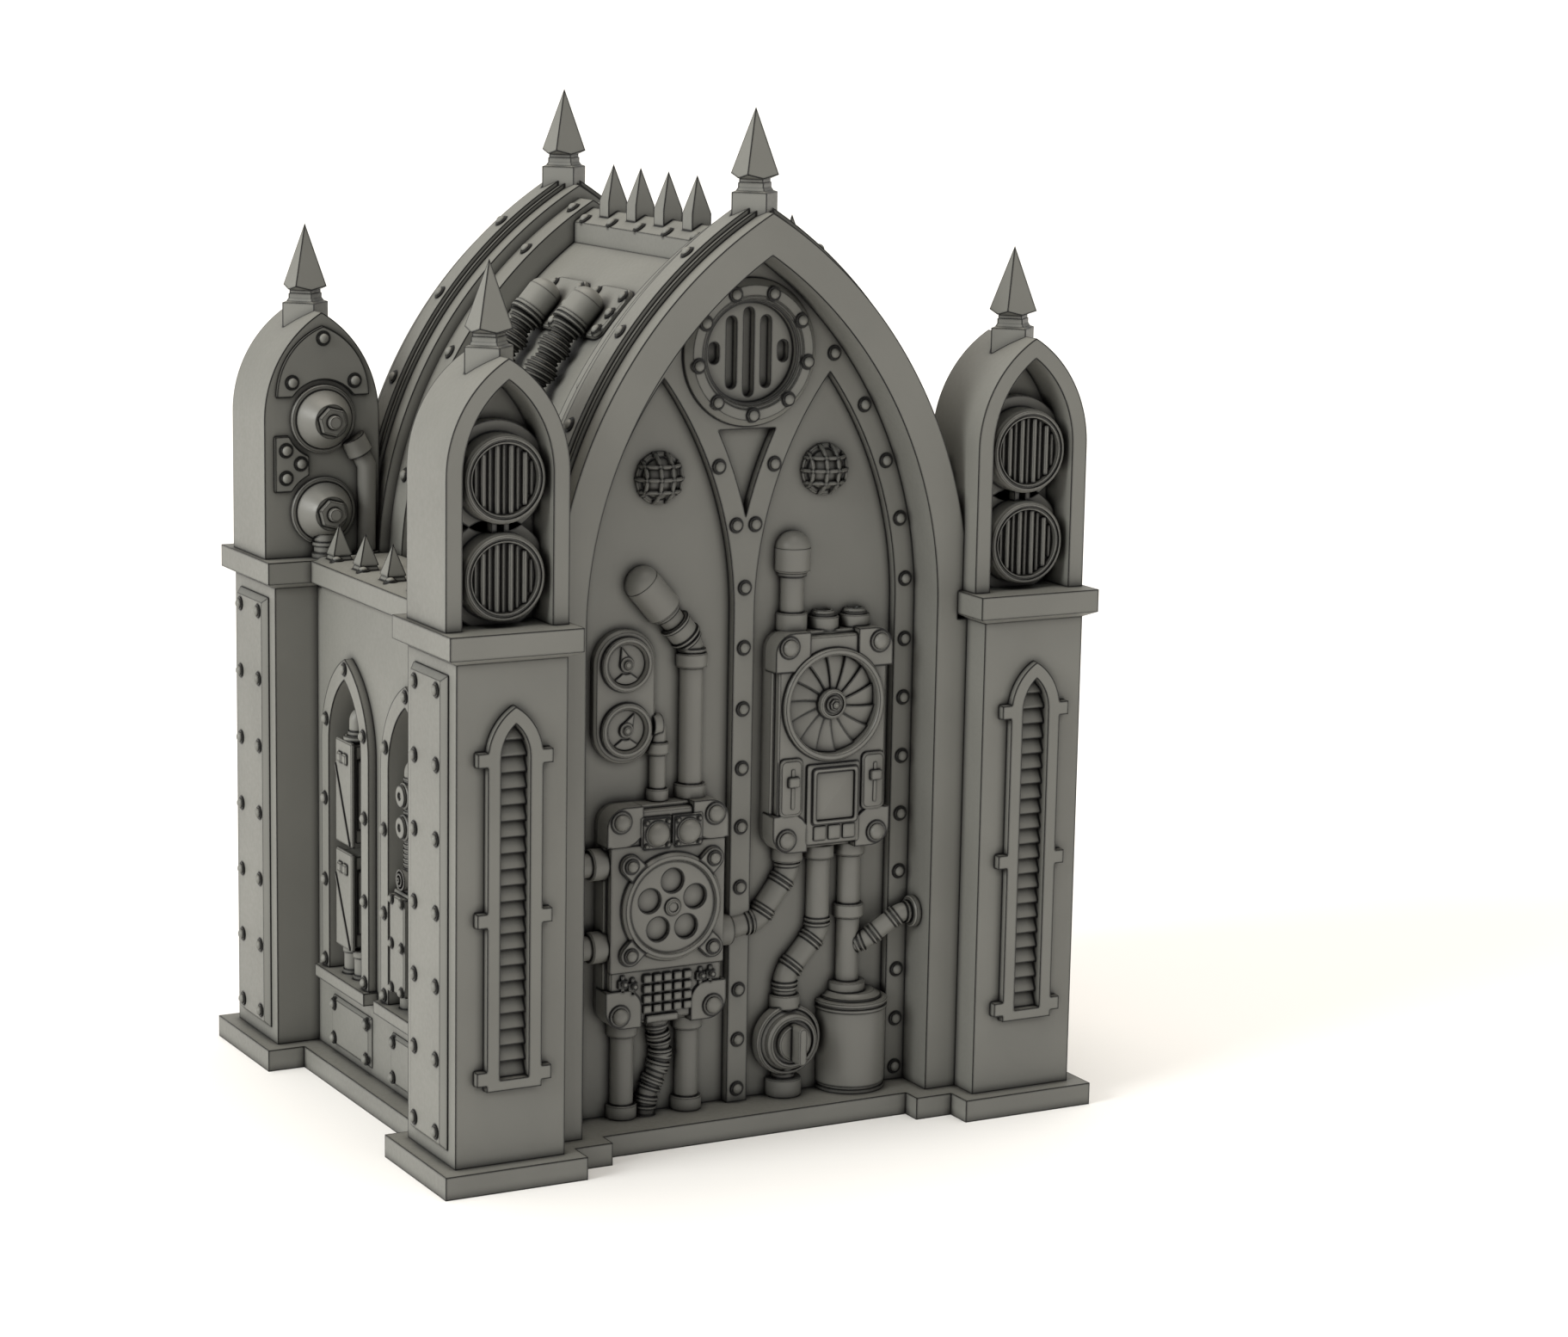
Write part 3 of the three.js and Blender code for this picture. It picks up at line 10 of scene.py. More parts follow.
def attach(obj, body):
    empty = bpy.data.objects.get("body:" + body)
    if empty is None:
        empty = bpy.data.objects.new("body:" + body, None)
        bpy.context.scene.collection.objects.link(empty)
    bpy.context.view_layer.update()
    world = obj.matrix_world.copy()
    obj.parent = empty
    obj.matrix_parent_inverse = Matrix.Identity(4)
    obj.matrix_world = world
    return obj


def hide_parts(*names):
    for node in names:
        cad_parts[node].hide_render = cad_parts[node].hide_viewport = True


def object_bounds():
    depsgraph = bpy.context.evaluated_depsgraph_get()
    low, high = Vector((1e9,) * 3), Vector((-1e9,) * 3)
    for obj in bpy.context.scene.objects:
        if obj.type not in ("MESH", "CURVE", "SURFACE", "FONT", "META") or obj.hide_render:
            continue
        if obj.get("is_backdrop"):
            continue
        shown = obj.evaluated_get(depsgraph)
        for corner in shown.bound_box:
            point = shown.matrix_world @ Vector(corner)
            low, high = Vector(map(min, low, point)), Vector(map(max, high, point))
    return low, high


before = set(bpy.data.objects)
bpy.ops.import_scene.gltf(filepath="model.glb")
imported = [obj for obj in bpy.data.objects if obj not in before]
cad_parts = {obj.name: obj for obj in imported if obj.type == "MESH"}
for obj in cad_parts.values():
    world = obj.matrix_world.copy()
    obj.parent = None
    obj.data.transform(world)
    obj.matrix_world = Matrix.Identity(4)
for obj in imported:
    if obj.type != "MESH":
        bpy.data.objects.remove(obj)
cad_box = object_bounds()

# Clearances, and how far a piece is sunk into what carries it
FIT = 0.05
SOCKET_GAP = 0.1
SINK = 0.3

# Ground plan and plinth
PIER_X = 25.07  # pier axes, left and right of the middle
PIER_Y = 20.27  # pier axes, in front of and behind the middle
SHAFT_WIDTH = 10
CORNICE_WIDTH = 12
PLINTH_HEIGHT = 2

# Levels, from the plinth up
SHAFT_HEIGHT = 42.6
SPLAY_HEIGHT = 0.5
CORNICE_HEIGHT = 2
SPRING_DROP = 1.45  # from the cornice's top down to where the arches spring
SHAFT_TOP = PLINTH_HEIGHT + SHAFT_HEIGHT
CORNICE_FOOT = SHAFT_TOP + SPLAY_HEIGHT
CORNICE_TOP = CORNICE_FOOT + CORNICE_HEIGHT
ARCH_SPRING = CORNICE_TOP - SPRING_DROP

# Gable arches, all with the rib's centres
RIB_WIDTH = 3.05
RIB_PROUD = 1.98  # rib's face in front of the pier axes
RIB_DEPTH = 6.9
BAND_RISE = 0.82
BAND_INSET = 2.25  # raised band, in from both faces of the rib
RIB_HALF = PIER_X - SHAFT_WIDTH / 2 - FIT
RIB_RADIUS = 2 * RIB_HALF
RIB_FRONT = PIER_Y + RIB_PROUD
RIB_BACK = RIB_FRONT - RIB_DEPTH

# Tracery wall in each gable
TRACERY_RECESS = 4.05
PANEL_RECESS = 0.9
MULLION_HALF = 1
EDGE_STRIP = 1.97
LANCET_RADIUS = 34
SPANDREL_BAR = 2
SPANDREL_HALF = 4
OCULUS_DROP = 12.03  # from the rib's apex
OCULUS_OUTER = 6.3
OCULUS_HOLE = 4.6
OCULUS_PROUD = 0.95
SLOT_HALF = 0.5
SLOT_PITCH = 1.66
SLOT_LENGTH = 7.6
SLOT_SHORTENING = 0.72
SLOT_DEPTH = 0.7
TRACERY_FACE = RIB_FRONT - TRACERY_RECESS
PANEL_FACE = TRACERY_FACE - PANEL_RECESS
LANCET_EDGE = RIB_HALF - RIB_WIDTH - EDGE_STRIP
LANCET_MIDDLE = (LANCET_EDGE + MULLION_HALF) / 2
LANCET_HALF = LANCET_MIDDLE - MULLION_HALF

# Roof between the gables
ROOF_FRAME_DROP = 1
ROOF_FRAME_WIDTH = 2.95
RIDGE_DROP = 1.61
RIDGE_HALF = 1.9
ROOF_PANEL_DROP = 3.13
ROOF_SHELL = 2
CREST_PITCH = 5.5
CREST_COUNT = 4
CREST_HALF = 1.32  # half of the diagonal, as for the spikes on the deck
CREST_BLOCK = 0.9
CREST_POINT = 3.3
ROOF_FOOT = RIB_HALF - ROOF_FRAME_DROP

# Bellows units on the roof
BELLOWS_Y = 4.4
BELLOWS_TOP_ANGLE = 46.6  # plate's upper edge, in degrees round the roof
BELLOWS_TIP_ANGLE = 43.9
BELLOWS_PLATE_ANGLE = 8.4
BELLOWS_PLATE_HALF = 3.3
BELLOWS_PLATE_RISE = 0.5
BELLOWS_CYLINDER = 1.57
BELLOWS_SEAT = 0.3  # how deep the cylinder sits in its plate

# Side walls
SIDE_SETBACK = 4.07  # from the shafts' outer faces
SIDE_CORNICE_PROUD = 1
LEDGE_DEPTH = 4
LEDGE_BRACE = 4
DECK_THICKNESS = 0.3
DECK_BACK = 0.45
DECK_BEVEL = 0.55
DECK_SINK = 0.2
SPIKE_PITCH = 6.2
SPIKE_INSET = 1
SPIKE_FOOT = 1.42
SPIKE_HALF = 1.08
SPIKE_EAVE = 0.15
SPIKE_SHOULDER = 0.45
SPIKE_HEIGHT = 3.25
SIDE_FACE = PIER_X + SHAFT_WIDTH / 2 - SIDE_SETBACK
SIDE_INNER = RIB_HALF + FIT
SIDE_REACH = PIER_Y - SHAFT_WIDTH / 2 - FIT
CORNICE_REACH = PIER_Y - CORNICE_WIDTH / 2 - FIT
DECK_TOP = CORNICE_TOP + DECK_THICKNESS

# Side windows, their sills and the plates below
SIDE_WINDOW_Y = 6.9
SIDE_WINDOW_HALF = 5.5
SIDE_WINDOW_RADIUS = 9
SIDE_WINDOW_LEGS = 20.95  # from the sill to the springing
SIDE_WINDOW_BAR = 1.7
SIDE_WINDOW_PROUD = 0.8
SIDE_NICHE_DEPTH = 4
SILL_LIFT = 8.1  # sill's top over the plinth
SILL_HEIGHT = 1.15
SILL_PROUD = 1.4
SILL_HALF = 5.75
FOOT_PLATE_HALF = 4.5
FOOT_PLATE_LIFT = 0.75
FOOT_PLATE_HEIGHT = 4.6
FOOT_PLATE_PROUD = 0.35
SILL_TOP = PLINTH_HEIGHT + SILL_LIFT

# Equipment in the side niches, from the niche's back and sill
METER_WIDTH = 3.7
METER_SHIFT = 0.3  # towards the rear
METER_PROUD = 4.8
METER_LIFT = 2.7
METER_HEIGHT = 9
METER_GAP = 0.6
METER_TALL_HEIGHT = 9.5
METER_PIPE_RADIUS = 0.7
METER_PIPE_OUT = 3.45
METER_PIPE_LENGTH = 2.2
METER_FOOT_RADIUS = 0.75
METER_FOOT_PITCH = 2.4
COIL_WIDTH = 3.6
COIL_SHIFT = 1.4  # towards the rear
COIL_PROUD = 5
COIL_LIFT = 1.3
COIL_HEIGHT = 9.4
NICHE_HOSE_RADIUS = 0.8
NICHE_HOSE_OUT = 3.5
NICHE_HOSE_HEIGHT = 11.2  # over the coil's box
NICHE_KNOB_RADIUS = 1.15
NICHE_KNOB_TIP = 0.95
NICHE_KNOB_PROUD = 4.7
NICHE_KNOB_LIFT = 16.5
NICHE_KNOB_PITCH = 2.8

# Piers
PLATE_HALF = 3.5
PLATE_LIFT = 1.3
PLATE_DROP = 1.1
PLATE_PROUD = 0.6
LOUVRE_HALF = 2.48
LOUVRE_LIFT = 6.55
LOUVRE_DROP = 3.65
LOUVRE_BAR = 1.16
LOUVRE_SILL = 0.93
LOUVRE_PROUD = 0.73
LOUVRE_DEPTH = 0.7
LOUVRE_PITCH = 1.36
LUG_LIFT = 1.15
LUG_REACH = 0.9
LUG_HEIGHT = 1.2
LOUVRE_FOOT = PLINTH_HEIGHT + LOUVRE_LIFT
LOUVRE_APEX = SHAFT_TOP - LOUVRE_DROP

# Pinnacles
PINNACLE_WIDTH = 11.06
PINNACLE_DEPTH = 8.03
PINNACLE_LEGS = 12.56
NICHE_INSET = 1.48
VENT_RADIUS = 3.7
VENT_RIM = 0.75
VENT_DISH = 0.7
VENT_LIFT = 0.4
VENT_PITCH = 8.1
VENT_FRONT_INSET = 0.5
VENT_BAR = 0.45
VENT_BAR_PITCH = 1.1
VENT_BAR_INSET = 1.6
PINNACLE_SPRING = CORNICE_TOP + PINNACLE_LEGS
PINNACLE_HALF = PINNACLE_WIDTH / 2
PINNACLE_FACE = PINNACLE_DEPTH / 2

# Plates, insulators and conduit on the pinnacles' inner faces
CROWN_PLATE_PROUD = 0.35
CROWN_PLATE_HALF = 4.4
CROWN_PLATE_LIFT = 2.09  # over the pinnacle's springing
CROWN_PLATE_HEIGHT = 6.25
CROWN_SWEEP = 0.5  # clearance round the knobs
SIDE_PLATE_EDGE = 4.6
SIDE_PLATE_REACH = 3.2
SIDE_PLATE_LIFT = 6.1
SIDE_PLATE_HEIGHT = 5
KNOB_LIFT = 4.2
KNOB_PITCH = 8.35
KNOB_RADIUS = 3.1
KNOB_RIM = 0.4
KNOB_CONE = 2.64
KNOB_NECK = 1.55
KNOB_LENGTH = 2.3
NUT_RADIUS = 1.35
NUT_HEIGHT = 0.5
STUD_RADIUS = 0.62
STUD_HEIGHT = 0.5
CONDUIT_OFFSET = 4.15
CONDUIT_RADIUS = 0.85
CONDUIT_OUT = 0.3
CONDUIT_DROP = 4.35  # from the upper knob to the elbow
CONDUIT_RUN = 2.3
CONDUIT_SLEEVE = 1.15
CONDUIT_SLEEVE_LENGTH = 1.5
STUB_OUT = 0.65
STUB_RADIUS = 1.05
STUB_DROP = 2
INNER_ROOM = 8
KNOB_HEIGHTS = [CORNICE_TOP + KNOB_LIFT, CORNICE_TOP + KNOB_LIFT + KNOB_PITCH]

# Finials
FINIAL_STAND = 7.7  # tip over the apex that it stands on
FINIAL_HEIGHT = 9.35
FINIAL_BLOCK_HALF = 2.2

# Cabinets on the front wall
CABINET_HALF = 5.7
CABINET_RISE = 9.65  # half of its height
CABINET_DEPTH = 2.6
CABINET_BACK = 1.9
CABINET_STEP = 0.35
CABINET_CORNER = 1.6
POWER_CABINET_LIFT = 18.3  # cabinets' middles over the plinth
FAN_CABINET_LIFT = 32.25
POWER_CABINET_Z = PLINTH_HEIGHT + POWER_CABINET_LIFT
FAN_CABINET_Z = PLINTH_HEIGHT + FAN_CABINET_LIFT
CABINET_FACE = PANEL_FACE + CABINET_DEPTH

# Power cabinet: button plates, holed disc, keys and side stubs
BUTTON_Z = 7.3
SPEAKER_X = 0.2
SPEAKER_Z = 0.8
SPEAKER_HOLES = 5
SPEAKER_HOLE_PLACE = 2.3
KEYS_X = 0.15
KEYS_Z = 6.3
STUB_HEIGHTS = [4.7, -2.6]
STUB_REACH = 3.3
STUB_SLEEVE = 1.2
STUB_AXIS = 1.3  # in front of the wall panel

# Fan cabinet: fan, sliders, screen and the stubs on its top
FAN_Z = 3.2
FAN_OUTER = 4.75
FAN_HOLE = 4.4
FAN_HUB = 1.3
SLIDER_X = 4.1
SLIDER_Z = 3.9
SCREEN_X = 0.1
SCREEN_Z = 5.6
TOP_STUBS = 2
TOP_STUB_COLLAR = 1.1
TOP_STUB_HEIGHT = 1.6

# Pipes on the front wall
PIPE_PITCH = 3.15
PIPE_OUT = 0.5  # pipe axes in front of the wall panels
PIPE_RADIUS = 1.05
COLLAR_RADIUS = 1.38
COLLAR_LENGTH = 1.25
WIDE_COLLAR = 1.65
CAP_RADIUS = 1.6
CAP_DOME = 1.45
HORN_ELBOW = 13.45  # over the power cabinet
HORN_RUN_X = 5.78
HORN_RUN_Z = 6.6
HORN_CAP = 4.8
HORN_COLLAR = 11.45
CAP_PIPE_HEIGHT = 8.7  # over the fan cabinet
CAP_PIPE_CAP = 3.5
HOSE_RADIUS = 0.85
HOSE_OUT = 0.1
CROSS_DROP = 2.3
CROSS_BEND_X = 4.2
CROSS_BEND_Z = 0.6
CROSS_FOOT = 2.6
CROSS_SLEEVE = 1.4
VALVE_DROP = 8
VALVE_BEND = 3.6
PIPE_AXIS_Y = PANEL_FACE + PIPE_OUT

# Gauge plate and its feed pipe, over the power cabinet
GAUGE_X = 3.3
GAUGE_LIFT = 6.45
GAUGE_PITCH = 5.7
GAUGE_PLATE_HALF = 2.95
GAUGE_PLATE_PROUD = 0.9
GAUGE_RADIUS = 2.35
GAUGE_RIM = 0.4
GAUGE_PROUD = 1.4
FEED_RADIUS = 0.72
FEED_SLEEVE = 0.98
FEED_SLEEVE_LENGTH = 1.05
FEED_SLEEVE_LIFT = 4.05
FEED_ELBOW = 5.95
FEED_RISE = 0.7
FEED_END = 2.6

# Valve, tank and lamps
VALVE_LIFT = 5.2
VALVE_RADIUS = 3.2
VALVE_STEPS = [[1, 1.1], [0.78, 1.9], [0.5, 2.3]]  # share of the radius, how far out
VALVE_BAR_HALF = 0.4
VALVE_BAR_RISE = 1.7
VALVE_BAR_OUT = 3.7
VALVE_COLLAR_LIFT = 2.8
TANK_OFFSET = 0.4  # tank's axis beyond its feed pipe
TANK_RADIUS = 3.2
TANK_HEIGHT = 8.9
TANK_LID = 0.6
TANK_LID_RADIUS = 2.75
TANK_BAND = 0.15
TANK_BAND_HEIGHT = 0.9
TANK_COLLAR_HEIGHT = 0.9
TANK_FEED_COLLAR = 5.7
BRANCH_LIFT = 12.9
BRANCH_RISE = 3
BRANCH_OUT = 1.8
BRANCH_BEND = 1.45
BRANCH_RADIUS = 0.85
FLANGE_RADIUS = 1.4
FLANGE_LENGTH = 0.6
LAMP_LIFT = 12.15  # over the arches' springing
LAMP_RADIUS = 2.25
LAMP_INSET = 0.09
LAMP_DEPTH = 1.85
LAMP_BASE = 0.4

FAR = 4 * PIER_X  # beyond everything, for cutting boxes

# Finer sizes that only the looks use
MM = 0.001
WELD = 0.0001  # points nearer than this are one
PAST = 1  # how far a cutting shape reaches past what it cuts
SHARP_ANGLE = math.radians(31)
ARC_STEPS = 24
ROUND = 48  # sides of round pieces
SMALL_ROUND = 20
HOSE_ROUND = 28
PIPE_ROUND = 32
DISC_ROUND = 64
WIDE_ROUND = 72
SPANDREL_ROUND = 180
ROUNDEST = 0.98  # a fully rounded end's radius, as a share of half its width
UP = (0, 0, 1)
FORWARD = (0, -1, 0)

# Rivets, and where they sit
RIVET = 0.45
SMALL_RIVET = 0.42
TINY_RIVET = 0.17
RIVET_WASHER = 0.6
RIVET_RISE = 0.12
RIVET_DOME = 0.8  # height of a rivet's dome, as a share of its radius
RIVET_ROUND = 16
PLATE_RIVET_INSET = 1.35
PLATE_RIVET_ROWS = 7
PLATE_RIVET_OUT = 2.25
CROWN_RIVETS = [(0, 5.2), (-3, 1.3), (3, 1.3)]  # across the pinnacle, over the plate's foot
SIDE_PLATE_RIVETS = [(1, 1.25), (2.4, 0), (1, -1.25)]  # in from the plate's edge, over its middle
OCULUS_RIVETS = 9
BAND_RIVETS = [12.4, 24.9, 37.4, 49.9]  # degrees round the arch
STRIP_RIVETS = [
    (8.36, 67.95), (11.47, 63.36), (13.76, 58.37), (15.29, 53.21), (15.97, 47.81), (16.05, 42.42),
    (16.05, 37.15), (16.05, 31.86), (16.05, 26.61), (16.05, 21.33), (16.05, 12.28), (16.05, 7.71),
    (16.05, 3.23),
]
FORK_RIVETS = [(2.67, 58.6), (0.92, 53.45)]
MULLION_RIVETS = [47.98, 42.72, 37.34, 32.09, 26.88, 21.49, 12.24, 7.7, 3.21]
RIDGE_RIVET_ANGLE = 56
FRAME_RIVETS = 6
FRAME_RIVET_FIRST = 13.1
FRAME_RIVET_PITCH = 8.75
BELLOWS_RIVETS = [-0.75, -0.05, 0.65]  # shares of the plate's half length
BELLOWS_RIVET_INSET = 0.65
WINDOW_RIVET_ANGLE = 15
WINDOW_RIVETS = [0.7, 8.15, 15.7]  # over the sill
FOOT_PLATE_RIVET_INSET = 0.68
DECK_RIVET = 0.4
DECK_RIVET_OUT = 0.65
DECK_RIVET_AHEAD = 0.95

# Finer forms of the walls, pinnacles and roof
PLATE_BEVEL = 0.8  # as a share of how proud a plate stands
LOUVRE_LIP = 0.22
LOUVRE_BACK = 1.5 * LOUVRE_DEPTH
CROWN_LEGS = 0.01
BAND_STEP = 0.45
SPIKE_EDGE = 0.12
VENT_FLANGE = 4.7
VENT_FLANGE_DEPTH = 1.4
VENT_LIP = 0.1
VENT_EDGE = [  # out from the radius and from the face
    (0, -0.45), (-0.1, -0.3), (-0.12, -0.12), (-0.25, 0), (-0.42, 0), (-0.46, -0.14), (-0.56, -0.14),
    (-0.6, -0.03),
]
VENT_SLATS = 9
VENT_SLAT_PITCH = 0.62
VENT_SLAT_HALF = 0.2
VENT_SLAT_KINDS = [(0.7, 0.42), (1, 0.25)]  # share of the width, in from the face
VENT_SLAT_CREST = 0.6
VENT_SLAT_BEVEL = 0.08
CONE_LIFT = 0.1
CONE_BOW = 0.05
CONE_STEPS = 8
KNOB_EDGE = 0.12
NUT_EDGE = 0.1
NUT_SHOULDER = 0.08
CONDUIT_TOP = 0.6  # share of the way up to the upper insulator
CONDUIT_FOOT_HEIGHT = 0.35
CONDUIT_FOOT_GROWTH = 0.1
STUB_RINGS = [(0, 0), (0.2, 0), (0.2, 0.5), (0, 0.55), (0, 1.1), (0.15, 1.15), (0.15, 1.5), (0, 1.55)]
OCULUS_EDGE = 0.3
OCULUS_CHAMFER = 0.55
OCULUS_STEPS = [(0.3, 0), (0.2, -0.15), (0, -0.15), (-0.1, -0.35), (-0.3, -0.35)]
BELLOWS_PLATE_ROOT = 1
BELLOWS_PLATE_CORNER = 1.2
BELLOWS_PLATE_BEVEL = 0.15
BELLOWS_FOOT_RINGS = [
    (0.12, 0), (0.12, 0.3), (-0.03, 0.34), (-0.03, 0.44), (0.08, 0.48), (0.08, 0.75), (0, 0.8),
]
BELLOWS_EDGE = 0.05
BELLOWS_DOME_RISE = 1.15
BELLOWS_RING_PITCH = 0.42
BELLOWS_WAVE = 2.3
BELLOWS_MEAN = 1.36
BELLOWS_SWELL = 0.22
BELLOWS_GROOVE = 0.24

# Finer forms of the equipment in the side niches
NICHE_BEND = 0.8  # how far a bend reaches, as a share of the pipe's radius
METER_LID = 0.35
METER_STEP = 0.3
METER_EDGE = 0.12
METER_BAND = 1.6
METER_BAR = 0.4
METER_BAR_DROP = 2.3
METER_WINDOW = 0.45  # half of its side
METER_WINDOWS = [0.6, -0.55]
METER_WINDOW_DROP = 1.6
COIL_BEVEL = 0.2
COIL_LID = 0.45
COIL_LID_EDGE = 0.15
COIL_LID_INSET = 0.3
COIL_RIVET = 0.34
COIL_RIVET_Y = 1.1
COIL_RIVET_Z = 4
COIL_TURNS = 3
COIL_WIRE = 0.18
COIL_RISE = 0.1
NICHE_HOSE_RIB = 0.09
NICHE_HOSE_PITCH = 0.42
NICHE_KNOB_LINE = [  # radius, and height over the knob's front
    (NICHE_KNOB_RADIUS, -0.35), (NICHE_KNOB_RADIUS - 0.1, -0.25), (NICHE_KNOB_TIP, -0.25),
    (NICHE_KNOB_TIP, 0), (0.7 * NICHE_KNOB_TIP, 0.06), (0.35, 0.06), (0.3, -0.1), (0, -0.1),
]

# Finer forms of the cabinets; each LINE is the radii and heights of a turned piece
CABINET_EDGE = 0.15
CABINET_BOLT_X = 4.5
CABINET_BOLT_Z = 8.53
CABINET_BOLT = 0.72
BRACKET_REACH = 3.3
BRACKET_BEND = 1.7
BRACKET_GROWTH = 0.1
BRACKET_PROUD = 0.2
BRACKET_START = 0.7
BRACKET_STEPS = 8
PANEL_EDGE = 0.12
PANEL_SHOULDER = 0.6  # how far back a bevel starts, as a share of its width
BUTTONS_X = [-1.2, 1.8]  # from the cabinet's middle
BUTTON_PLATES = [(1.42, 0.3), (1.25, 0.48)]  # half of the side, how proud
BUTTON_SEAT = 0.3
BUTTON_LINE = [
    (1.12, 0), (1.12, 0.28), (1.02, 0.34), (1, 0.42), (0.92, 0.62), (0.74, 0.84), (0.45, 1), (0, 1.06),
]
BUTTON_RIVET = 1.02
BUTTON_RIVET_PROUD = 0.46
SPEAKER_PANEL_INSET = 0.25
SPEAKER_PANEL_RISE = 5.5
SPEAKER_PANEL_PROUD = 0.32
SPEAKER_PANEL_BEVEL = 0.2
SPEAKER_SEAT = 0.3
SPEAKER_ROOT = 0.2
SPEAKER_RING = 4.5
SPEAKER_RIM_LINE = [
    (SPEAKER_RING + 0.25, 0), (SPEAKER_RING + 0.25, 0.35), (SPEAKER_RING, 0.62), (SPEAKER_RING - 0.35, 0.62),
    (SPEAKER_RING - 0.5, 0.4), (SPEAKER_RING - 0.5, -SPEAKER_ROOT), (SPEAKER_RING + 0.1, -SPEAKER_ROOT),
]
SPEAKER_PLATE = 4.08
SPEAKER_PLATE_PROUD = 0.42
SPEAKER_HOLE = 1.08
SPEAKER_HOLE_FLOOR = 0.05
SPEAKER_HUB_LINE = [(0.72, -SPEAKER_ROOT), (0.72, 0.55), (0.6, 0.68), (0.45, 0.68), (0.42, 0.58), (0, 0.58)]
SPEAKER_LUG_X = 3.95
SPEAKER_LUG_Z = 3.93
SPEAKER_LUG = 0.95
SPEAKER_LUG_LENGTH = 1.25
SPEAKER_LUG_PROUD = 0.5
SPEAKER_BOLT = 0.48
KEY_ROWS = 4
KEY_COLUMNS = 5
KEY_PITCH = 0.97
KEY_ROW_PITCH = 0.9
KEY_HALF = 0.36
KEY_RISE = 0.33
KEY_PROUD = 0.42
KEY_EDGE = 0.08
KEYS_X = 0.05
KEYS_Z = 6.83
LONG_KEY_X = 0.45
LONG_KEY_Z = 9.08
LONG_KEY_HALF = 1.5
LONG_KEY_RISE = 0.3
LONG_KEY_PROUD = 0.4
TOGGLES = [(-4.2, -5.75), (-3.25, -6.05), (3.3, -5.8), (4.25, -5.75)]  # from the cabinet's middle
TOGGLE_PLATES = [(0.16, 0.75, 0.2, 0.04), (0.42, 0.34, 0.3, 0.06)]  # half sides, how proud, bevel
TOGGLE_LENGTH = 0.75
TOGGLE_RISE = 0.1
TOGGLE_FOOT = 0.2
TOGGLE_TIP = 0.26
STUB_LINE = [
    (COLLAR_RADIUS - 0.08, 0), (COLLAR_RADIUS, 0.08), (COLLAR_RADIUS, STUB_SLEEVE + SINK - 0.1),
    (COLLAR_RADIUS - 0.1, STUB_SLEEVE + SINK), (PIPE_RADIUS, STUB_SLEEVE + SINK),
    (PIPE_RADIUS, STUB_REACH - STUB_AXIS + PIPE_RADIUS + SINK),
]
FAN_POCKET = 1.3
FAN_RIM_LINE = [
    (FAN_OUTER + 0.25, -0.2), (FAN_OUTER + 0.25, 0.3), (FAN_OUTER + 0.1, 0.48), (FAN_HOLE + 0.1, 0.48),
    (FAN_HOLE, 0.35), (FAN_HOLE - 0.05, -1.2), (FAN_OUTER, -1.2),
]
FAN_BLADES = 14
FAN_BLADE_STEPS = 6
FAN_OVERLAP = 1.04  # blade's width as a share of its pitch
FAN_ROOT = 0.8 * FAN_HUB
FAN_SWEEP = 0.12
FAN_TILT = 0.1
FAN_SINK = 0.45  # blades behind the cabinet's face
FAN_SHEET = 0.1
FAN_HUB_LINE = [
    (FAN_HUB, -1.4), (FAN_HUB, 0.1), (FAN_HUB - 0.12, 0.22), (FAN_HUB - 0.3, 0.22), (FAN_HUB - 0.36, 0.12),
    (0.8, 0.12), (0.78, 0.3), (0, 0.3),
]
FAN_NUT_LINE = [(0.52, 0.2), (0.52, 0.5), (0.44, 0.56)]
FAN_PIN_LINE = [(0.26, 0.4), (0.26, 0.66), (0.2, 0.7)]
SLIDER_PLATES = [(1.13, 2.55, 0.5, 0.25), (0.9, 2.3, 0.4, 0.34)]  # half sides, corner, how proud
# lift, half sides, how proud, bevel
SLIDER_BARS = [(-0.1, 0.14, 1.75, 0.42, 0.04), (0.55, 0.52, 0.42, 0.72, 0.1)]
SLIDER_SHIFT = 0.1
SCREEN_PLATE = (2.6, 3.55, 0.2)  # half sides and corner, as for the three below
SCREEN_FRAME = (2.25, 2.5, 0.3)
SCREEN_OPENING = (1.9, 2.15, 0.2)
SCREEN_GLASS = (1.85, 2.1, 0.15)
SCREEN_PLATE_PROUD = 0.28
SCREEN_FRAME_PROUD = 0.5
SCREEN_GLASS_PROUD = 0.36
SCREEN_GLASS_EDGE = 0.05
SCREEN_GLASS_X = 0.2  # from the cabinet's middle
SCREEN_GLASS_LIFT = 0.72
SCREEN_KEY_PITCH = 1.45
SCREEN_KEY_DROP = 2.55
SCREEN_KEY_HALF = 0.58
SCREEN_KEY_RISE = 0.6
SCREEN_KEY_PROUD = 0.46
SCREEN_KEY_EDGE = 0.1
TOP_STUB_LINE = [
    (1.15, 0), (1.15, 0.2), (1.02, 0.25), (0.9, TOP_STUB_HEIGHT - TOP_STUB_COLLAR),
    (0.62, TOP_STUB_HEIGHT - TOP_STUB_COLLAR), (0.55, 0.3), (0, 0.3),
]

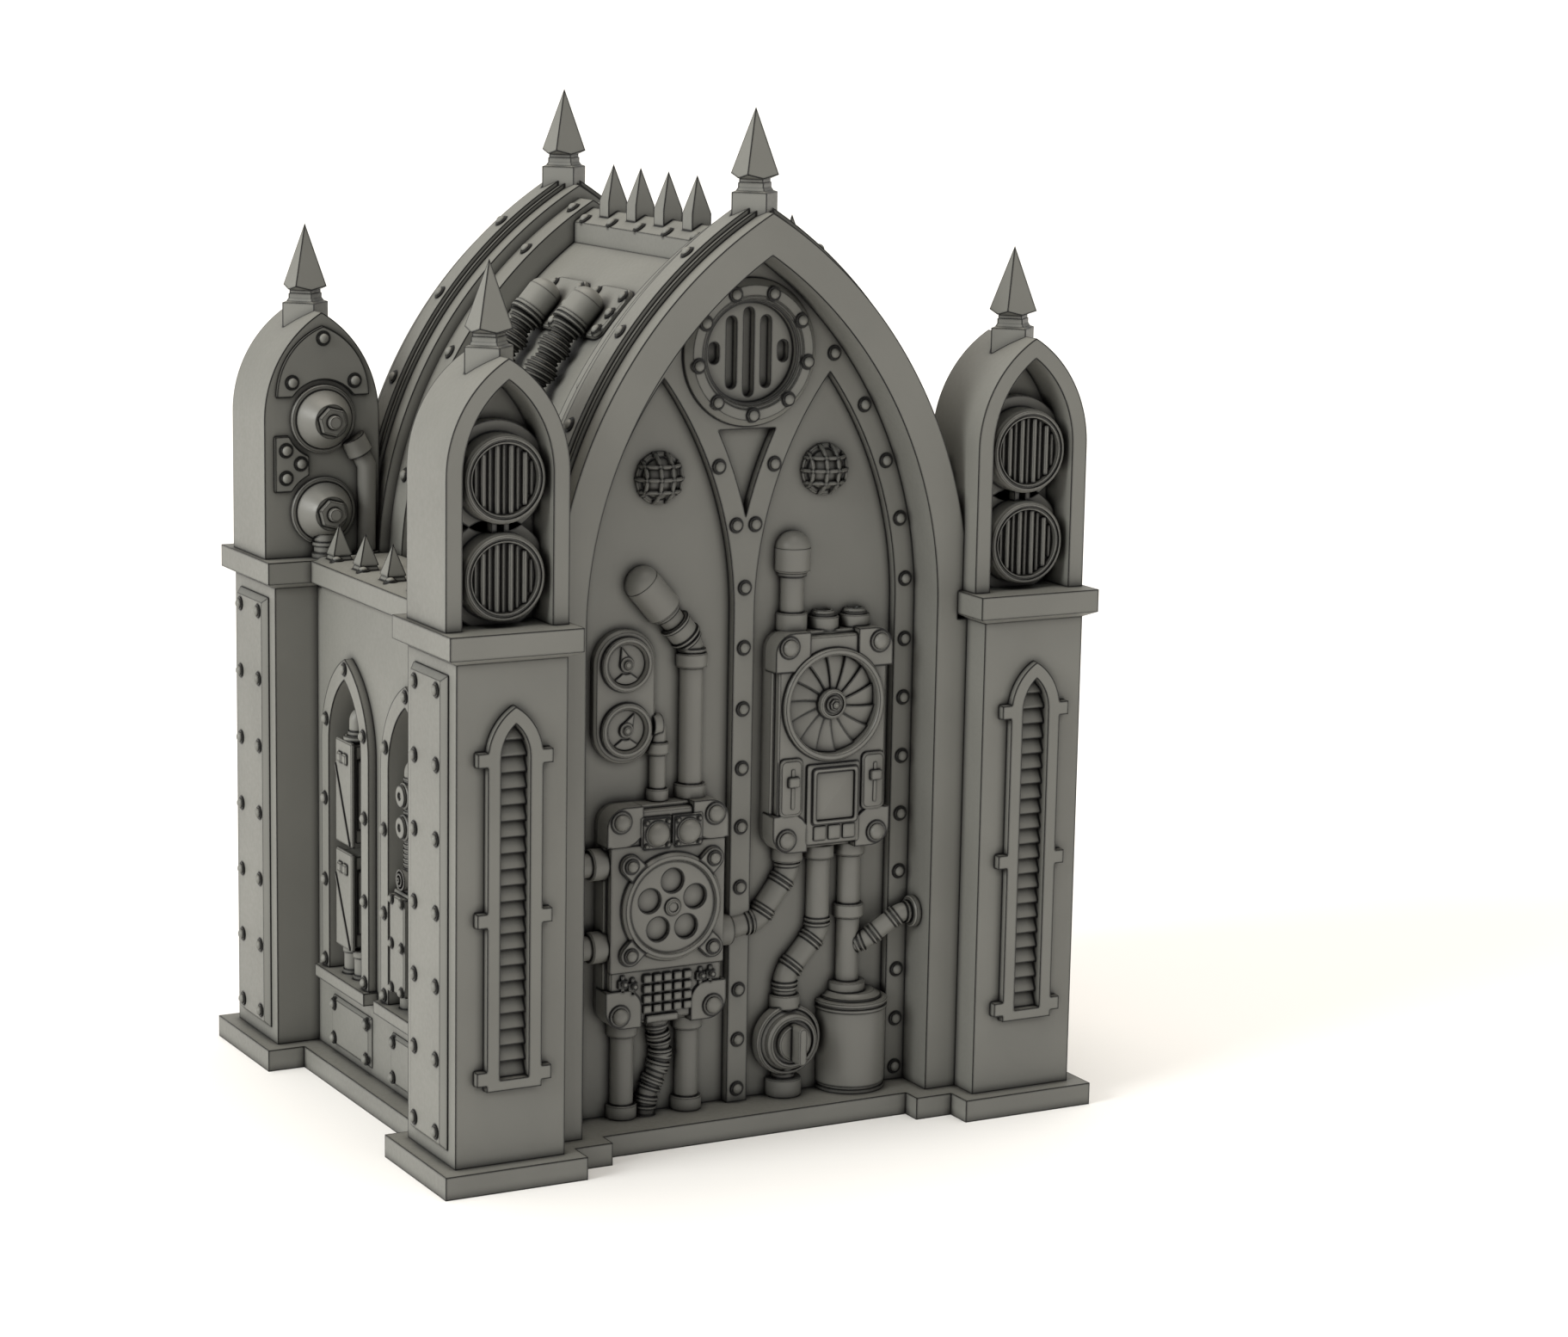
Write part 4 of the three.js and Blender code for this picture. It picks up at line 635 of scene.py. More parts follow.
# Finer forms of the pipes, gauges, valve, tank and lamps
COLLAR_LIP = 0.07
CAP_STEPS = 8
CAP_EDGE = 0.04
CAP_FOOT_LINE = [
    (PIPE_RADIUS, -0.4), (PIPE_RADIUS + 0.25, -0.4), (PIPE_RADIUS + 0.25, -0.1), (CAP_RADIUS - 0.1, 0),
    (CAP_RADIUS, 0.1),
]
JOINT_STEPS = [(-0.2, -0.13), (0.14, -0.13), (0.14, 0.13), (-0.2, 0.13)]
JOINT_GAP = 0.42
JOINT_GROWTH = 0.05
JOINT_SHRINK = 0.03
BEND_REACH = 0.75
BRANCH_BEND_REACH = 0.5
BEND_STEPS = 5
HORN_BEND = 0.9
HORN_BEND_STEPS = 3
HORN_JOINTS = [-0.5, 0.45]  # below the elbow, and beyond it
HORN_SLEEVE_START = 0.85
HORN_SLEEVE_LENGTH = 1.7
HORN_SLEEVE = COLLAR_RADIUS - 0.08
HORN_SLEEVE_RINGS = (0.06, 0.94)  # shares of the sleeve
CAP_PIPE_COLLAR = COLLAR_LENGTH + 0.35
# across, share of the drop
HOSE_SWAY = [(0.1, 0), (0.1, 0.07), (0.6, 0.35), (0.3, 0.53), (-0.9, 0.82), (-1, 1.1)]
HOSE_STEPS = 6
HOSE_SMOOTHINGS = 6
HOSE_RIB = HOSE_RADIUS + 0.06
HOSE_PAIR = 0.34
GAUGE_SWINGS = [62, 108]  # needles, in degrees from the right
GAUGE_BEVEL = 0.25
GAUGE_ROUND = 16
GAUGE_HOLE = GAUGE_RADIUS - GAUGE_RIM
GAUGE_RISE = GAUGE_PROUD - GAUGE_PLATE_PROUD
GAUGE_RIM_LINE = [
    (GAUGE_RADIUS, -SINK), (GAUGE_RADIUS, GAUGE_RISE - 0.1), (GAUGE_RADIUS - 0.12, GAUGE_RISE),
    (GAUGE_HOLE, GAUGE_RISE), (GAUGE_HOLE - 0.25, 0.06), (GAUGE_HOLE - 0.25, -SINK),
]
GAUGE_DIAL_LINE = [(GAUGE_HOLE - 0.2, -SINK), (GAUGE_HOLE - 0.2, 0.04)]
GAUGE_HUB_LINE = [(0.62, 0), (0.62, 0.3), (0.5, 0.38), (0.36, 0.38), (0.34, 0.5), (0.26, 0.58), (0, 0.58)]
# along the needle, and aside
GAUGE_NEEDLE = [(1.62, 0), (0.1, -0.62), (-0.45, -0.45), (-0.6, 0), (-0.45, 0.45), (0.1, 0.62)]
GAUGE_NEEDLE_PROUD = 0.22
GAUGE_SECTOR_OUTER = (GAUGE_HOLE - 0.28, -130, -50, 10)  # radius, from and to in degrees, steps
GAUGE_SECTOR_INNER = (0.85, -65, -115, 6)
GAUGE_SECTOR_PROUD = 0.2
FEED_BEND = 0.62
FEED_ELBOW_RADIUS = 0.95
FEED_ELBOW_SINK = 0.5
VALVE_BAR_CORNER = 0.36
VALVE_BAR_EDGE = 0.08
VALVE_BAR_BEVEL = 0.1
VALVE_FOOT_COLLAR = COLLAR_LENGTH + 0.4
VALVE_EDGES = [  # for each step, out from its radius and its height
    [(0, -0.15), (-0.15, 0), (-0.35, 0), (-0.4, -0.15)],
    [(0.12, -0.85), (0, -0.7), (0, -0.25), (-0.25, 0), (-0.5, 0), (-0.55, -0.2)],
    [(0, -0.6), (0, -0.1), (-0.12, 0)],
]
TANK_FOOT_RINGS = [(0, 0), (0, 0.35), (-0.12, 0.4), (-0.12, 0.62), (0, 0.68)]
TANK_TOP_RINGS = [
    (0, -TANK_BAND_HEIGHT), (TANK_BAND, -0.85), (TANK_BAND, -0.6), (0, -0.52), (0, -0.42),
    (TANK_BAND, -0.35), (TANK_BAND, -0.1), (0, 0),
]
TANK_LID_STEPS = [(0, 0), (0, 0.22), (-0.3, 0.3), (-0.5, TANK_LID - 0.1), (-0.62, TANK_LID)]
FLANGE_EDGE = 0.15
LAMP_CAGE = 0.32
LAMP_BAR = 0.17
LAMP_BAR_ROUND = 10
LAMP_STEPS = 12
LAMP_BAR_STEPS = 20
LAMP_EDGE = 0.1
LAMP_LEVELS = (-0.5, 0.0, 0.5)  # level bars, as shares of the cage's radius
LAMP_UPRIGHTS = (-0.75, -0.26, 0.26, 0.75)

# Finish: colours, and the ranges that its nodes map from
CAST_LIGHT = (0.172, 0.171, 0.155, 1)
# painted shade: the dark greys below are mixed into creases by ambient occlusion
CAST_CREASE_SHADE = (0.015, 0.014, 0.013, 1)
CAST_ROUGHNESS = 0.5
MACHINE_LIGHT = (0.165, 0.163, 0.148, 1)
MACHINE_CREASE_SHADE = (0.014, 0.013, 0.012, 1)
MACHINE_ROUGHNESS = 0.4
LINE_BLACK = (0.004, 0.004, 0.004, 1)
SPECULAR = 0.35
PATCH_SCALE = 90
PATCH_RANGE = (0.35, 0.65)
PATCH_SHADE = 0.9
# painted shade in creases: how far the ambient occlusion reaches, and the range that darkens
CREASE_SHADE_REACH = 0.9
CREASE_SHADE_RANGE = (0.35, 0.95)
EDGE_LINE = 0.32
EDGE_RANGE = (0.93, 0.985)
NODE_SAMPLES = 8
GRAIN_SCALE = 2600
GRAIN_RANGE = (0.3, 0.7)
GRAIN_SMOOTHER = 0.05
GRAIN_ROUGHER = 0.06
BUMP_STRENGTH = 0.12
BUMP_DEPTH = 0.02

# Camera and room
CAMERA_PLACE = (-151.35, -301.42, 101.76)
CAMERA_RIGHT = (0.87828, -0.47779, 0.01841)
CAMERA_UP = (0.07301, 0.17207, 0.98238)
CAMERA_BACK = (-0.47254, -0.86146, 0.18601)
CAMERA_LENS = 86.87
SENSOR = 36
CLIP_START = 0.01
CLIP_END = 100
FLOOR_HALF = 20000
FLOOR_GREY = (0.9, 0.9, 0.9, 1)
FLOOR_ROUGHNESS = 0.9
SKY_STRENGTH = 0.52
SUNS = {  # strength, spread in degrees, place and colour
    "key": (2.5, 30, (-380, -40, 200), (0.99, 1, 0.98)),
    "top": (2.2, 50, (0, 20, 400), (1, 0.92, 0.8)),
}


# Outlines in two coordinates
def arch_rise(half, radius):
    """Height of a pointed arch's tip over its springing"""
    return math.sqrt(radius ** 2 - (radius - half) ** 2)


def pointed(half, radius, spring, foot, middle=0.0, steps=ARC_STEPS):
    """A pointed arch over straight legs"""
    apex = math.acos((radius - half) / radius)
    angles = [apex * i / steps for i in range(steps + 1)]
    right = [(half - radius + radius * math.cos(a), spring + radius * math.sin(a)) for a in angles]
    left = [(-across, height) for across, height in reversed(right[:-1])]
    legs = [(-half, foot), (half, foot)]
    return [(middle + across, height) for across, height in legs + right + left]


def rib_line(offset, foot=PLINTH_HEIGHT, steps=2 * ARC_STEPS):
    """The rib's outline moved in or out, keeping its centres"""
    return pointed(RIB_HALF + offset, RIB_RADIUS + offset, ARCH_SPRING, foot, 0.0, steps)


def rib_apex(offset):
    return ARCH_SPRING + arch_rise(RIB_HALF + offset, RIB_RADIUS + offset)


def rectangle(middle_a, middle_b, half_a, half_b):
    left, right = middle_a - half_a, middle_a + half_a
    low, high = middle_b - half_b, middle_b + half_b
    return [(left, low), (right, low), (right, high), (left, high)]


def arc(middle_a, middle_b, radius, start, end, steps):
    """Points on an arc, its angles in degrees"""
    angles = [math.radians(start + (end - start) * i / steps) for i in range(steps + 1)]
    return [(middle_a + radius * math.cos(a), middle_b + radius * math.sin(a)) for a in angles]


def rounded(half_a, half_b, corner, middle_a, middle_b, steps=6):
    """A rectangle with rounded corners"""
    left, right = middle_a - half_a + corner, middle_a + half_a - corner
    low, high = middle_b - half_b + corner, middle_b + half_b - corner
    return (
        arc(right, low, corner, -90, 0, steps) + arc(right, high, corner, 0, 90, steps)
        + arc(left, high, corner, 90, 180, steps) + arc(left, low, corner, 180, 270, steps)
    )


def disc(radius, middle_a, middle_b, steps=ROUND, start=0):
    return arc(middle_a, middle_b, radius, start, start + 360, steps)[:-1]


def stepped(radius, height, steps):
    """Radii and heights from steps out and up, counted from a radius and a height"""
    return [(radius + out, height + up) for out, up in steps]


def dome_line(radius, foot, rise, steps):
    """Radii and heights of a dome, from its foot to its top"""
    angles = [math.radians(90 * i / steps) for i in range(steps + 1)]
    return [(radius * math.cos(a), foot + rise * math.sin(a)) for a in angles]


# Shapes: a list of points in millimetres and a list of faces
def loft(rings, around=False):
    """Rings of points joined in order; the ends are closed, or joined to each other"""
    count = len(rings[0])
    points = [tuple(point) for ring in rings for point in ring]
    faces = []
    for i in range(len(rings) if around else len(rings) - 1):
        start, after = i * count, (i + 1) % len(rings) * count
        for k in range(count):
            n = (k + 1) % count
            faces.append((start + k, start + n, after + n, after + k))
    if not around:
        last = (len(rings) - 1) * count
        faces.append(tuple(range(count))[::-1])
        faces.append(tuple(range(last, last + count)))
    return points, faces


def together(*shapes):
    """Several shapes as one, each keeping its own surface"""
    points, faces = [], []
    for more_points, more_faces in shapes:
        start = len(points)
        points += more_points
        faces += [tuple(start + index for index in face) for face in more_faces]
    return points, faces


def prism(outline, axis, start, end):
    """An outline stretched along an axis"""
    place = {
        "x": lambda a, b, depth: (depth, a, b),
        "y": lambda a, b, depth: (a, depth, b),
        "z": lambda a, b, depth: (a, b, depth),
    }[axis]
    return loft([[place(a, b, depth) for a, b in outline] for depth in (start, end)])


def bevelled(outline, inner, axis, start, shoulder, end):
    """An outline stretched along an axis, then drawn in to a smaller one"""
    place = {"x": lambda a, b, depth: (depth, a, b), "y": lambda a, b, depth: (a, depth, b)}[axis]
    stages = ((outline, start), (outline, shoulder), (inner, end))
    return loft([[place(a, b, depth) for a, b in shape] for shape, depth in stages])


def box(x0, x1, y0, y1, z0, z1):
    return prism([(x0, z0), (x1, z0), (x1, z1), (x0, z1)], "y", y0, y1)


def frame_of(direction):
    """A direction with two others square to it"""
    axis = Vector(direction).normalized()
    across = axis.orthogonal().normalized()
    return axis, across, axis.cross(across)


def turned(profile, start, direction, sides=ROUND, hollow=False, turn=0.0):
    """A turned shape from radii and heights along a direction; a hollow one is a ring"""
    axis, across, over = frame_of(direction)
    rings = []
    for radius, height in profile:
        centre = Vector(start) + axis * height
        angles = [turn + 2 * math.pi * k / sides for k in range(sides)]
        rings.append([centre + radius * (math.cos(a) * across + math.sin(a) * over) for a in angles])
    return loft(rings, hollow)


def rod(start, end, radius, sides=ROUND, end_radius=None):
    way = Vector(end) - Vector(start)
    last = radius if end_radius is None else end_radius
    return turned([(radius, 0), (last, way.length)], start, way, sides)


def tube(points, radii, sides=SMALL_ROUND):
    """A pipe through points, mitred at each bend, with one radius or one for each point"""
    stops = [Vector(point) for point in points]
    runs = [(after - stop).normalized() for stop, after in zip(stops, stops[1:])]
    if not isinstance(radii, list):
        radii = [radii] * len(stops)
    across = frame_of(runs[0])[1]
    rings = []
    for i, stop in enumerate(stops):
        before = runs[max(i - 1, 0)]
        mitre = (before + runs[min(i, len(runs) - 1)]).normalized()
        across = (across - before * across.dot(before)).normalized()
        over = before.cross(across)
        ring = []
        for k in range(sides):
            angle = 2 * math.pi * k / sides
            spoke = radii[i] * (math.cos(angle) * across + math.sin(angle) * over)
            ring.append(stop + spoke - before * (spoke.dot(mitre) / before.dot(mitre)))
        rings.append(ring)
    return loft(rings)


def filleted(points, reach, steps=6):
    """The points of a route with each bend rounded over a reach"""
    stops = [Vector(point) for point in points]
    route = [stops[0]]
    for before, corner, after in zip(stops, stops[1:], stops[2:]):
        start = corner + (before - corner).normalized() * reach
        end = corner + (after - corner).normalized() * reach
        for i in range(steps + 1):
            t = i / steps
            route.append(start * (1 - t) ** 2 + corner * 2 * t * (1 - t) + end * t ** 2)
    return route + [stops[-1]]


def rivet(place, direction, radius=RIVET):
    """A domed rivet on its washer"""
    washer = radius * RIVET_WASHER / RIVET
    profile = [(0, -SINK), (washer, -SINK), (washer, RIVET_RISE)]
    profile += dome_line(radius, RIVET_RISE, RIVET_DOME * radius, 5)
    return turned(profile, place, direction, RIVET_ROUND)


def rivets(places, direction, radius=RIVET):
    return together(*[rivet(place, direction, radius) for place in places])


def edged_box(side, middle, height, half, rise, back, face, bevel, drop=None):
    """A box standing out along X, its face's edges bevelled over a drop"""
    shoulder = face - (bevel if drop is None else drop)
    return bevelled(
        rectangle(middle, height, half, rise), rectangle(middle, height, half - bevel, rise - bevel),
        "x", side * back, side * shoulder, side * face,
    )


def bevelled_plate(face, side, middle, half, foot, top, proud):
    """A plate with bevelled edges, standing proud of a wall along X"""
    height, rise = (foot + top) / 2, (top - foot) / 2
    return edged_box(side, middle, height, half, rise, face - SINK, face + proud, PLATE_BEVEL * proud)


# Meshes and booleans
def clean_mesh(name, shape, scale=1.0):
    points, faces = shape
    mesh = bpy.data.meshes.new(name)
    mesh.from_pydata([tuple(scale * value for value in point) for point in points], [], faces)
    work = bmesh.new()
    work.from_mesh(mesh)
    bmesh.ops.remove_doubles(work, verts=work.verts, dist=WELD * scale)
    bmesh.ops.recalc_face_normals(work, faces=work.faces)
    work.to_mesh(mesh)
    work.free()
    return mesh


def combined(base, *steps):
    """The base with each step's shape joined to it, cut from it or kept in common with it"""
    collection = bpy.context.scene.collection
    whole = bpy.data.objects.new("whole", clean_mesh("whole", base))
    collection.objects.link(whole)
    operands = []
    for action, shape in steps:
        operand = bpy.data.objects.new("operand", clean_mesh("operand", shape))
        collection.objects.link(operand)
        modifier = whole.modifiers.new("step", "BOOLEAN")
        modifier.operation = action
        modifier.solver = "MANIFOLD"
        modifier.object = operand
        operands.append(operand)
    graph = bpy.context.evaluated_depsgraph_get()
    result = bpy.data.meshes.new_from_object(whole.evaluated_get(graph))
    points = [tuple(vertex.co) for vertex in result.vertices]
    faces = [tuple(polygon.vertices) for polygon in result.polygons]
    for thing in [whole] + operands:
        mesh = thing.data
        bpy.data.objects.remove(thing)
        bpy.data.meshes.remove(mesh)
    bpy.data.meshes.remove(result)
    return points, faces


def add(*shapes):
    return [("UNION", shape) for shape in shapes]


def cut(*shapes):
    return [("DIFFERENCE", shape) for shape in shapes]


def keep(*shapes):
    return [("INTERSECT", shape) for shape in shapes]


def piece(name, shape, slot, *nodes):
    """A finished piece in metres: smooth faces, hard edges kept, its material, body and node"""
    mesh = clean_mesh(name, shape, MM)
    work = bmesh.new()
    work.from_mesh(mesh)
    for face in work.faces:
        face.smooth = True
    for edge in work.edges:
        edge.smooth = len(edge.link_faces) == 2 and edge.calc_face_angle(0.0) < SHARP_ANGLE
    work.to_mesh(mesh)
    work.free()
    mesh.materials.append(materials[slot])
    thing = bpy.data.objects.new(name, mesh)
    bpy.context.scene.collection.objects.link(thing)
    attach(thing, "root")
    if nodes:
        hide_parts(*nodes)
    return thing


def corners():
    return [(-1, -1), (1, -1), (-1, 1), (1, 1)]


# Piers
def pier(sx, sy):
    """Shaft with its cornice, riveted plate outside, framed lancet on the end face"""
    x, y = sx * PIER_X, sy * PIER_Y
    shaft, cornice = SHAFT_WIDTH / 2, CORNICE_WIDTH / 2
    levels = ((shaft, PLINTH_HEIGHT), (shaft, SHAFT_TOP), (cornice, CORNICE_FOOT), (cornice, CORNICE_TOP))
    column = loft([[(a, b, z) for a, b in rectangle(x, y, half, half)] for half, z in levels])
    outer = PIER_X + shaft
    plate_foot, plate_top = PLINTH_HEIGHT + PLATE_LIFT, SHAFT_TOP - PLATE_DROP
    plate = bevelled_plate(outer, sx, y, PLATE_HALF, plate_foot, plate_top, PLATE_PROUD)
    pitch = (plate_top - plate_foot - 2 * PLATE_RIVET_INSET) / (PLATE_RIVET_ROWS - 1)
    places = [
        (sx * (outer + PLATE_PROUD), y + side * PLATE_RIVET_OUT, plate_foot + PLATE_RIVET_INSET + i * pitch)
        for i in range(PLATE_RIVET_ROWS) for side in (-1, 1)
    ]
    face = PIER_Y + shaft
    outside, back = sy * (face + LOUVRE_PROUD), sy * (face - LOUVRE_DEPTH)
    radius = 2 * LOUVRE_HALF
    spring = LOUVRE_APEX - arch_rise(LOUVRE_HALF, radius)
    frame_outline = pointed(LOUVRE_HALF, radius, spring, LOUVRE_FOOT, x)

    def opening(sunk):
        return pointed(
            LOUVRE_HALF - LOUVRE_BAR + sunk, radius - LOUVRE_BAR + sunk, spring,
            LOUVRE_FOOT + LOUVRE_SILL - sunk, x,
        )

    low_lug = LOUVRE_FOOT + LUG_LIFT
    lugs = [
        box(
            x - LOUVRE_HALF - LUG_REACH, x + LOUVRE_HALF + LUG_REACH, back, outside,
            z - LUG_HEIGHT / 2, z + LUG_HEIGHT / 2,
        )
        for z in (low_lug, (low_lug + spring) / 2, spring)
    ]
    framed = combined(
        column, *add(plate, prism(frame_outline, "y", back, outside), *lugs),
        *cut(prism(opening(0), "y", back, outside + sy)),
    )
    parts = [framed, rivets(places, (sx, 0, 0))]
    if sy < 0:
        room = prism(opening(SINK), "y", sy * (face - 2 * LOUVRE_DEPTH), outside)
        parts.append(combined(louvres(x, sy, face), *keep(room)))
    return together(*parts)


def louvres(x, sy, face):
    """A bank of slats, each with a lip and sloping down and out"""
    back = sy * (face - LOUVRE_BACK)
    low = LOUVRE_FOOT + LOUVRE_SILL
    teeth = [(back, low)]
    count = int((LOUVRE_APEX - LOUVRE_PITCH - low) / LOUVRE_PITCH) + 1
    for i in range(count):
        z = low + i * LOUVRE_PITCH
        teeth += [
            (sy * (face - FIT), z), (sy * (face - FIT), z + LOUVRE_LIP),
            (sy * (face - LOUVRE_DEPTH + FIT), z + LOUVRE_PITCH),
        ]
    teeth.append((back, low + count * LOUVRE_PITCH))
    half = LOUVRE_HALF - LOUVRE_BAR / 2
    return prism(teeth, "x", x - half, x + half)


# Pinnacles and what is fixed to them
def pinnacle_outline(x, inset, foot):
    return pointed(PINNACLE_HALF - inset, PINNACLE_WIDTH - inset, PINNACLE_SPRING, foot, x)


def pinnacle_tip():
    return PINNACLE_SPRING + arch_rise(PINNACLE_HALF, PINNACLE_WIDTH) + FINIAL_STAND


def gable_tip():
    return rib_apex(BAND_RISE) + FINIAL_STAND


def finial_gable_y():
    return (RIB_FRONT + RIB_BACK) / 2


def finial_socket(x, y, tip):
    """The square hole, turned 45 degrees, that takes a finial's block"""
    half = FINIAL_BLOCK_HALF + SOCKET_GAP
    outline = [(x + half, y), (x, y + half), (x - half, y), (x, y - half)]
    return prism(outline, "z", tip - FINIAL_HEIGHT, tip)


def pinnacle(sx, sy):
    """Arch block with a niche outside and riveted plates inside"""
    x, y = sx * PIER_X, sy * PIER_Y
    block = prism(pinnacle_outline(x, 0, CORNICE_TOP), "y", y - PINNACLE_FACE, y + PINNACLE_FACE)
    niche_line = pinnacle_outline(x, NICHE_INSET, CORNICE_TOP - PAST)
    niche = prism(niche_line, "y", y, y + sy * (PINNACLE_FACE + PAST))
    inner = sy * (PIER_Y - PINNACLE_FACE)
    raised, sunk = inner - sy * CROWN_PLATE_PROUD, inner + sy * CROWN_PLATE_PROUD
    crown_foot = PINNACLE_SPRING + CROWN_PLATE_LIFT
    crown_radius = (CROWN_PLATE_HALF ** 2 + CROWN_PLATE_HEIGHT ** 2) / (2 * CROWN_PLATE_HALF)
    crown_line = pointed(CROWN_PLATE_HALF, crown_radius, crown_foot, crown_foot - CROWN_LEGS, x)
    side_foot = CORNICE_TOP + SIDE_PLATE_LIFT
    side_middle = side_foot + SIDE_PLATE_HEIGHT / 2
    edge = x + sx * SIDE_PLATE_EDGE
    side = box(edge, edge - sx * SIDE_PLATE_REACH, sunk, raised, side_foot, side_foot + SIDE_PLATE_HEIGHT)
    sweeps = [
        prism(disc(KNOB_RADIUS + CROWN_SWEEP, x, z), "y", sunk + sy, raised - sy) for z in KNOB_HEIGHTS
    ]
    plates = combined(prism(crown_line, "y", sunk, raised), *add(side), *cut(*sweeps))
    body = combined(block, *cut(niche), *add(plates), *cut(finial_socket(x, y, pinnacle_tip())))
    places = [(x + across, raised, crown_foot + up) for across, up in CROWN_RIVETS]
    places += [(edge - sx * inset, raised, side_middle + up) for inset, up in SIDE_PLATE_RIVETS]
    return together(body, rivets(places, (0, -sy, 0)))


def clipped_disc(radius, x, z, room):
    """A round outline cut off at both sides"""
    return [(max(x - room, min(x + room, a)), b) for a, b in disc(radius, x, z)]


def vents(sx):
    """Two round grilles over each other in a front pinnacle's niche"""
    x, back = sx * PIER_X, -(PIER_Y + FIT)
    face = PIER_Y + PINNACLE_FACE - VENT_FRONT_INSET
    deep = face - VENT_DISH
    inner = VENT_RADIUS - VENT_RIM
    room = PINNACLE_HALF - NICHE_INSET - FIT
    low = CORNICE_TOP + VENT_LIFT + VENT_RADIUS
    rise, floor = face - PIER_Y, deep - PIER_Y
    profile = [(0, 0), (VENT_RADIUS, 0)] + stepped(VENT_RADIUS, rise, VENT_EDGE)
    profile += [(inner, rise - VENT_LIP), (inner - VENT_LIP / 2, floor), (0, floor)]
    parts = []
    for z in (low, low + VENT_PITCH):
        parts.append(turned(profile, (x, -PIER_Y, z), FORWARD))
        flange = clipped_disc(VENT_FLANGE, x, z, room)
        parts.append(prism(flange, "y", back, -(PIER_Y + VENT_FLANGE_DEPTH)))
        count = VENT_SLATS // 2
        for i in range(-count, count + 1):
            width, inset = VENT_SLAT_KINDS[i % 2]
            across, half, top = i * VENT_SLAT_PITCH, VENT_SLAT_HALF * width, face - inset
            reach = math.sqrt((inner - VENT_LIP) ** 2 - across ** 2)
            outline = rectangle(x + across, z, half, reach)
            crest = rectangle(x + across, z, half * VENT_SLAT_CREST, reach)
            parts.append(bevelled(outline, crest, "y", -(deep - SINK), -(top - VENT_SLAT_BEVEL), -top))
    for offset in (-VENT_BAR_PITCH / 2, VENT_BAR_PITCH / 2):
        parts.append(box(
            x + offset - VENT_BAR / 2, x + offset + VENT_BAR / 2,
            back, -(PIER_Y + PINNACLE_FACE - VENT_BAR_INSET), low, low + VENT_PITCH,
        ))
    return together(*parts)


def insulator(sx, sy, z):
    """Rim, bowed cone, hex nut and stud"""
    start = (sx * PIER_X, sy * (PIER_Y - PINNACLE_FACE - FIT), z)
    out = (0, -sy, 0)
    nut_top = KNOB_LENGTH + NUT_HEIGHT
    stud_top = nut_top + STUD_HEIGHT
    cone_foot = KNOB_RIM + CONE_LIFT
    cone = [(KNOB_CONE, KNOB_RIM / 2), (KNOB_CONE, cone_foot)]
    for i in range(CONE_STEPS + 1):
        share = i / CONE_STEPS
        radius = KNOB_CONE + (KNOB_NECK - KNOB_CONE) * share + CONE_BOW * math.sin(math.pi * share)
        cone.append((radius, cone_foot + (KNOB_LENGTH - cone_foot) * share))
    rim = [(KNOB_RADIUS, 0), (KNOB_RADIUS, KNOB_RIM - KNOB_EDGE), (KNOB_RADIUS - KNOB_EDGE, KNOB_RIM)]
    nut = [(NUT_RADIUS, KNOB_RIM), (NUT_RADIUS, nut_top - NUT_SHOULDER), (NUT_RADIUS - NUT_EDGE, nut_top)]
    stud = [(STUD_RADIUS, KNOB_LENGTH), (STUD_RADIUS, stud_top - NUT_EDGE)]
    stud.append((STUD_RADIUS - NUT_EDGE, stud_top))
    return together(
        turned(rim, start, out), turned(cone, start, out), turned(nut, start, out, 6),
        turned(stud, start, out, SMALL_ROUND),
    )


def conduit(sx, sy):
    """Conduit from the upper insulator down to the cornice"""
    y = sy * (PIER_Y - PINNACLE_FACE - CONDUIT_OUT)
    x = sx * (PIER_X - CONDUIT_OFFSET)
    elbow = KNOB_HEIGHTS[1] - CONDUIT_DROP

    def up(share):
        return (x + sx * CONDUIT_RUN * share, y, elbow + share * CONDUIT_DROP)

    clear = prism(disc(KNOB_RADIUS + FIT, sx * PIER_X, KNOB_HEIGHTS[0]), "y", sy, sy * PIER_Y)
    foot = (x, y, CORNICE_TOP)
    sleeve_share = CONDUIT_SLEEVE_LENGTH / CONDUIT_DROP
    return together(
        combined(tube([up(CONDUIT_TOP), up(0), foot], CONDUIT_RADIUS, PIPE_ROUND), *cut(clear)),
        rod(up(CONDUIT_TOP - sleeve_share), up(CONDUIT_TOP), CONDUIT_SLEEVE),
        rod(foot, (x, y, CORNICE_TOP + CONDUIT_FOOT_HEIGHT), CONDUIT_SLEEVE + CONDUIT_FOOT_GROWTH),
    )


def insulator_set(sx, upper):
    """The upper insulator with its conduit, or the lower one with its stub"""
    low, high = KNOB_HEIGHTS
    inner = PIER_Y - PINNACLE_FACE - FIT
    room = box(-FAR, FAR, inner - INNER_ROOM, inner, CORNICE_TOP, FAR)
    if upper:
        return together(insulator(sx, 1, high), combined(conduit(sx, 1), *keep(room)))
    profile = stepped(STUB_RADIUS, 0, STUB_RINGS) + [(STUB_RADIUS, low - STUB_DROP - CORNICE_TOP)]
    stub = turned(profile, (sx * PIER_X, inner - STUB_OUT, CORNICE_TOP), UP, PIPE_ROUND)
    return together(insulator(sx, 1, low), combined(stub, *keep(room)))


# Gables
def pier_room():
    """The space that the four piers and pinnacles take out of the gables"""
    rooms = []
    for sx, sy in corners():
        for half_x, half_y, z0, z1 in (
            (CORNICE_WIDTH / 2, CORNICE_WIDTH / 2, SHAFT_TOP, CORNICE_TOP),
            (PINNACLE_HALF, PINNACLE_FACE, CORNICE_TOP, pinnacle_tip()),
        ):
            rooms.append(box(
                sx * PIER_X - half_x - FIT, sx * PIER_X + half_x + FIT,
                sy * PIER_Y - half_y - FIT, sy * PIER_Y + half_y + FIT, z0, z1,
            ))
    return rooms


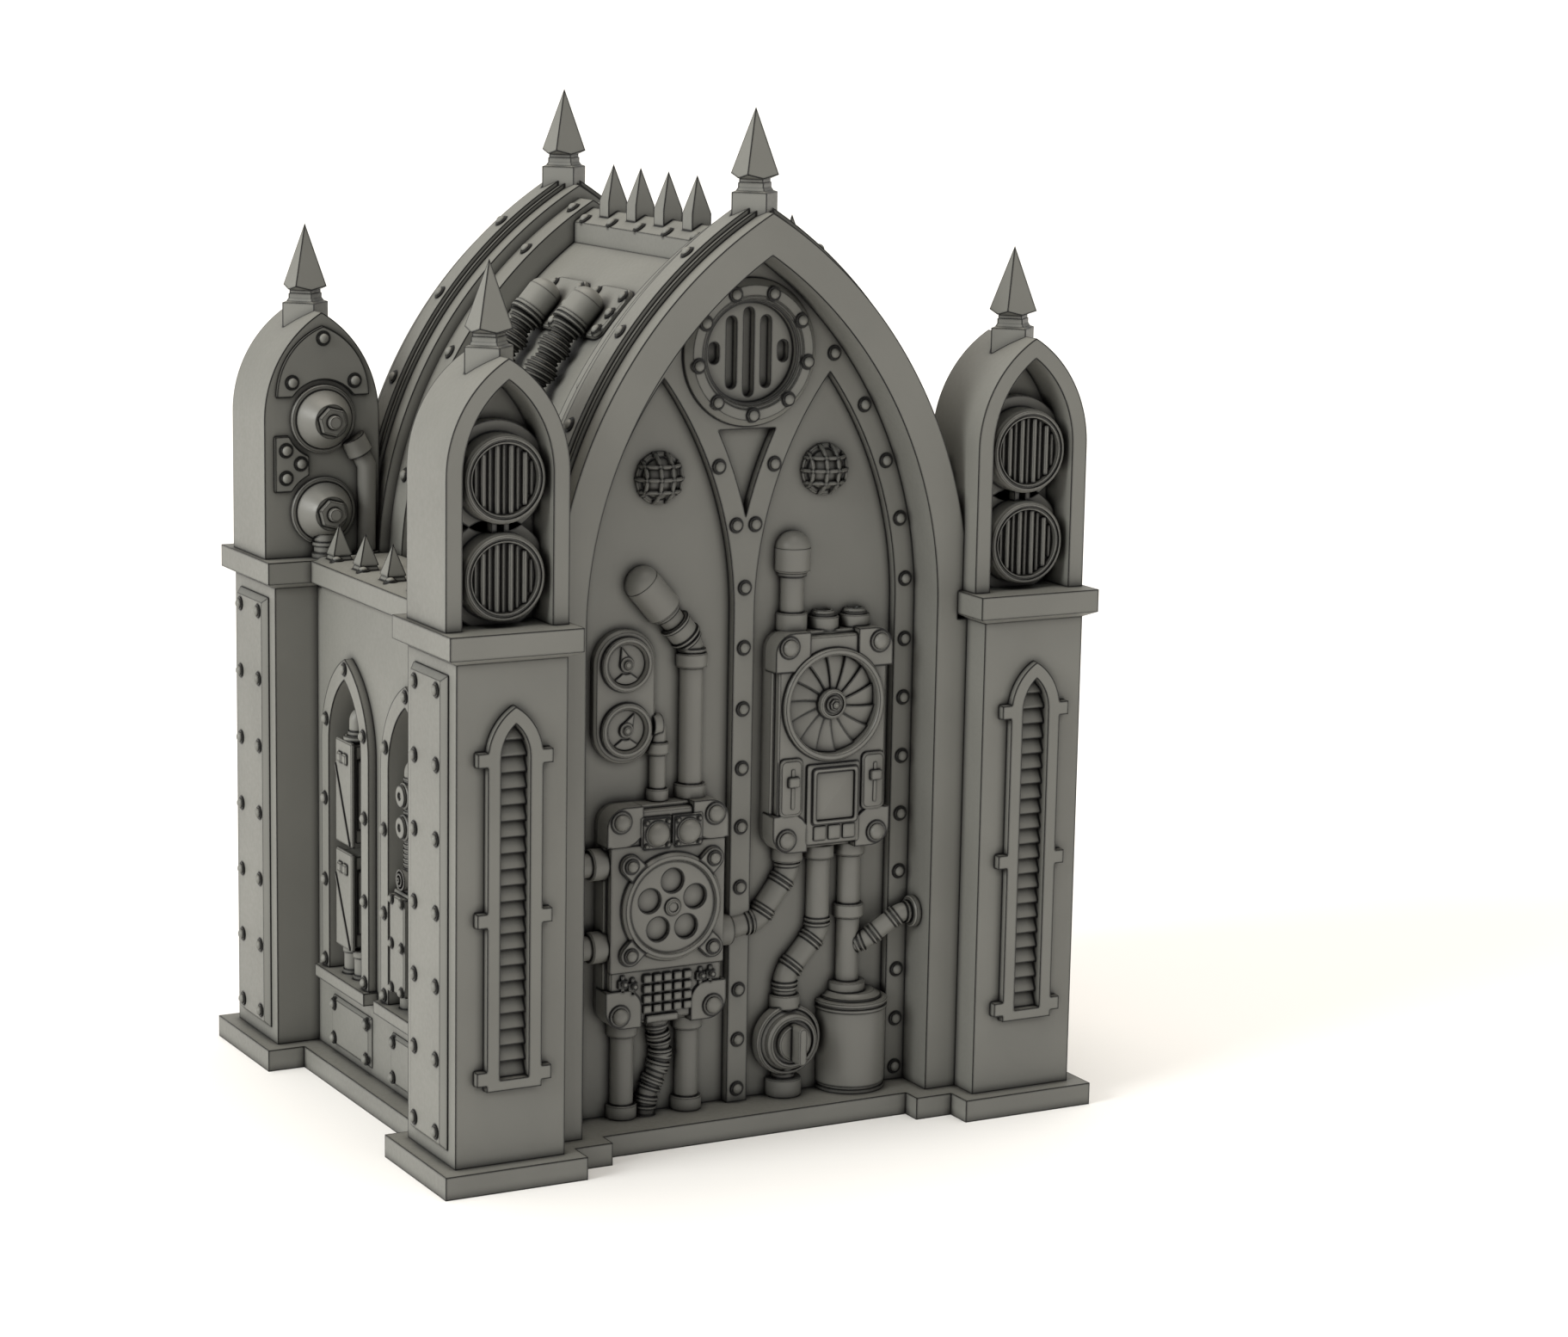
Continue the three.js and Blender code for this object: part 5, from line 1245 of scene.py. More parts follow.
def on_arch(radius, degrees, side):
    """A point on one of the rib's circles, left or right, and the way it faces"""
    angle = math.radians(degrees)
    across, up = math.cos(angle), math.sin(angle)
    place = (side * (radius * across - RIB_HALF), ARCH_SPRING + radius * up)
    return place, (side * across, up)


def gable(side):
    """Rib arch with its raised band, tracery wall and oculus; side -1 is the front"""
    def at(outline, near, far):
        return prism(outline, "y", side * near, side * far)

    lancets = []
    for sx in (-1, 1):
        outline = pointed(LANCET_HALF, LANCET_RADIUS, ARCH_SPRING, PLINTH_HEIGHT - PAST, sx * LANCET_MIDDLE)
        lancets.append(at(outline, PANEL_FACE, TRACERY_FACE + PAST))
    oculus_z = rib_apex(0) - OCULUS_DROP
    band_back, band_front = RIB_BACK + BAND_INSET, RIB_FRONT - BAND_INSET
    body = combined(
        at(rib_line(0), RIB_BACK, RIB_FRONT),
        *add(
            at(rib_line(BAND_RISE / 2, ARCH_SPRING - PAST), band_back - BAND_STEP, band_front + BAND_STEP),
            at(rib_line(BAND_RISE, ARCH_SPRING - PAST), band_back, band_front),
        ),
        *cut(at(rib_line(-RIB_WIDTH, PLINTH_HEIGHT - PAST), TRACERY_FACE, RIB_FRONT + PAST), *lancets),
        *cut(spandrel(at, oculus_z - OCULUS_OUTER - SINK)),
        *(cut(*slots(at, oculus_z)) if side < 0 else []),
        *cut(*pier_room()),
        *cut(finial_socket(0, side * finial_gable_y(), gable_tip())),
    )
    ring_in, ring_out = OCULUS_HOLE + OCULUS_EDGE, OCULUS_OUTER - OCULUS_CHAMFER
    ring = [(OCULUS_OUTER, -SINK), (OCULUS_OUTER, OCULUS_EDGE), (ring_out, OCULUS_PROUD)]
    ring += stepped(OCULUS_HOLE, OCULUS_PROUD, OCULUS_STEPS) + [(OCULUS_HOLE - OCULUS_EDGE, -SINK)]
    out = (0, side, 0)
    parts = [body, turned(ring, (0, side * TRACERY_FACE, oculus_z), out, WIDE_ROUND, True)]
    ring_face = side * (TRACERY_FACE + OCULUS_PROUD)
    ring_places = disc((ring_out + ring_in) / 2, 0, oculus_z, OCULUS_RIVETS, -90)
    parts.append(rivets([(x, ring_face, z) for x, z in ring_places], out))
    wall_places = [(0, z) for z in MULLION_RIVETS]
    for hand in (-1, 1):
        for degrees in BAND_RIVETS:
            (x, z), (across, up) = on_arch(RIB_RADIUS + BAND_RISE, degrees, hand)
            parts.append(rivet((x, side * finial_gable_y(), z), (across, 0, up)))
        wall_places += [(hand * x, z) for x, z in STRIP_RIVETS + FORK_RIVETS]
    parts.append(rivets([(x, side * TRACERY_FACE, z) for x, z in wall_places], out))
    return together(*parts)


def spandrel(at, top):
    """The V-shaped pocket between the lancets, under the oculus"""
    centre = MULLION_HALF + LANCET_RADIUS
    half = (top - ARCH_SPRING) / 2
    block = at(rectangle(0, ARCH_SPRING + half, SPANDREL_HALF, half), PANEL_FACE, TRACERY_FACE + PAST)
    sides = []
    for hand in (-1, 1):
        outline = disc(LANCET_RADIUS + SPANDREL_BAR, hand * centre, ARCH_SPRING, SPANDREL_ROUND)
        sides.append(at(outline, PANEL_FACE - PAST, TRACERY_FACE + 2 * PAST))
    return combined(block, *cut(*sides))


def slots(at, middle):
    shapes = []
    for i in range(-2, 3):
        half = SLOT_LENGTH / 2 - SLOT_SHORTENING * i * i
        outline = rounded(SLOT_HALF, half, SLOT_HALF * ROUNDEST, i * SLOT_PITCH, middle)
        shapes.append(at(outline, TRACERY_FACE - SLOT_DEPTH, TRACERY_FACE + PAST))
    return shapes


# Roof
def roof():
    """Pointed shell with framed panels, ridge crest and bellows units"""
    reach, panel_reach = RIB_BACK, RIB_BACK - ROOF_FRAME_WIDTH

    def skin(offset, length):
        return prism(rib_line(offset, ARCH_SPRING - PAST), "y", -length, length)

    ridge_top = rib_apex(-RIDGE_DROP)
    ridge = combined(
        skin(-RIDGE_DROP, reach),
        *keep(box(-RIDGE_HALF, RIDGE_HALF, -panel_reach, panel_reach, ARCH_SPRING, ridge_top)),
    )
    panel = combined(skin(PAST, panel_reach), *cut(skin(-ROOF_PANEL_DROP, reach)))
    inside = skin(-ROOF_PANEL_DROP - ROOF_SHELL, reach + PAST)
    below = box(-FAR, FAR, -FAR, FAR, 0, CORNICE_TOP)
    parts = [combined(skin(-ROOF_FRAME_DROP, reach), *cut(panel), *add(ridge), *cut(inside, below))]
    spike = [(CREST_HALF, -ROOF_SHELL), (CREST_HALF, CREST_BLOCK), (0, CREST_BLOCK + CREST_POINT)]
    for i in range(CREST_COUNT):
        y = (i - (CREST_COUNT - 1) / 2) * CREST_PITCH
        parts.append(turned(spike, (0, y, ridge_top), UP, 4))
    strip_y = (reach + panel_reach) / 2
    for hand in (-1, 1):
        spots = [
            ((i - CREST_COUNT / 2) * CREST_PITCH, RIDGE_DROP, RIDGE_RIVET_ANGLE)
            for i in range(CREST_COUNT + 1)
        ]
        for i in range(FRAME_RIVETS):
            degrees = FRAME_RIVET_FIRST + i * FRAME_RIVET_PITCH
            spots += [(end * strip_y, ROOF_FRAME_DROP, degrees) for end in (-1, 1)]
        for y, drop, degrees in spots:
            (x, z), (out, up) = on_arch(RIB_RADIUS - drop, degrees, hand)
            parts.append(rivet((x, y, z), (out, 0, up)))
        parts += [bellows(hand, y) for y in (-BELLOWS_Y, BELLOWS_Y)]
    return together(*parts)


def bellows(hand, y):
    """Riveted plate, domed cylinder and a bellows hose running down the slope to the deck"""
    panel = RIB_RADIUS - ROOF_PANEL_DROP

    def place(degrees, rise):
        angle = math.radians(degrees)
        reach = panel + rise
        return Vector((hand * (reach * math.cos(angle) - RIB_HALF), y, ARCH_SPRING + reach * math.sin(angle)))

    foot_angle = BELLOWS_TOP_ANGLE - BELLOWS_PLATE_ANGLE
    middle_angle = (BELLOWS_TOP_ANGLE + foot_angle) / 2
    tilt = math.radians(middle_angle)
    out = Vector((hand * math.cos(tilt), 0, math.sin(tilt)))
    along = Vector((-hand * math.sin(tilt), 0, math.cos(tilt)))
    centre = place(middle_angle, 0)
    length = (place(BELLOWS_TOP_ANGLE, 0) - place(foot_angle, 0)).length / 2

    def on_plate(across, up, rise):
        return centre + Vector((0, across, 0)) + along * up + out * rise

    rings = []
    for inset, rise in (
        (0, -BELLOWS_PLATE_ROOT), (0, BELLOWS_PLATE_RISE - BELLOWS_PLATE_BEVEL),
        (BELLOWS_PLATE_BEVEL, BELLOWS_PLATE_RISE),
    ):
        outline = rounded(BELLOWS_PLATE_HALF - inset, length - inset, BELLOWS_PLATE_CORNER - inset, 0, 0)
        rings.append([on_plate(a, b, rise) for a, b in outline])
    parts = [loft(rings)]
    for across in (BELLOWS_RIVET_INSET - BELLOWS_PLATE_HALF, BELLOWS_PLATE_HALF - BELLOWS_RIVET_INSET):
        places = [on_plate(across, share * length, BELLOWS_PLATE_RISE) for share in BELLOWS_RIVETS]
        parts.append(rivets(places, out, SMALL_RIVET))
    axis_rise = BELLOWS_PLATE_RISE + BELLOWS_CYLINDER - BELLOWS_SEAT
    start, end = place(foot_angle, axis_rise), place(BELLOWS_TIP_ANGLE, axis_rise)
    shoulder, edge = (end - start).length - BELLOWS_DOME_RISE, BELLOWS_EDGE
    profile = stepped(BELLOWS_CYLINDER, 0, BELLOWS_FOOT_RINGS) + [(BELLOWS_CYLINDER, shoulder)]
    profile += dome_line(BELLOWS_CYLINDER - edge, shoulder + edge, BELLOWS_DOME_RISE - edge, 6)
    parts.append(turned(profile, start, end - start))
    reach = panel + axis_rise
    last_angle = math.degrees(math.asin((DECK_TOP + FIT - ARCH_SPRING) / reach))
    run = math.radians(foot_angle - last_angle) * reach
    count = 2 * int(run / BELLOWS_RING_PITCH)
    stops, radii = [], []
    for i in range(count + 1):
        travelled = i * run / count
        wave = math.cos(2 * math.pi * travelled / BELLOWS_WAVE)
        radii.append(BELLOWS_MEAN + BELLOWS_SWELL * wave - (0 if i % 2 else BELLOWS_GROOVE))
        stops.append(place(foot_angle - math.degrees(travelled / reach), axis_rise))
    parts.append(tube(stops, radii, HOSE_ROUND))
    return together(*parts)


# Side walls
def side_wall(sx):
    """Wall with its cornice, deck, spikes, lancet niches and plates"""
    ledge_in = RIB_HALF - ROOF_PANEL_DROP - ROOF_SHELL

    def block(inside, outside, reach, z0, z1):
        return box(sx * inside, sx * outside, -reach, reach, z0, z1)

    def along_wall(outline):
        return prism([(sx * a, b) for a, b in outline], "y", -CORNICE_REACH, CORNICE_REACH)

    ledge = along_wall([
        (SIDE_INNER + SINK, CORNICE_TOP - LEDGE_DEPTH - LEDGE_BRACE), (ledge_in, CORNICE_TOP - LEDGE_DEPTH),
        (ledge_in, CORNICE_TOP), (SIDE_INNER + SINK, CORNICE_TOP),
    ])
    deck_edge = SIDE_FACE + SIDE_CORNICE_PROUD - DECK_BACK
    deck = along_wall([
        (ROOF_FOOT + FIT, CORNICE_TOP - DECK_SINK), (deck_edge, CORNICE_TOP - DECK_SINK),
        (deck_edge, CORNICE_TOP), (deck_edge - DECK_BEVEL, DECK_TOP), (ROOF_FOOT + FIT, DECK_TOP),
    ])
    spring = SILL_TOP + SIDE_WINDOW_LEGS
    back, proud = SIDE_FACE - SIDE_NICHE_DEPTH, SIDE_FACE + SIDE_WINDOW_PROUD
    frames, openings, sills, plates, rest = [], [], [], [], []
    plate_foot = PLINTH_HEIGHT + FOOT_PLATE_LIFT
    plate_top = plate_foot + FOOT_PLATE_HEIGHT
    sunk = sx * (SIDE_FACE - SINK)

    def arch(middle, inset):
        return pointed(SIDE_WINDOW_HALF - inset, SIDE_WINDOW_RADIUS - inset, spring, SILL_TOP, middle)

    for y in (-SIDE_WINDOW_Y, SIDE_WINDOW_Y):
        frames.append(prism(arch(y, 0), "x", sunk, sx * proud))
        openings.append(prism(arch(y, SIDE_WINDOW_BAR), "x", sx * back, sx * (proud + PAST)))
        sills.append(box(
            sunk, sx * (SIDE_FACE + SILL_PROUD), y - SILL_HALF, y + SILL_HALF,
            SILL_TOP - SILL_HEIGHT, SILL_TOP,
        ))
        plates.append(bevelled_plate(
            SIDE_FACE, sx, y, FOOT_PLATE_HALF, plate_foot, plate_top, FOOT_PLATE_PROUD,
        ))
        radius = SIDE_WINDOW_RADIUS - SIDE_WINDOW_BAR / 2
        half = SIDE_WINDOW_HALF - SIDE_WINDOW_BAR / 2
        angle = math.radians(WINDOW_RIVET_ANGLE)
        spots = [(0, spring + arch_rise(half, radius))]
        for hand in (-1, 1):
            spots.append((hand * (half - radius * (1 - math.cos(angle))), spring + radius * math.sin(angle)))
            spots += [(hand * half, SILL_TOP + lift) for lift in WINDOW_RIVETS]
        rest.append(rivets([(sx * proud, y + across, z) for across, z in spots], (sx, 0, 0), SMALL_RIVET))
        inset = FOOT_PLATE_RIVET_INSET
        rest.append(rivets([
            (sx * (SIDE_FACE + FOOT_PLATE_PROUD), y + hand * (FOOT_PLATE_HALF - inset), z)
            for hand in (-1, 1) for z in (plate_foot + inset, plate_top - inset)
        ], (sx, 0, 0), SMALL_RIVET))
        rest.append(meters(sx, back, y) if y > 0 else knobs_and_coil(sx, back, y))
    body = combined(
        block(SIDE_INNER, SIDE_FACE, SIDE_REACH, PLINTH_HEIGHT, SHAFT_TOP),
        *add(block(SIDE_INNER, SIDE_FACE, CORNICE_REACH, SHAFT_TOP - SINK, CORNICE_TOP)),
        *add(block(ROOF_FOOT, SIDE_FACE + SIDE_CORNICE_PROUD, CORNICE_REACH, CORNICE_FOOT, CORNICE_TOP)),
        *add(ledge, deck, *frames), *cut(*openings), *add(*sills, *plates),
    )
    eave = SPIKE_HALF + SPIKE_EAVE
    spike = [
        (SPIKE_FOOT, -DECK_SINK), (SPIKE_HALF, SPIKE_SHOULDER), (eave, SPIKE_SHOULDER),
        (eave, SPIKE_SHOULDER + SPIKE_EDGE), (0, SPIKE_HEIGHT),
    ]
    for i in range(-2, 3):
        x, y = sx * (SIDE_FACE - SPIKE_INSET), i * SPIKE_PITCH
        rest.append(turned(spike, (x, y, DECK_TOP), UP, 4))
        rest.append(rivet((x + sx * DECK_RIVET_OUT, y - DECK_RIVET_AHEAD, DECK_TOP), UP, DECK_RIVET))
    return together(body, *rest)


def niche_pipe(axis, wall, middle, top, bend, reach, radius):
    """A pipe up from a box and back into the niche's wall"""
    route = [(axis, middle, top - SINK), (axis, middle, bend), (wall, middle, bend)]
    return tube(filleted(route, reach), radius)


def meters(sx, back, y):
    """Two stacked meter boxes on feet, each with a lid, two windows and a slanting bar, and a pipe on top"""
    middle, half = y + METER_SHIFT, METER_WIDTH / 2
    low_foot = SILL_TOP + METER_LIFT
    high_foot = low_foot + METER_HEIGHT + METER_GAP
    face, root = back + METER_PROUD, back - SINK
    lid_back = face - METER_LID
    step, edge, bar = METER_STEP, METER_EDGE, METER_BAR
    parts = []
    for foot, height in ((low_foot, METER_HEIGHT), (high_foot, METER_TALL_HEIGHT)):
        rise = height / 2
        centre = foot + rise
        parts += [
            edged_box(sx, middle, centre, half - step, rise - step, root, face - step, step, METER_LID),
            edged_box(sx, middle, centre, half, rise, lid_back, face, edge),
            edged_box(sx, middle, centre, half, rise - METER_BAND, root, lid_back - METER_LID, 0, METER_LID),
        ]
        window_z = foot + height - METER_WINDOW_DROP
        for shift in METER_WINDOWS:
            parts.append(edged_box(
                sx, middle + shift, window_z, METER_WINDOW, METER_WINDOW, lid_back, face + 2 * edge, edge,
            ))
        high, low = foot + height - METER_BAR_DROP, foot + edge
        slant = [
            (middle + half - edge, high), (middle + half - edge, high - bar),
            (middle - half + bar, low), (middle - half + bar / 2, low),
        ]
        parts.append(prism(slant, "x", sx * lid_back, sx * (face + edge)))
    top = high_foot + METER_TALL_HEIGHT
    bend = top + METER_PIPE_LENGTH
    axis, radius = sx * (back + METER_PIPE_OUT), METER_PIPE_RADIUS
    foot_line = stepped(METER_FOOT_RADIUS, 0, [
        (edge, 0), (edge, SINK + bar), (0, SINK + bar), (0, METER_LIFT - bar), (edge, METER_LIFT - bar),
        (edge, METER_LIFT + SINK),
    ])
    elbow = axis - sx * radius
    parts += [
        niche_pipe(axis, sx * root, middle, top, bend, NICHE_BEND * radius, radius),
        rod((axis, middle, top), (axis, middle, top + bar), radius + bar + edge),
        rod((axis, middle, top), (axis, middle, top + 2 * bar), radius + edge),
        rod((elbow, middle, bend), (elbow - sx * bar, middle, bend), radius + bar),
    ]
    for shift in (-METER_FOOT_PITCH / 2, METER_FOOT_PITCH / 2):
        parts.append(turned(foot_line, (axis, middle + shift, SILL_TOP - SINK), UP, SMALL_ROUND))
    return together(*parts)


def knobs_and_coil(sx, back, y):
    """A riveted box, and a ribbed hose from it into the niche's back with two round knobs and a coil"""
    middle, half, rise = y + COIL_SHIFT, COIL_WIDTH / 2, COIL_HEIGHT / 2
    foot = SILL_TOP + COIL_LIFT
    top, centre = foot + COIL_HEIGHT, foot + rise
    face, root = back + COIL_PROUD, back - SINK
    axis, radius, rib = sx * (back + NICHE_HOSE_OUT), NICHE_HOSE_RADIUS, NICHE_HOSE_RIB
    out = (sx, 0, 0)
    lid_half, lid_rise = half - COIL_BEVEL, rise - COIL_LID_INSET
    leg = middle + half / 2
    parts = [
        edged_box(sx, middle, centre, half, rise, root, face - COIL_LID, COIL_BEVEL, COIL_LID_EDGE),
        edged_box(sx, middle, centre, lid_half, lid_rise, root, face, COIL_LID_EDGE),
        rivets([
            (sx * face, middle + hand * COIL_RIVET_Y, centre + up * COIL_RIVET_Z)
            for hand in (-1, 1) for up in (-1, 0, 1)
        ], out, COIL_RIVET),
        niche_pipe(axis, sx * root, middle, top, top + NICHE_HOSE_HEIGHT, NICHE_BEND * radius, radius - rib),
        rod((axis, leg, SILL_TOP - SINK), (axis, leg, foot + SINK), METER_FOOT_RADIUS),
    ]
    hose_ring = stepped(radius, 0, [(-2 * rib, -rib), (0, -rib), (0, rib), (-2 * rib, rib)])
    for i in range(1, int(NICHE_HOSE_HEIGHT / NICHE_HOSE_PITCH) - 1):
        parts.append(turned(hose_ring, (axis, middle, top + i * NICHE_HOSE_PITCH), UP, SMALL_ROUND, True))
    reach = NICHE_KNOB_PROUD - NICHE_HOSE_OUT
    knob = [(NICHE_KNOB_RADIUS, 0)] + stepped(0, reach, NICHE_KNOB_LINE)
    for i in (0, 1):
        z = SILL_TOP + NICHE_KNOB_LIFT + i * NICHE_KNOB_PITCH
        parts.append(turned(knob, (axis, middle, z), out))
    for i in range(COIL_TURNS):
        outer, height = NICHE_KNOB_TIP - i * COIL_RIVET, reach + COIL_RISE * i
        wire = [(outer - COIL_WIRE, 0), (outer - COIL_WIRE, height), (outer, height), (outer, 0)]
        parts.append(turned(wire, (axis, middle, top + NICHE_KNOB_RADIUS), out, ROUND, True))
    return together(*parts)


# Machinery on the front wall
def on_wall(shape):
    """A shape cut off at the wall's two planes and at the plinth"""
    return combined(shape, *cut(
        box(-FAR, FAR, -PANEL_FACE, 0, 0, FAR),
        *[box(hand * LANCET_EDGE, hand * FAR, -TRACERY_FACE, 0, 0, ARCH_SPRING) for hand in (-1, 1)],
        box(-MULLION_HALF, MULLION_HALF, -TRACERY_FACE, 0, 0, ARCH_SPRING),
        box(-FAR, FAR, -FAR, 0, -FAR, PLINTH_HEIGHT),
    ))


def collar(x, z0, z1, radius=COLLAR_RADIUS):
    """A sleeve with a small edge at both ends"""
    lip, height = COLLAR_LIP, z1 - z0
    profile = [(radius - lip, 0), (radius, lip), (radius, height - lip), (radius - lip, height)]
    return turned(profile, (x, -PIPE_AXIS_Y, z0), UP)


def domed_cap(start, tip):
    """A domed cap with a grooved foot, from a point to its tip"""
    way = Vector(tip) - Vector(start)
    shoulder = way.length - CAP_DOME
    dome = dome_line(CAP_RADIUS - CAP_EDGE, shoulder + CAP_EDGE, CAP_DOME - CAP_EDGE, CAP_STEPS)
    return turned(CAP_FOOT_LINE + [(CAP_RADIUS, shoulder)] + dome, start, way)


def joint_rings(start, end, radius, shares=(0,)):
    """Thin rings round a pipe, at shares of the way from a point to another"""
    start, end = Vector(start), Vector(end)
    line = stepped(radius, 0, JOINT_STEPS)
    way = end - start
    return together(*[turned(line, start + way * share, way, ROUND, True) for share in shares])


def cabinet(x, z, *hollows):
    """Rounded box with a step, and bolted brackets on its corners"""
    def outline(inset):
        return rounded(CABINET_HALF - inset, CABINET_RISE - inset, CABINET_CORNER - inset, x, z)

    edge = CABINET_EDGE
    back, middle, face = -PANEL_FACE + SINK, -PANEL_FACE - CABINET_BACK, -CABINET_FACE
    lower = bevelled(outline(0), outline(edge), "y", back, middle + edge, middle)
    upper = bevelled(outline(CABINET_STEP), outline(CABINET_STEP + edge), "y", back, face + edge, face)
    parts = [combined(lower, *add(upper), *cut(*hollows))]
    quarter = [math.radians(90 * i / BRACKET_STEPS) for i in range(BRACKET_STEPS + 1)]
    outer, inner = CABINET_CORNER + BRACKET_GROWTH, BRACKET_REACH - BRACKET_BEND
    bracket_face = face - BRACKET_PROUD
    plate = [(-BRACKET_GROWTH, BRACKET_REACH)]
    plate += [(CABINET_CORNER - outer * math.cos(a), CABINET_CORNER - outer * math.sin(a)) for a in quarter]
    plate += [(BRACKET_REACH, -BRACKET_GROWTH)]
    plate += [(BRACKET_BEND + inner * math.sin(a), BRACKET_BEND + inner * math.cos(a)) for a in quarter[::-1]]
    for hand, up in corners():
        bracket = [(x + hand * (CABINET_HALF - a), z + up * (CABINET_RISE - b)) for a, b in plate]
        parts.append(prism(bracket, "y", -PANEL_FACE - BRACKET_START, bracket_face))
        bolt = (x + hand * CABINET_BOLT_X, bracket_face, z + up * CABINET_BOLT_Z)
        parts.append(rivet(bolt, FORWARD, CABINET_BOLT))
    return together(*parts)


def on_cabinet(outline, proud, inset=PANEL_EDGE):
    """An outline standing proud of a cabinet's face, its edge bevelled"""
    across, up = zip(*outline)
    middle_a, middle_b = (min(across) + max(across)) / 2, (min(up) + max(up)) / 2
    share_a, share_b = 1 - inset / (max(across) - middle_a), 1 - inset / (max(up) - middle_b)
    inner = [(middle_a + (a - middle_a) * share_a, middle_b + (b - middle_b) * share_b) for a, b in outline]
    face = -CABINET_FACE - proud
    return bevelled(outline, inner, "y", -CABINET_FACE + SINK, face + PANEL_SHOULDER * inset, face)


def power_cabinet():
    """Left cabinet: lamp buttons above, holed disc, key panel below, two stubs at its side"""
    x, z = -LANCET_MIDDLE, POWER_CABINET_Z
    parts = [cabinet(x, z)]
    for place in BUTTONS_X:
        across, height = x + place, z + BUTTON_Z
        for half, proud in BUTTON_PLATES:
            parts.append(on_cabinet(rectangle(across, height, half, half), proud))
        parts.append(turned(BUTTON_LINE, (across, -CABINET_FACE - BUTTON_SEAT, height), FORWARD))
        parts.append(rivets([
            (across + hand * BUTTON_RIVET, -CABINET_FACE - BUTTON_RIVET_PROUD, height + up * BUTTON_RIVET)
            for hand, up in corners()
        ], FORWARD, TINY_RIVET))
    panel = rectangle(x, z + SPEAKER_Z, CABINET_HALF - SPEAKER_PANEL_INSET, SPEAKER_PANEL_RISE)
    parts.append(on_cabinet(panel, SPEAKER_PANEL_PROUD, SPEAKER_PANEL_BEVEL))
    parts += speaker(x + SPEAKER_X, z + SPEAKER_Z)
    for row in range(KEY_ROWS):
        for column in range(KEY_COLUMNS):
            across = x + KEYS_X + (column - (KEY_COLUMNS - 1) / 2) * KEY_PITCH
            height = z - KEYS_Z + ((KEY_ROWS - 1) / 2 - row) * KEY_ROW_PITCH
            parts.append(on_cabinet(rectangle(across, height, KEY_HALF, KEY_RISE), KEY_PROUD, KEY_EDGE))
    long_key = rectangle(x - LONG_KEY_X, z - LONG_KEY_Z, LONG_KEY_HALF, LONG_KEY_RISE)
    parts.append(on_cabinet(long_key, LONG_KEY_PROUD, KEY_EDGE))
    for offset, rise in TOGGLES:
        across, height = x + offset, z + rise
        for half_a, half_b, proud, bevel in TOGGLE_PLATES:
            parts.append(on_cabinet(rectangle(across, height, half_a, half_b), proud, bevel))
        tip = (across, -CABINET_FACE - TOGGLE_LENGTH, height + TOGGLE_RISE)
        parts.append(rod((across, -CABINET_FACE, height), tip, TOGGLE_FOOT, RIVET_ROUND, TOGGLE_TIP))
    for offset in STUB_HEIGHTS:
        start = (x - CABINET_HALF + SINK, -PANEL_FACE - STUB_AXIS, z + offset)
        parts.append(turned(STUB_LINE, start, (-1, 0, 0)))
    return together(*parts)


def speaker(x, z):
    """The holed disc in its rim, with a hub and four bolted lugs"""
    face = -CABINET_FACE - SPEAKER_SEAT
    places = disc(SPEAKER_HOLE_PLACE, x, z, SPEAKER_HOLES, 90)
    holes = [
        prism(disc(SPEAKER_HOLE, across, up, PIPE_ROUND), "y", face + SPEAKER_HOLE_FLOOR, face - 2 * PAST)
        for across, up in places
    ]
    plate = prism(disc(SPEAKER_PLATE, x, z, DISC_ROUND), "y", face + SPEAKER_ROOT, face - SPEAKER_PLATE_PROUD)
    parts = [
        turned(SPEAKER_RIM_LINE, (x, face, z), FORWARD, DISC_ROUND, True),
        combined(plate, *cut(*holes)),
        turned(SPEAKER_HUB_LINE, (x, face, z), FORWARD, PIPE_ROUND),
    ]
    lug_face = face - SPEAKER_LUG_PROUD
    for hand, up in corners():
        lug_x, lug_z = x + hand * SPEAKER_LUG_X, z + up * SPEAKER_LUG_Z
        toward = math.atan2(z - lug_z, x - lug_x)
        near_x = lug_x + SPEAKER_LUG_LENGTH * math.cos(toward)
        near_z = lug_z + SPEAKER_LUG_LENGTH * math.sin(toward)
        start = math.degrees(toward) + 90
        outline = arc(lug_x, lug_z, SPEAKER_LUG, start, start + 180, 12)
        outline += arc(near_x, near_z, SPEAKER_LUG, start - 180, start, 1)
        parts.append(prism(outline, "y", face + SPEAKER_ROOT, lug_face))
        parts.append(rivet((lug_x, lug_face, lug_z), FORWARD, SPEAKER_BOLT))
    return parts


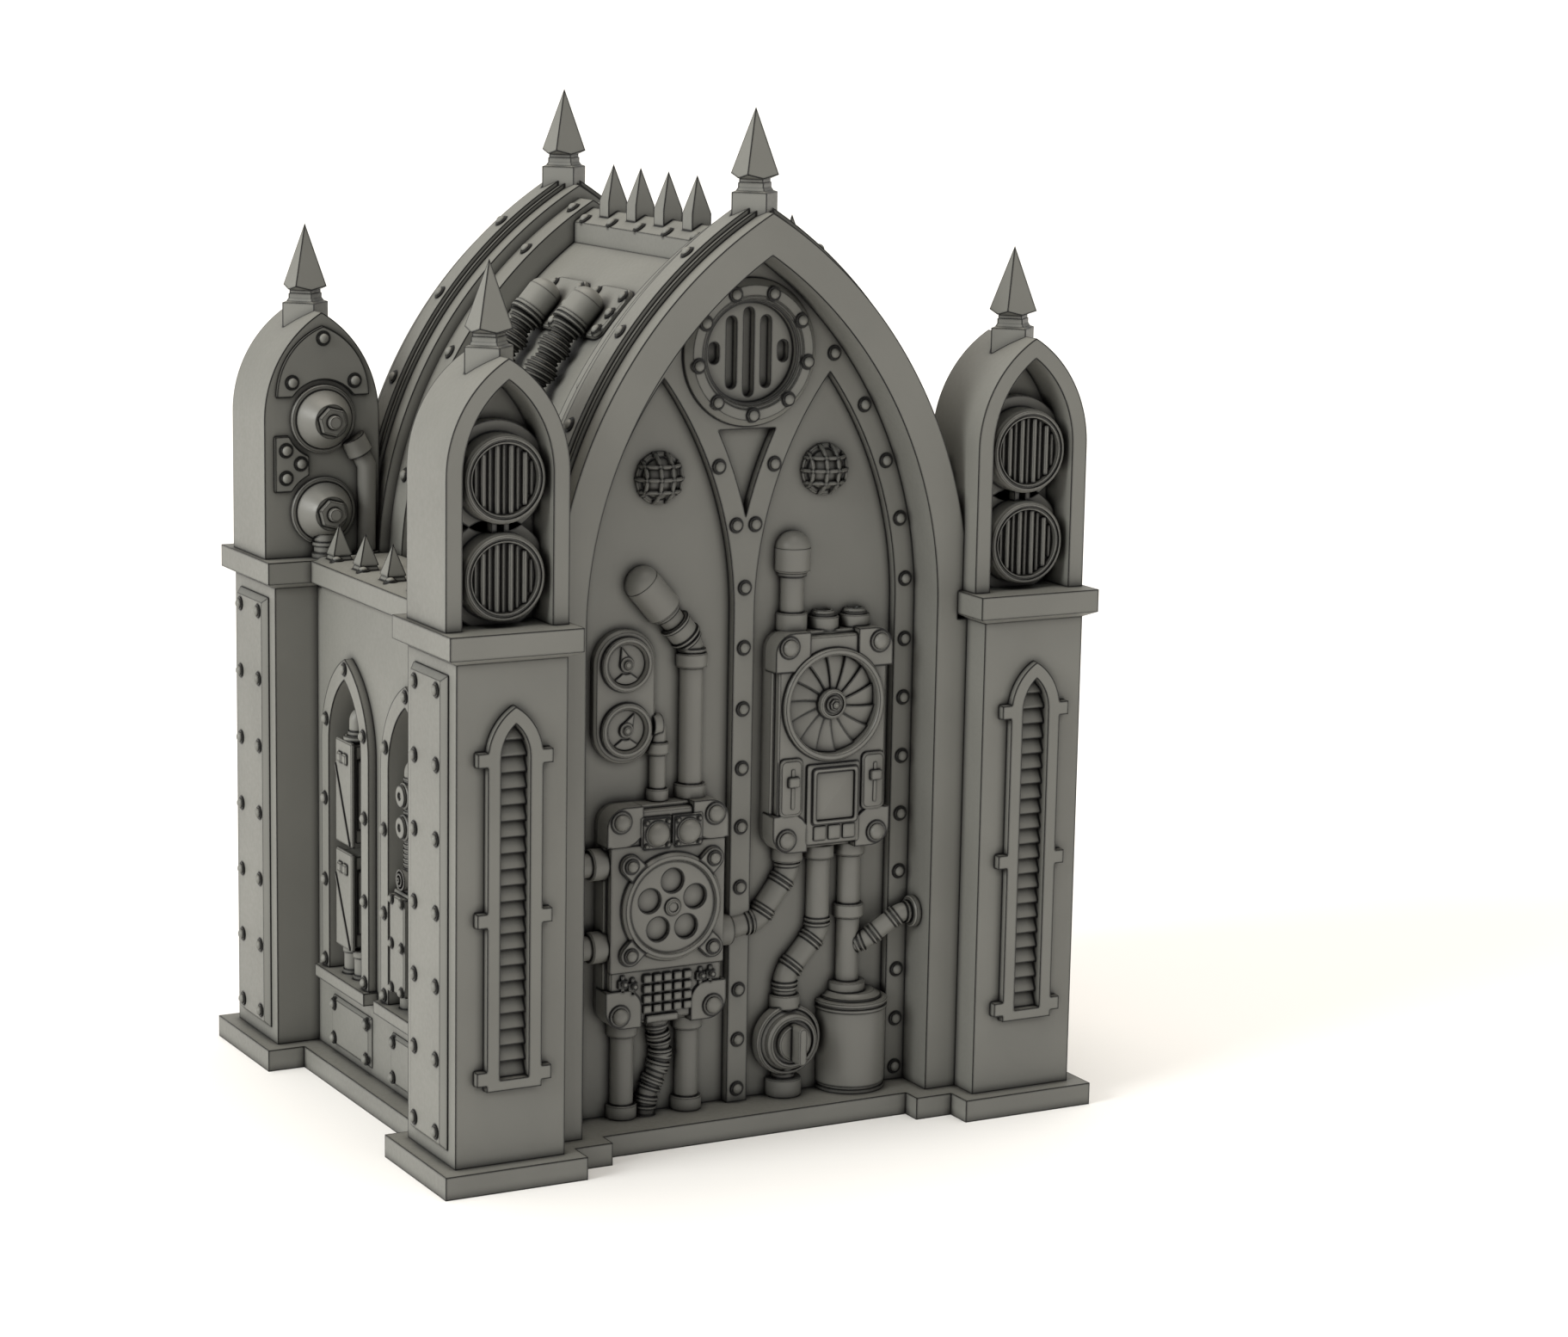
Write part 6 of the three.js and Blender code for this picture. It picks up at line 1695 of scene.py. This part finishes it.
def fan_cabinet():
    """Right cabinet: fan, sliders, screen, and pipe stubs on its top"""
    x, z = LANCET_MIDDLE, FAN_CABINET_Z
    middle, face = z + FAN_Z, -CABINET_FACE
    hub = (x, face, middle)
    hollow = prism(disc(FAN_HOLE, x, middle, WIDE_ROUND), "y", face + FAN_POCKET, -FAR)
    parts = [
        cabinet(x, z, hollow), turned(FAN_RIM_LINE, hub, FORWARD, WIDE_ROUND, True),
        turned(FAN_HUB_LINE, hub, FORWARD), turned(FAN_NUT_LINE, hub, FORWARD, 6),
        turned(FAN_PIN_LINE, hub, FORWARD, SMALL_ROUND),
    ]
    half = FAN_OVERLAP * math.pi / FAN_BLADES
    for i in range(FAN_BLADES):
        angle = 2 * math.pi * i / FAN_BLADES
        rings = []
        for step in range(FAN_BLADE_STEPS + 1):
            share = step / FAN_BLADE_STEPS
            radius = FAN_ROOT + (FAN_HOLE - FAN_ROOT) * share
            tilt = FAN_TILT * (0.5 + share)
            low, high = angle + FAN_SWEEP * share - half, angle + FAN_SWEEP * share + half
            edges = ((low, FAN_SINK + tilt), (high, FAN_SINK - tilt))
            rings.append([
                (x + radius * math.cos(a), face + depth + sheet, middle + radius * math.sin(a))
                for sheet in (0, FAN_SHEET) for a, depth in (edges if sheet == 0 else edges[::-1])
            ])
        parts.append(loft(rings))
    for offset in (-SLIDER_X, SLIDER_X):
        across, height = x + offset, z - SLIDER_Z
        for half_a, half_b, corner, proud in SLIDER_PLATES:
            parts.append(on_cabinet(rounded(half_a, half_b, corner, across, height), proud))
        for lift, half_a, half_b, proud, bevel in SLIDER_BARS:
            outline = rectangle(across + SLIDER_SHIFT, height + lift, half_a, half_b)
            parts.append(on_cabinet(outline, proud, bevel))
    screen_z = z - SCREEN_Z
    glass = (x + SCREEN_GLASS_X, screen_z + SCREEN_GLASS_LIFT)
    parts += [
        on_cabinet(rounded(*SCREEN_PLATE, x + SCREEN_X, screen_z), SCREEN_PLATE_PROUD),
        ring_plate(rounded(*SCREEN_FRAME, *glass), rounded(*SCREEN_OPENING, *glass), SCREEN_FRAME_PROUD),
        on_cabinet(rounded(*SCREEN_GLASS, *glass), SCREEN_GLASS_PROUD, SCREEN_GLASS_EDGE),
    ]
    for i in (-1, 0, 1):
        across, height = glass[0] + i * SCREEN_KEY_PITCH, screen_z - SCREEN_KEY_DROP
        key = rectangle(across, height, SCREEN_KEY_HALF, SCREEN_KEY_RISE)
        parts.append(on_cabinet(key, SCREEN_KEY_PROUD, SCREEN_KEY_EDGE))
    top = z + CABINET_RISE
    for i in range(TOP_STUBS):
        across = x + i * PIPE_PITCH
        parts.append(collar(across, top - SINK, top + TOP_STUB_COLLAR))
        parts.append(turned(TOP_STUB_LINE, (across, -PIPE_AXIS_Y, top + TOP_STUB_COLLAR), UP, PIPE_ROUND))
    return together(*parts)


def ring_plate(outer, inner, proud):
    """A frame between two outlines of as many points, standing on a cabinet's face"""
    near, far = -CABINET_FACE + SINK, -CABINET_FACE - proud
    return loft([
        [(a, near, b) for a, b in outer], [(a, far, b) for a, b in outer],
        [(a, far, b) for a, b in inner], [(a, near, b) for a, b in inner],
    ], True)


def gauge_plate():
    """Plate with two round gauges and the thin pipe that feeds it"""
    x = -LANCET_MIDDLE - GAUGE_X
    top = POWER_CABINET_Z + CABINET_RISE
    low = top + GAUGE_LIFT
    middle = low + GAUGE_PITCH / 2
    half = GAUGE_PLATE_HALF + GAUGE_PITCH / 2
    corner = GAUGE_PLATE_HALF * ROUNDEST

    def outline(inset):
        return rounded(GAUGE_PLATE_HALF - inset, half - inset, corner - inset, x, middle, GAUGE_ROUND)

    face = -PANEL_FACE - GAUGE_PLATE_PROUD
    parts = [bevelled(outline(0), outline(GAUGE_BEVEL), "y", -PANEL_FACE + SINK, face + GAUGE_BEVEL, face)]
    for z, swing in zip((low, low + GAUGE_PITCH), GAUGE_SWINGS):
        angle = math.radians(swing)
        across, up = math.cos(angle), math.sin(angle)
        needle = [
            (x + along * across - out * up, z + along * up + out * across)
            for along, out in GAUGE_NEEDLE
        ]
        sector = arc(x, z, *GAUGE_SECTOR_OUTER) + arc(x, z, *GAUGE_SECTOR_INNER)
        parts += [
            turned(GAUGE_RIM_LINE, (x, face, z), FORWARD, DISC_ROUND, True),
            turned(GAUGE_DIAL_LINE, (x, face, z), FORWARD, DISC_ROUND),
            prism(needle, "y", face + SINK, face - GAUGE_NEEDLE_PROUD),
            prism(sector, "y", face + SINK, face - GAUGE_SECTOR_PROUD),
            turned(GAUGE_HUB_LINE, (x, face, z), FORWARD, PIPE_ROUND),
        ]
    y, elbow = -PIPE_AXIS_Y, top + FEED_ELBOW + FEED_RISE
    route = [(-LANCET_MIDDLE, y, top), (-LANCET_MIDDLE, y, elbow), (x + FEED_END, y, elbow)]
    parts.append(tube(filleted(route, FEED_BEND), FEED_RADIUS, HOSE_ROUND))
    for lift in (0, FEED_SLEEVE_LIFT):
        parts.append(collar(-LANCET_MIDDLE, top + lift, top + lift + FEED_SLEEVE_LENGTH, FEED_SLEEVE))
    inside = (x + GAUGE_PLATE_HALF + FEED_ELBOW_SINK, y, elbow)
    parts.append(rod((x + FEED_END, y, elbow), inside, FEED_ELBOW_RADIUS, PIPE_ROUND))
    return together(*parts)


def horn_pipe():
    """Pipe on the left cabinet, bent up and left to a domed cap"""
    x, y = -LANCET_MIDDLE + PIPE_PITCH, -PIPE_AXIS_Y
    top = POWER_CABINET_Z + CABINET_RISE
    foot, elbow = Vector((x, y, top)), Vector((x, y, top + HORN_ELBOW))
    tip = Vector((x - HORN_RUN_X, y, top + HORN_ELBOW + HORN_RUN_Z))
    run = (tip - elbow).normalized()
    cap_foot = tip - run * HORN_CAP
    start = elbow + run * HORN_SLEEVE_START
    end = start + run * HORN_SLEEVE_LENGTH
    below, beyond = elbow + Vector(UP) * HORN_JOINTS[0], elbow + run * HORN_JOINTS[1]
    collars = top + HORN_COLLAR
    return together(
        tube(filleted([foot, elbow, cap_foot], HORN_BEND, HORN_BEND_STEPS), PIPE_RADIUS, PIPE_ROUND),
        domed_cap(cap_foot, tip),
        rod(start, end, HORN_SLEEVE),
        joint_rings(start, end, HORN_SLEEVE, HORN_SLEEVE_RINGS),
        joint_rings(below, below + Vector(UP), PIPE_RADIUS + JOINT_GROWTH),
        joint_rings(beyond, beyond + run, PIPE_RADIUS + JOINT_GROWTH),
        collar(x, top, top + COLLAR_LENGTH),
        collar(x, collars, collars + COLLAR_LENGTH),
    )


def cap_pipe():
    """Upright pipe with a domed cap on the right cabinet"""
    x = LANCET_MIDDLE - PIPE_PITCH
    top = FAN_CABINET_Z + CABINET_RISE
    tip = top + CAP_PIPE_HEIGHT
    return together(
        collar(x, top, tip - CAP_PIPE_CAP + FIT, PIPE_RADIUS),
        collar(x, top, top + CAP_PIPE_COLLAR),
        domed_cap((x, -PIPE_AXIS_Y, tip - CAP_PIPE_CAP), (x, -PIPE_AXIS_Y, tip)),
    )


def drain_pipe(offset):
    """Straight pipe from the left cabinet to the plinth"""
    x = -LANCET_MIDDLE + offset
    top = POWER_CABINET_Z - CABINET_RISE
    return together(
        collar(x, PLINTH_HEIGHT, top, PIPE_RADIUS),
        collar(x, top - COLLAR_LENGTH, top),
        collar(x, PLINTH_HEIGHT, PLINTH_HEIGHT + COLLAR_LENGTH),
    )


def ribbed_hose():
    """Ribbed hose swaying down between the drain pipes"""
    top = POWER_CABINET_Z - CABINET_RISE
    drop = top - PLINTH_HEIGHT
    y = -PIPE_AXIS_Y - HOSE_OUT
    route = [Vector((-LANCET_MIDDLE + across, y, top - share * drop)) for across, share in HOSE_SWAY]
    path = []
    for start, end in zip(route, route[1:]):
        path += [start.lerp(end, i / HOSE_STEPS) for i in range(HOSE_STEPS)]
    path.append(route[-1])
    for _ in range(HOSE_SMOOTHINGS):
        inner = [(before + stop * 2 + after) / 4 for before, stop, after in zip(path, path[1:], path[2:])]
        path = [path[0]] + inner + [path[-1]]
    parts = [tube(path, HOSE_RADIUS, PIPE_ROUND)]
    for i, stop in enumerate(path[:-1]):
        if i % 2 == 0:
            step = (path[i + 1] - stop).normalized()
            parts.append(joint_rings(stop, stop + step, HOSE_RIB, (0,) if i % 4 else (0, HOSE_PAIR)))
    return together(*[combined(part, *keep(box(-FAR, 0, -FAR, 0, PLINTH_HEIGHT, top))) for part in parts])


def segmented(points, radius, reach=BEND_REACH):
    """A pipe with rounded bends and rings at each end of every bend"""
    stops = [Vector(point) for point in points]
    parts = [tube(filleted(stops, reach, BEND_STEPS), radius, PIPE_ROUND)]
    for before, corner, after in zip(stops, stops[1:], stops[2:]):
        for other in (before, after):
            way = (other - corner).normalized()
            near, far = corner + way * reach, corner + way * (reach + JOINT_GAP)
            parts.append(joint_rings(near, near + way, radius))
            parts.append(joint_rings(far, far + way, radius - JOINT_SHRINK))
    return parts


def cross_pipe():
    """Pipe crossing from the right cabinet to the left one, over the mullion"""
    top = FAN_CABINET_Z - CABINET_RISE
    x = LANCET_MIDDLE - PIPE_PITCH
    side = -LANCET_MIDDLE + CABINET_HALF
    end = POWER_CABINET_Z - CROSS_FOOT
    y = -PIPE_AXIS_Y
    route = [
        (x, y, top), (x, y, top - CROSS_DROP), (side + CROSS_BEND_X, y, end + CROSS_BEND_Z), (side, y, end),
    ]
    return together(
        *segmented(route, PIPE_RADIUS), collar(x, top - COLLAR_LENGTH, top),
        rod((side, y, end), (side + CROSS_SLEEVE, y, end), COLLAR_RADIUS),
    )


def valve_pipe():
    """Pipe from the right cabinet into the valve, and from the valve to the plinth"""
    top = FAN_CABINET_Z - CABINET_RISE
    x, y, z = LANCET_MIDDLE - PIPE_PITCH, -PIPE_AXIS_Y, PLINTH_HEIGHT + VALVE_LIFT
    bend = top - VALVE_DROP
    route = [
        (LANCET_MIDDLE, y, top), (LANCET_MIDDLE, y, bend), (x, y, bend - VALVE_BEND), (x, y, PLINTH_HEIGHT),
    ]
    wheel = [(VALVE_RADIUS * VALVE_STEPS[0][0], 0)]
    for (share, out), steps in zip(VALVE_STEPS, VALVE_EDGES):
        wheel += stepped(VALVE_RADIUS * share, out, steps)

    def bar_outline(inset):
        half, rise, corner = VALVE_BAR_HALF - inset, VALVE_BAR_RISE - inset, VALVE_BAR_CORNER - inset
        return rounded(half, rise, corner, x, z, 5)

    front = y - VALVE_BAR_OUT
    return together(
        *segmented(route, PIPE_RADIUS), on_wall(turned(wheel, (x, y, z), FORWARD, DISC_ROUND)),
        bevelled(bar_outline(0), bar_outline(VALVE_BAR_EDGE), "y", y, front + VALVE_BAR_BEVEL, front),
        collar(LANCET_MIDDLE, top - COLLAR_LENGTH, top),
        collar(x, z + VALVE_COLLAR_LIFT, z + VALVE_COLLAR_LIFT + COLLAR_LENGTH),
        collar(x, PLINTH_HEIGHT, PLINTH_HEIGHT + VALVE_FOOT_COLLAR, WIDE_COLLAR),
    )


def tank():
    """Tank with its feed pipe and the branch into the arch's side"""
    y, feed_x = -PIPE_AXIS_Y, LANCET_MIDDLE + PIPE_PITCH
    feed_top = FAN_CABINET_Z - CABINET_RISE
    shoulder, top = TANK_HEIGHT - TANK_LID, PLINTH_HEIGHT + TANK_HEIGHT
    profile = stepped(TANK_RADIUS, 0, TANK_FOOT_RINGS) + stepped(TANK_RADIUS, shoulder, TANK_TOP_RINGS)
    profile += stepped(TANK_LID_RADIUS, shoulder, TANK_LID_STEPS)
    drum = turned(profile, (feed_x + TANK_OFFSET, y, PLINTH_HEIGHT), UP, WIDE_ROUND)
    reveal_x = RIB_HALF - RIB_WIDTH - FIT
    start, out = PLINTH_HEIGHT + BRANCH_LIFT, y - BRANCH_OUT
    branch = segmented([
        (feed_x, y, start),
        (feed_x + BRANCH_BEND, y - BRANCH_OUT / 2, start + BRANCH_BEND / 2),
        (reveal_x - BRANCH_BEND, out, start + BRANCH_RISE),
        (reveal_x, out, start + BRANCH_RISE),
    ], BRANCH_RADIUS, BRANCH_BEND_REACH)
    flange_line = [
        (BRANCH_RADIUS, 0), (FLANGE_RADIUS - FLANGE_EDGE, 0), (FLANGE_RADIUS, FLANGE_EDGE),
        (FLANGE_RADIUS, FLANGE_LENGTH),
    ]
    flange = turned(flange_line, (reveal_x - FLANGE_LENGTH, out, start + BRANCH_RISE), (1, 0, 0))
    low_collar = feed_top - TANK_FEED_COLLAR
    return together(
        on_wall(drum), collar(feed_x, top - SINK, top + TANK_COLLAR_HEIGHT, WIDE_COLLAR),
        collar(feed_x, top, feed_top, PIPE_RADIUS), collar(feed_x, feed_top - COLLAR_LENGTH, feed_top),
        collar(feed_x, low_collar - COLLAR_LENGTH, low_collar), *branch, flange,
    )


def lamp(x):
    """Round lamp on its base, in a cage of bars"""
    z = ARCH_SPRING + LAMP_LIFT
    reach = LAMP_RADIUS - LAMP_INSET
    start = (x, -PANEL_FACE, z)
    base = [(LAMP_RADIUS, 0), (LAMP_RADIUS, LAMP_BASE - LAMP_EDGE), (LAMP_RADIUS - LAMP_EDGE, LAMP_BASE)]
    parts = [
        turned(dome_line(reach - LAMP_CAGE, 0, LAMP_DEPTH - LAMP_CAGE, LAMP_STEPS), start, FORWARD),
        turned(base, start, FORWARD),
    ]
    angles = [math.radians(180 * i / LAMP_BAR_STEPS) for i in range(LAMP_BAR_STEPS + 1)]
    for level, shares in ((True, LAMP_LEVELS), (False, LAMP_UPRIGHTS)):
        for share in shares:
            wide = math.sqrt(1 - share ** 2)
            route = []
            for a in angles:
                along, aside = reach * wide * math.cos(a), reach * share
                across, up = (along, aside) if level else (aside, along)
                route.append((x + across, -PANEL_FACE - LAMP_DEPTH * wide * math.sin(a), z + up))
            parts.append(tube(route, LAMP_BAR, LAMP_BAR_ROUND))
    return together(*parts)


# Materials
def grey_plastic(name, light, crease_shade_colour, roughness):
    """Satin casting: two greys in soft patches, painted shade in creases from ambient occlusion, black lines
    on edges, fine grain
    """
    material = bpy.data.materials.new(name)
    material.use_nodes = True
    nodes, links = material.node_tree.nodes, material.node_tree.links
    shader = nodes["Principled BSDF"]
    shader.inputs["Specular IOR Level"].default_value = SPECULAR
    place = nodes.new("ShaderNodeTexCoord").outputs["Object"]

    def noise(scale, detail):
        node = nodes.new("ShaderNodeTexNoise")
        node.inputs["Scale"].default_value = scale
        node.inputs["Detail"].default_value = detail
        links.new(place, node.inputs["Vector"])
        return node.outputs["Fac"]

    def ranged(value, span, start, end):
        node = nodes.new("ShaderNodeMapRange")
        settings = {"From Min": span[0], "From Max": span[1], "To Min": start, "To Max": end}
        for socket, setting in settings.items():
            node.inputs[socket].default_value = setting
        links.new(value, node.inputs["Value"])
        return node.outputs["Result"]

    def mixed(factor, first, second):
        node = nodes.new("ShaderNodeMix")
        node.data_type = "RGBA"
        links.new(factor, node.inputs["Factor"])
        for value, socket in ((first, node.inputs["A"]), (second, node.inputs["B"])):
            if isinstance(value, tuple):
                socket.default_value = value
            else:
                links.new(value, socket)
        return node.outputs["Result"]

    patches = ranged(noise(PATCH_SCALE, 3), PATCH_RANGE, 0, 1)
    base = mixed(patches, light, tuple(PATCH_SHADE * value for value in light[:3]) + (1,))
    # painted shade: creases darkened by ambient occlusion
    occlusion_shade = nodes.new("ShaderNodeAmbientOcclusion")
    occlusion_shade.samples = NODE_SAMPLES
    occlusion_shade.inputs["Distance"].default_value = CREASE_SHADE_REACH * MM
    with_painted_shade = mixed(ranged(occlusion_shade.outputs["AO"], CREASE_SHADE_RANGE, 1, 0), base, crease_shade_colour)
    rounding = nodes.new("ShaderNodeBevel")
    rounding.samples = NODE_SAMPLES
    rounding.inputs["Radius"].default_value = EDGE_LINE * MM
    geometry = nodes.new("ShaderNodeNewGeometry")
    dot = nodes.new("ShaderNodeVectorMath")
    dot.operation = "DOT_PRODUCT"
    links.new(rounding.outputs["Normal"], dot.inputs[0])
    links.new(geometry.outputs["Normal"], dot.inputs[1])
    edges = ranged(dot.outputs["Value"], EDGE_RANGE, 1, 0)
    links.new(mixed(edges, with_painted_shade, LINE_BLACK), shader.inputs["Base Color"])
    grain = noise(GRAIN_SCALE, 2)
    rough = ranged(grain, GRAIN_RANGE, roughness - GRAIN_SMOOTHER, roughness + GRAIN_ROUGHER)
    links.new(rough, shader.inputs["Roughness"])
    bump = nodes.new("ShaderNodeBump")
    bump.inputs["Strength"].default_value = BUMP_STRENGTH
    bump.inputs["Distance"].default_value = BUMP_DEPTH * MM
    links.new(grain, bump.inputs["Height"])
    links.new(bump.outputs["Normal"], shader.inputs["Normal"])
    return material


def sun(name, strength, spread, place, colour):
    """A sun shining from a place in millimetres on the shrine's middle"""
    data = bpy.data.lights.new(name, "SUN")
    data.energy = strength
    data.color = colour
    data.angle = math.radians(spread)
    thing = bpy.data.objects.new(name, data)
    bpy.context.scene.collection.objects.link(thing)
    thing.location = [value * MM for value in place]
    aim = Vector((0, 0, CORNICE_TOP)) - Vector(place)
    thing.rotation_euler = aim.to_track_quat("-Z", "Y").to_euler()


def room():
    """Pale floor, soft light all round, one sun from the left and one from above"""
    outline = [(a, b, 0) for a, b in rectangle(0, 0, FLOOR_HALF, FLOOR_HALF)]
    floor = bpy.data.objects.new("floor", clean_mesh("floor", (outline, [(0, 1, 2, 3)]), MM))
    bpy.context.scene.collection.objects.link(floor)
    material = bpy.data.materials.new("floor")
    material.use_nodes = True
    shader = material.node_tree.nodes["Principled BSDF"]
    shader.inputs["Base Color"].default_value = FLOOR_GREY
    shader.inputs["Roughness"].default_value = FLOOR_ROUGHNESS
    floor.data.materials.append(material)
    floor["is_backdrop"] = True
    world = bpy.data.worlds.new("studio")
    bpy.context.scene.world = world
    world.use_nodes = True
    sky = world.node_tree.nodes["Background"]
    sky.inputs["Color"].default_value = (1, 1, 1, 1)
    sky.inputs["Strength"].default_value = SKY_STRENGTH
    for name, settings in SUNS.items():
        sun(name, *settings)
    bpy.context.scene.view_settings.view_transform = "Standard"


camera_data = bpy.data.cameras.new("camera")
camera_data.lens = CAMERA_LENS
camera_data.sensor_width = SENSOR
camera_data.sensor_fit = "HORIZONTAL"
camera_data.clip_start = CLIP_START
camera_data.clip_end = CLIP_END
camera = bpy.data.objects.new("camera", camera_data)
bpy.context.scene.collection.objects.link(camera)
turn = Matrix((CAMERA_RIGHT, CAMERA_UP, CAMERA_BACK)).transposed()
camera.matrix_world = Matrix.Translation(Vector(CAMERA_PLACE) * MM) @ turn.to_4x4()
bpy.context.scene.camera = camera
room()

materials = {
    "cast_grey": grey_plastic("cast_grey", CAST_LIGHT, CAST_CREASE_SHADE, CAST_ROUGHNESS),
    "machine_grey": grey_plastic("machine_grey", MACHINE_LIGHT, MACHINE_CREASE_SHADE, MACHINE_ROUGHNESS),
}
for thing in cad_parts.values():
    for slot in thing.material_slots:
        slot.material = materials["cast_grey"]

ENDS = {-1: "front", 1: "rear"}
HANDS = {-1: "left", 1: "right"}
for sx, sy in corners():
    spot = f"{ENDS[sy]}_{HANDS[sx]}"
    piece(f"pier_{spot}_look", pier(sx, sy), "cast_grey", f"pier_{spot}")
    piece(f"pinnacle_{spot}_look", pinnacle(sx, sy), "cast_grey", f"pinnacle_{spot}")
for side in (-1, 1):
    hand, end = HANDS[side], ENDS[side]
    piece(f"gable_{end}_look", gable(side), "cast_grey", f"gable_{end}")
    piece(f"side_wall_{hand}_look", side_wall(side), "cast_grey", f"side_wall_{hand}")
    piece(f"vents_{hand}_look", vents(side), "machine_grey", f"vents_{hand}")
    for level in ("upper", "lower"):
        insulators = insulator_set(side, level == "upper")
        piece(f"{level}_insulator_{hand}_look", insulators, "machine_grey", f"{level}_insulator_{hand}")
    piece(f"lamp_{hand}_look", lamp(side * LANCET_MIDDLE), "machine_grey", f"lamp_{hand}")
    piece(f"drain_pipe_{hand}_look", drain_pipe(side * PIPE_PITCH), "machine_grey", f"drain_pipe_{hand}")
piece("roof_look", roof(), "cast_grey", "roof")
machines = {
    "power_cabinet": power_cabinet, "fan_cabinet": fan_cabinet, "gauge_plate": gauge_plate,
    "horn_pipe": horn_pipe, "cap_pipe": cap_pipe, "ribbed_hose": ribbed_hose,
    "cross_pipe": cross_pipe, "valve_pipe": valve_pipe, "tank": tank,
}
for node, build in machines.items():
    piece(f"{node}_look", build(), "machine_grey", node)

box_lists = [[list(corner) for corner in bounds] for bounds in (cad_box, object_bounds())]
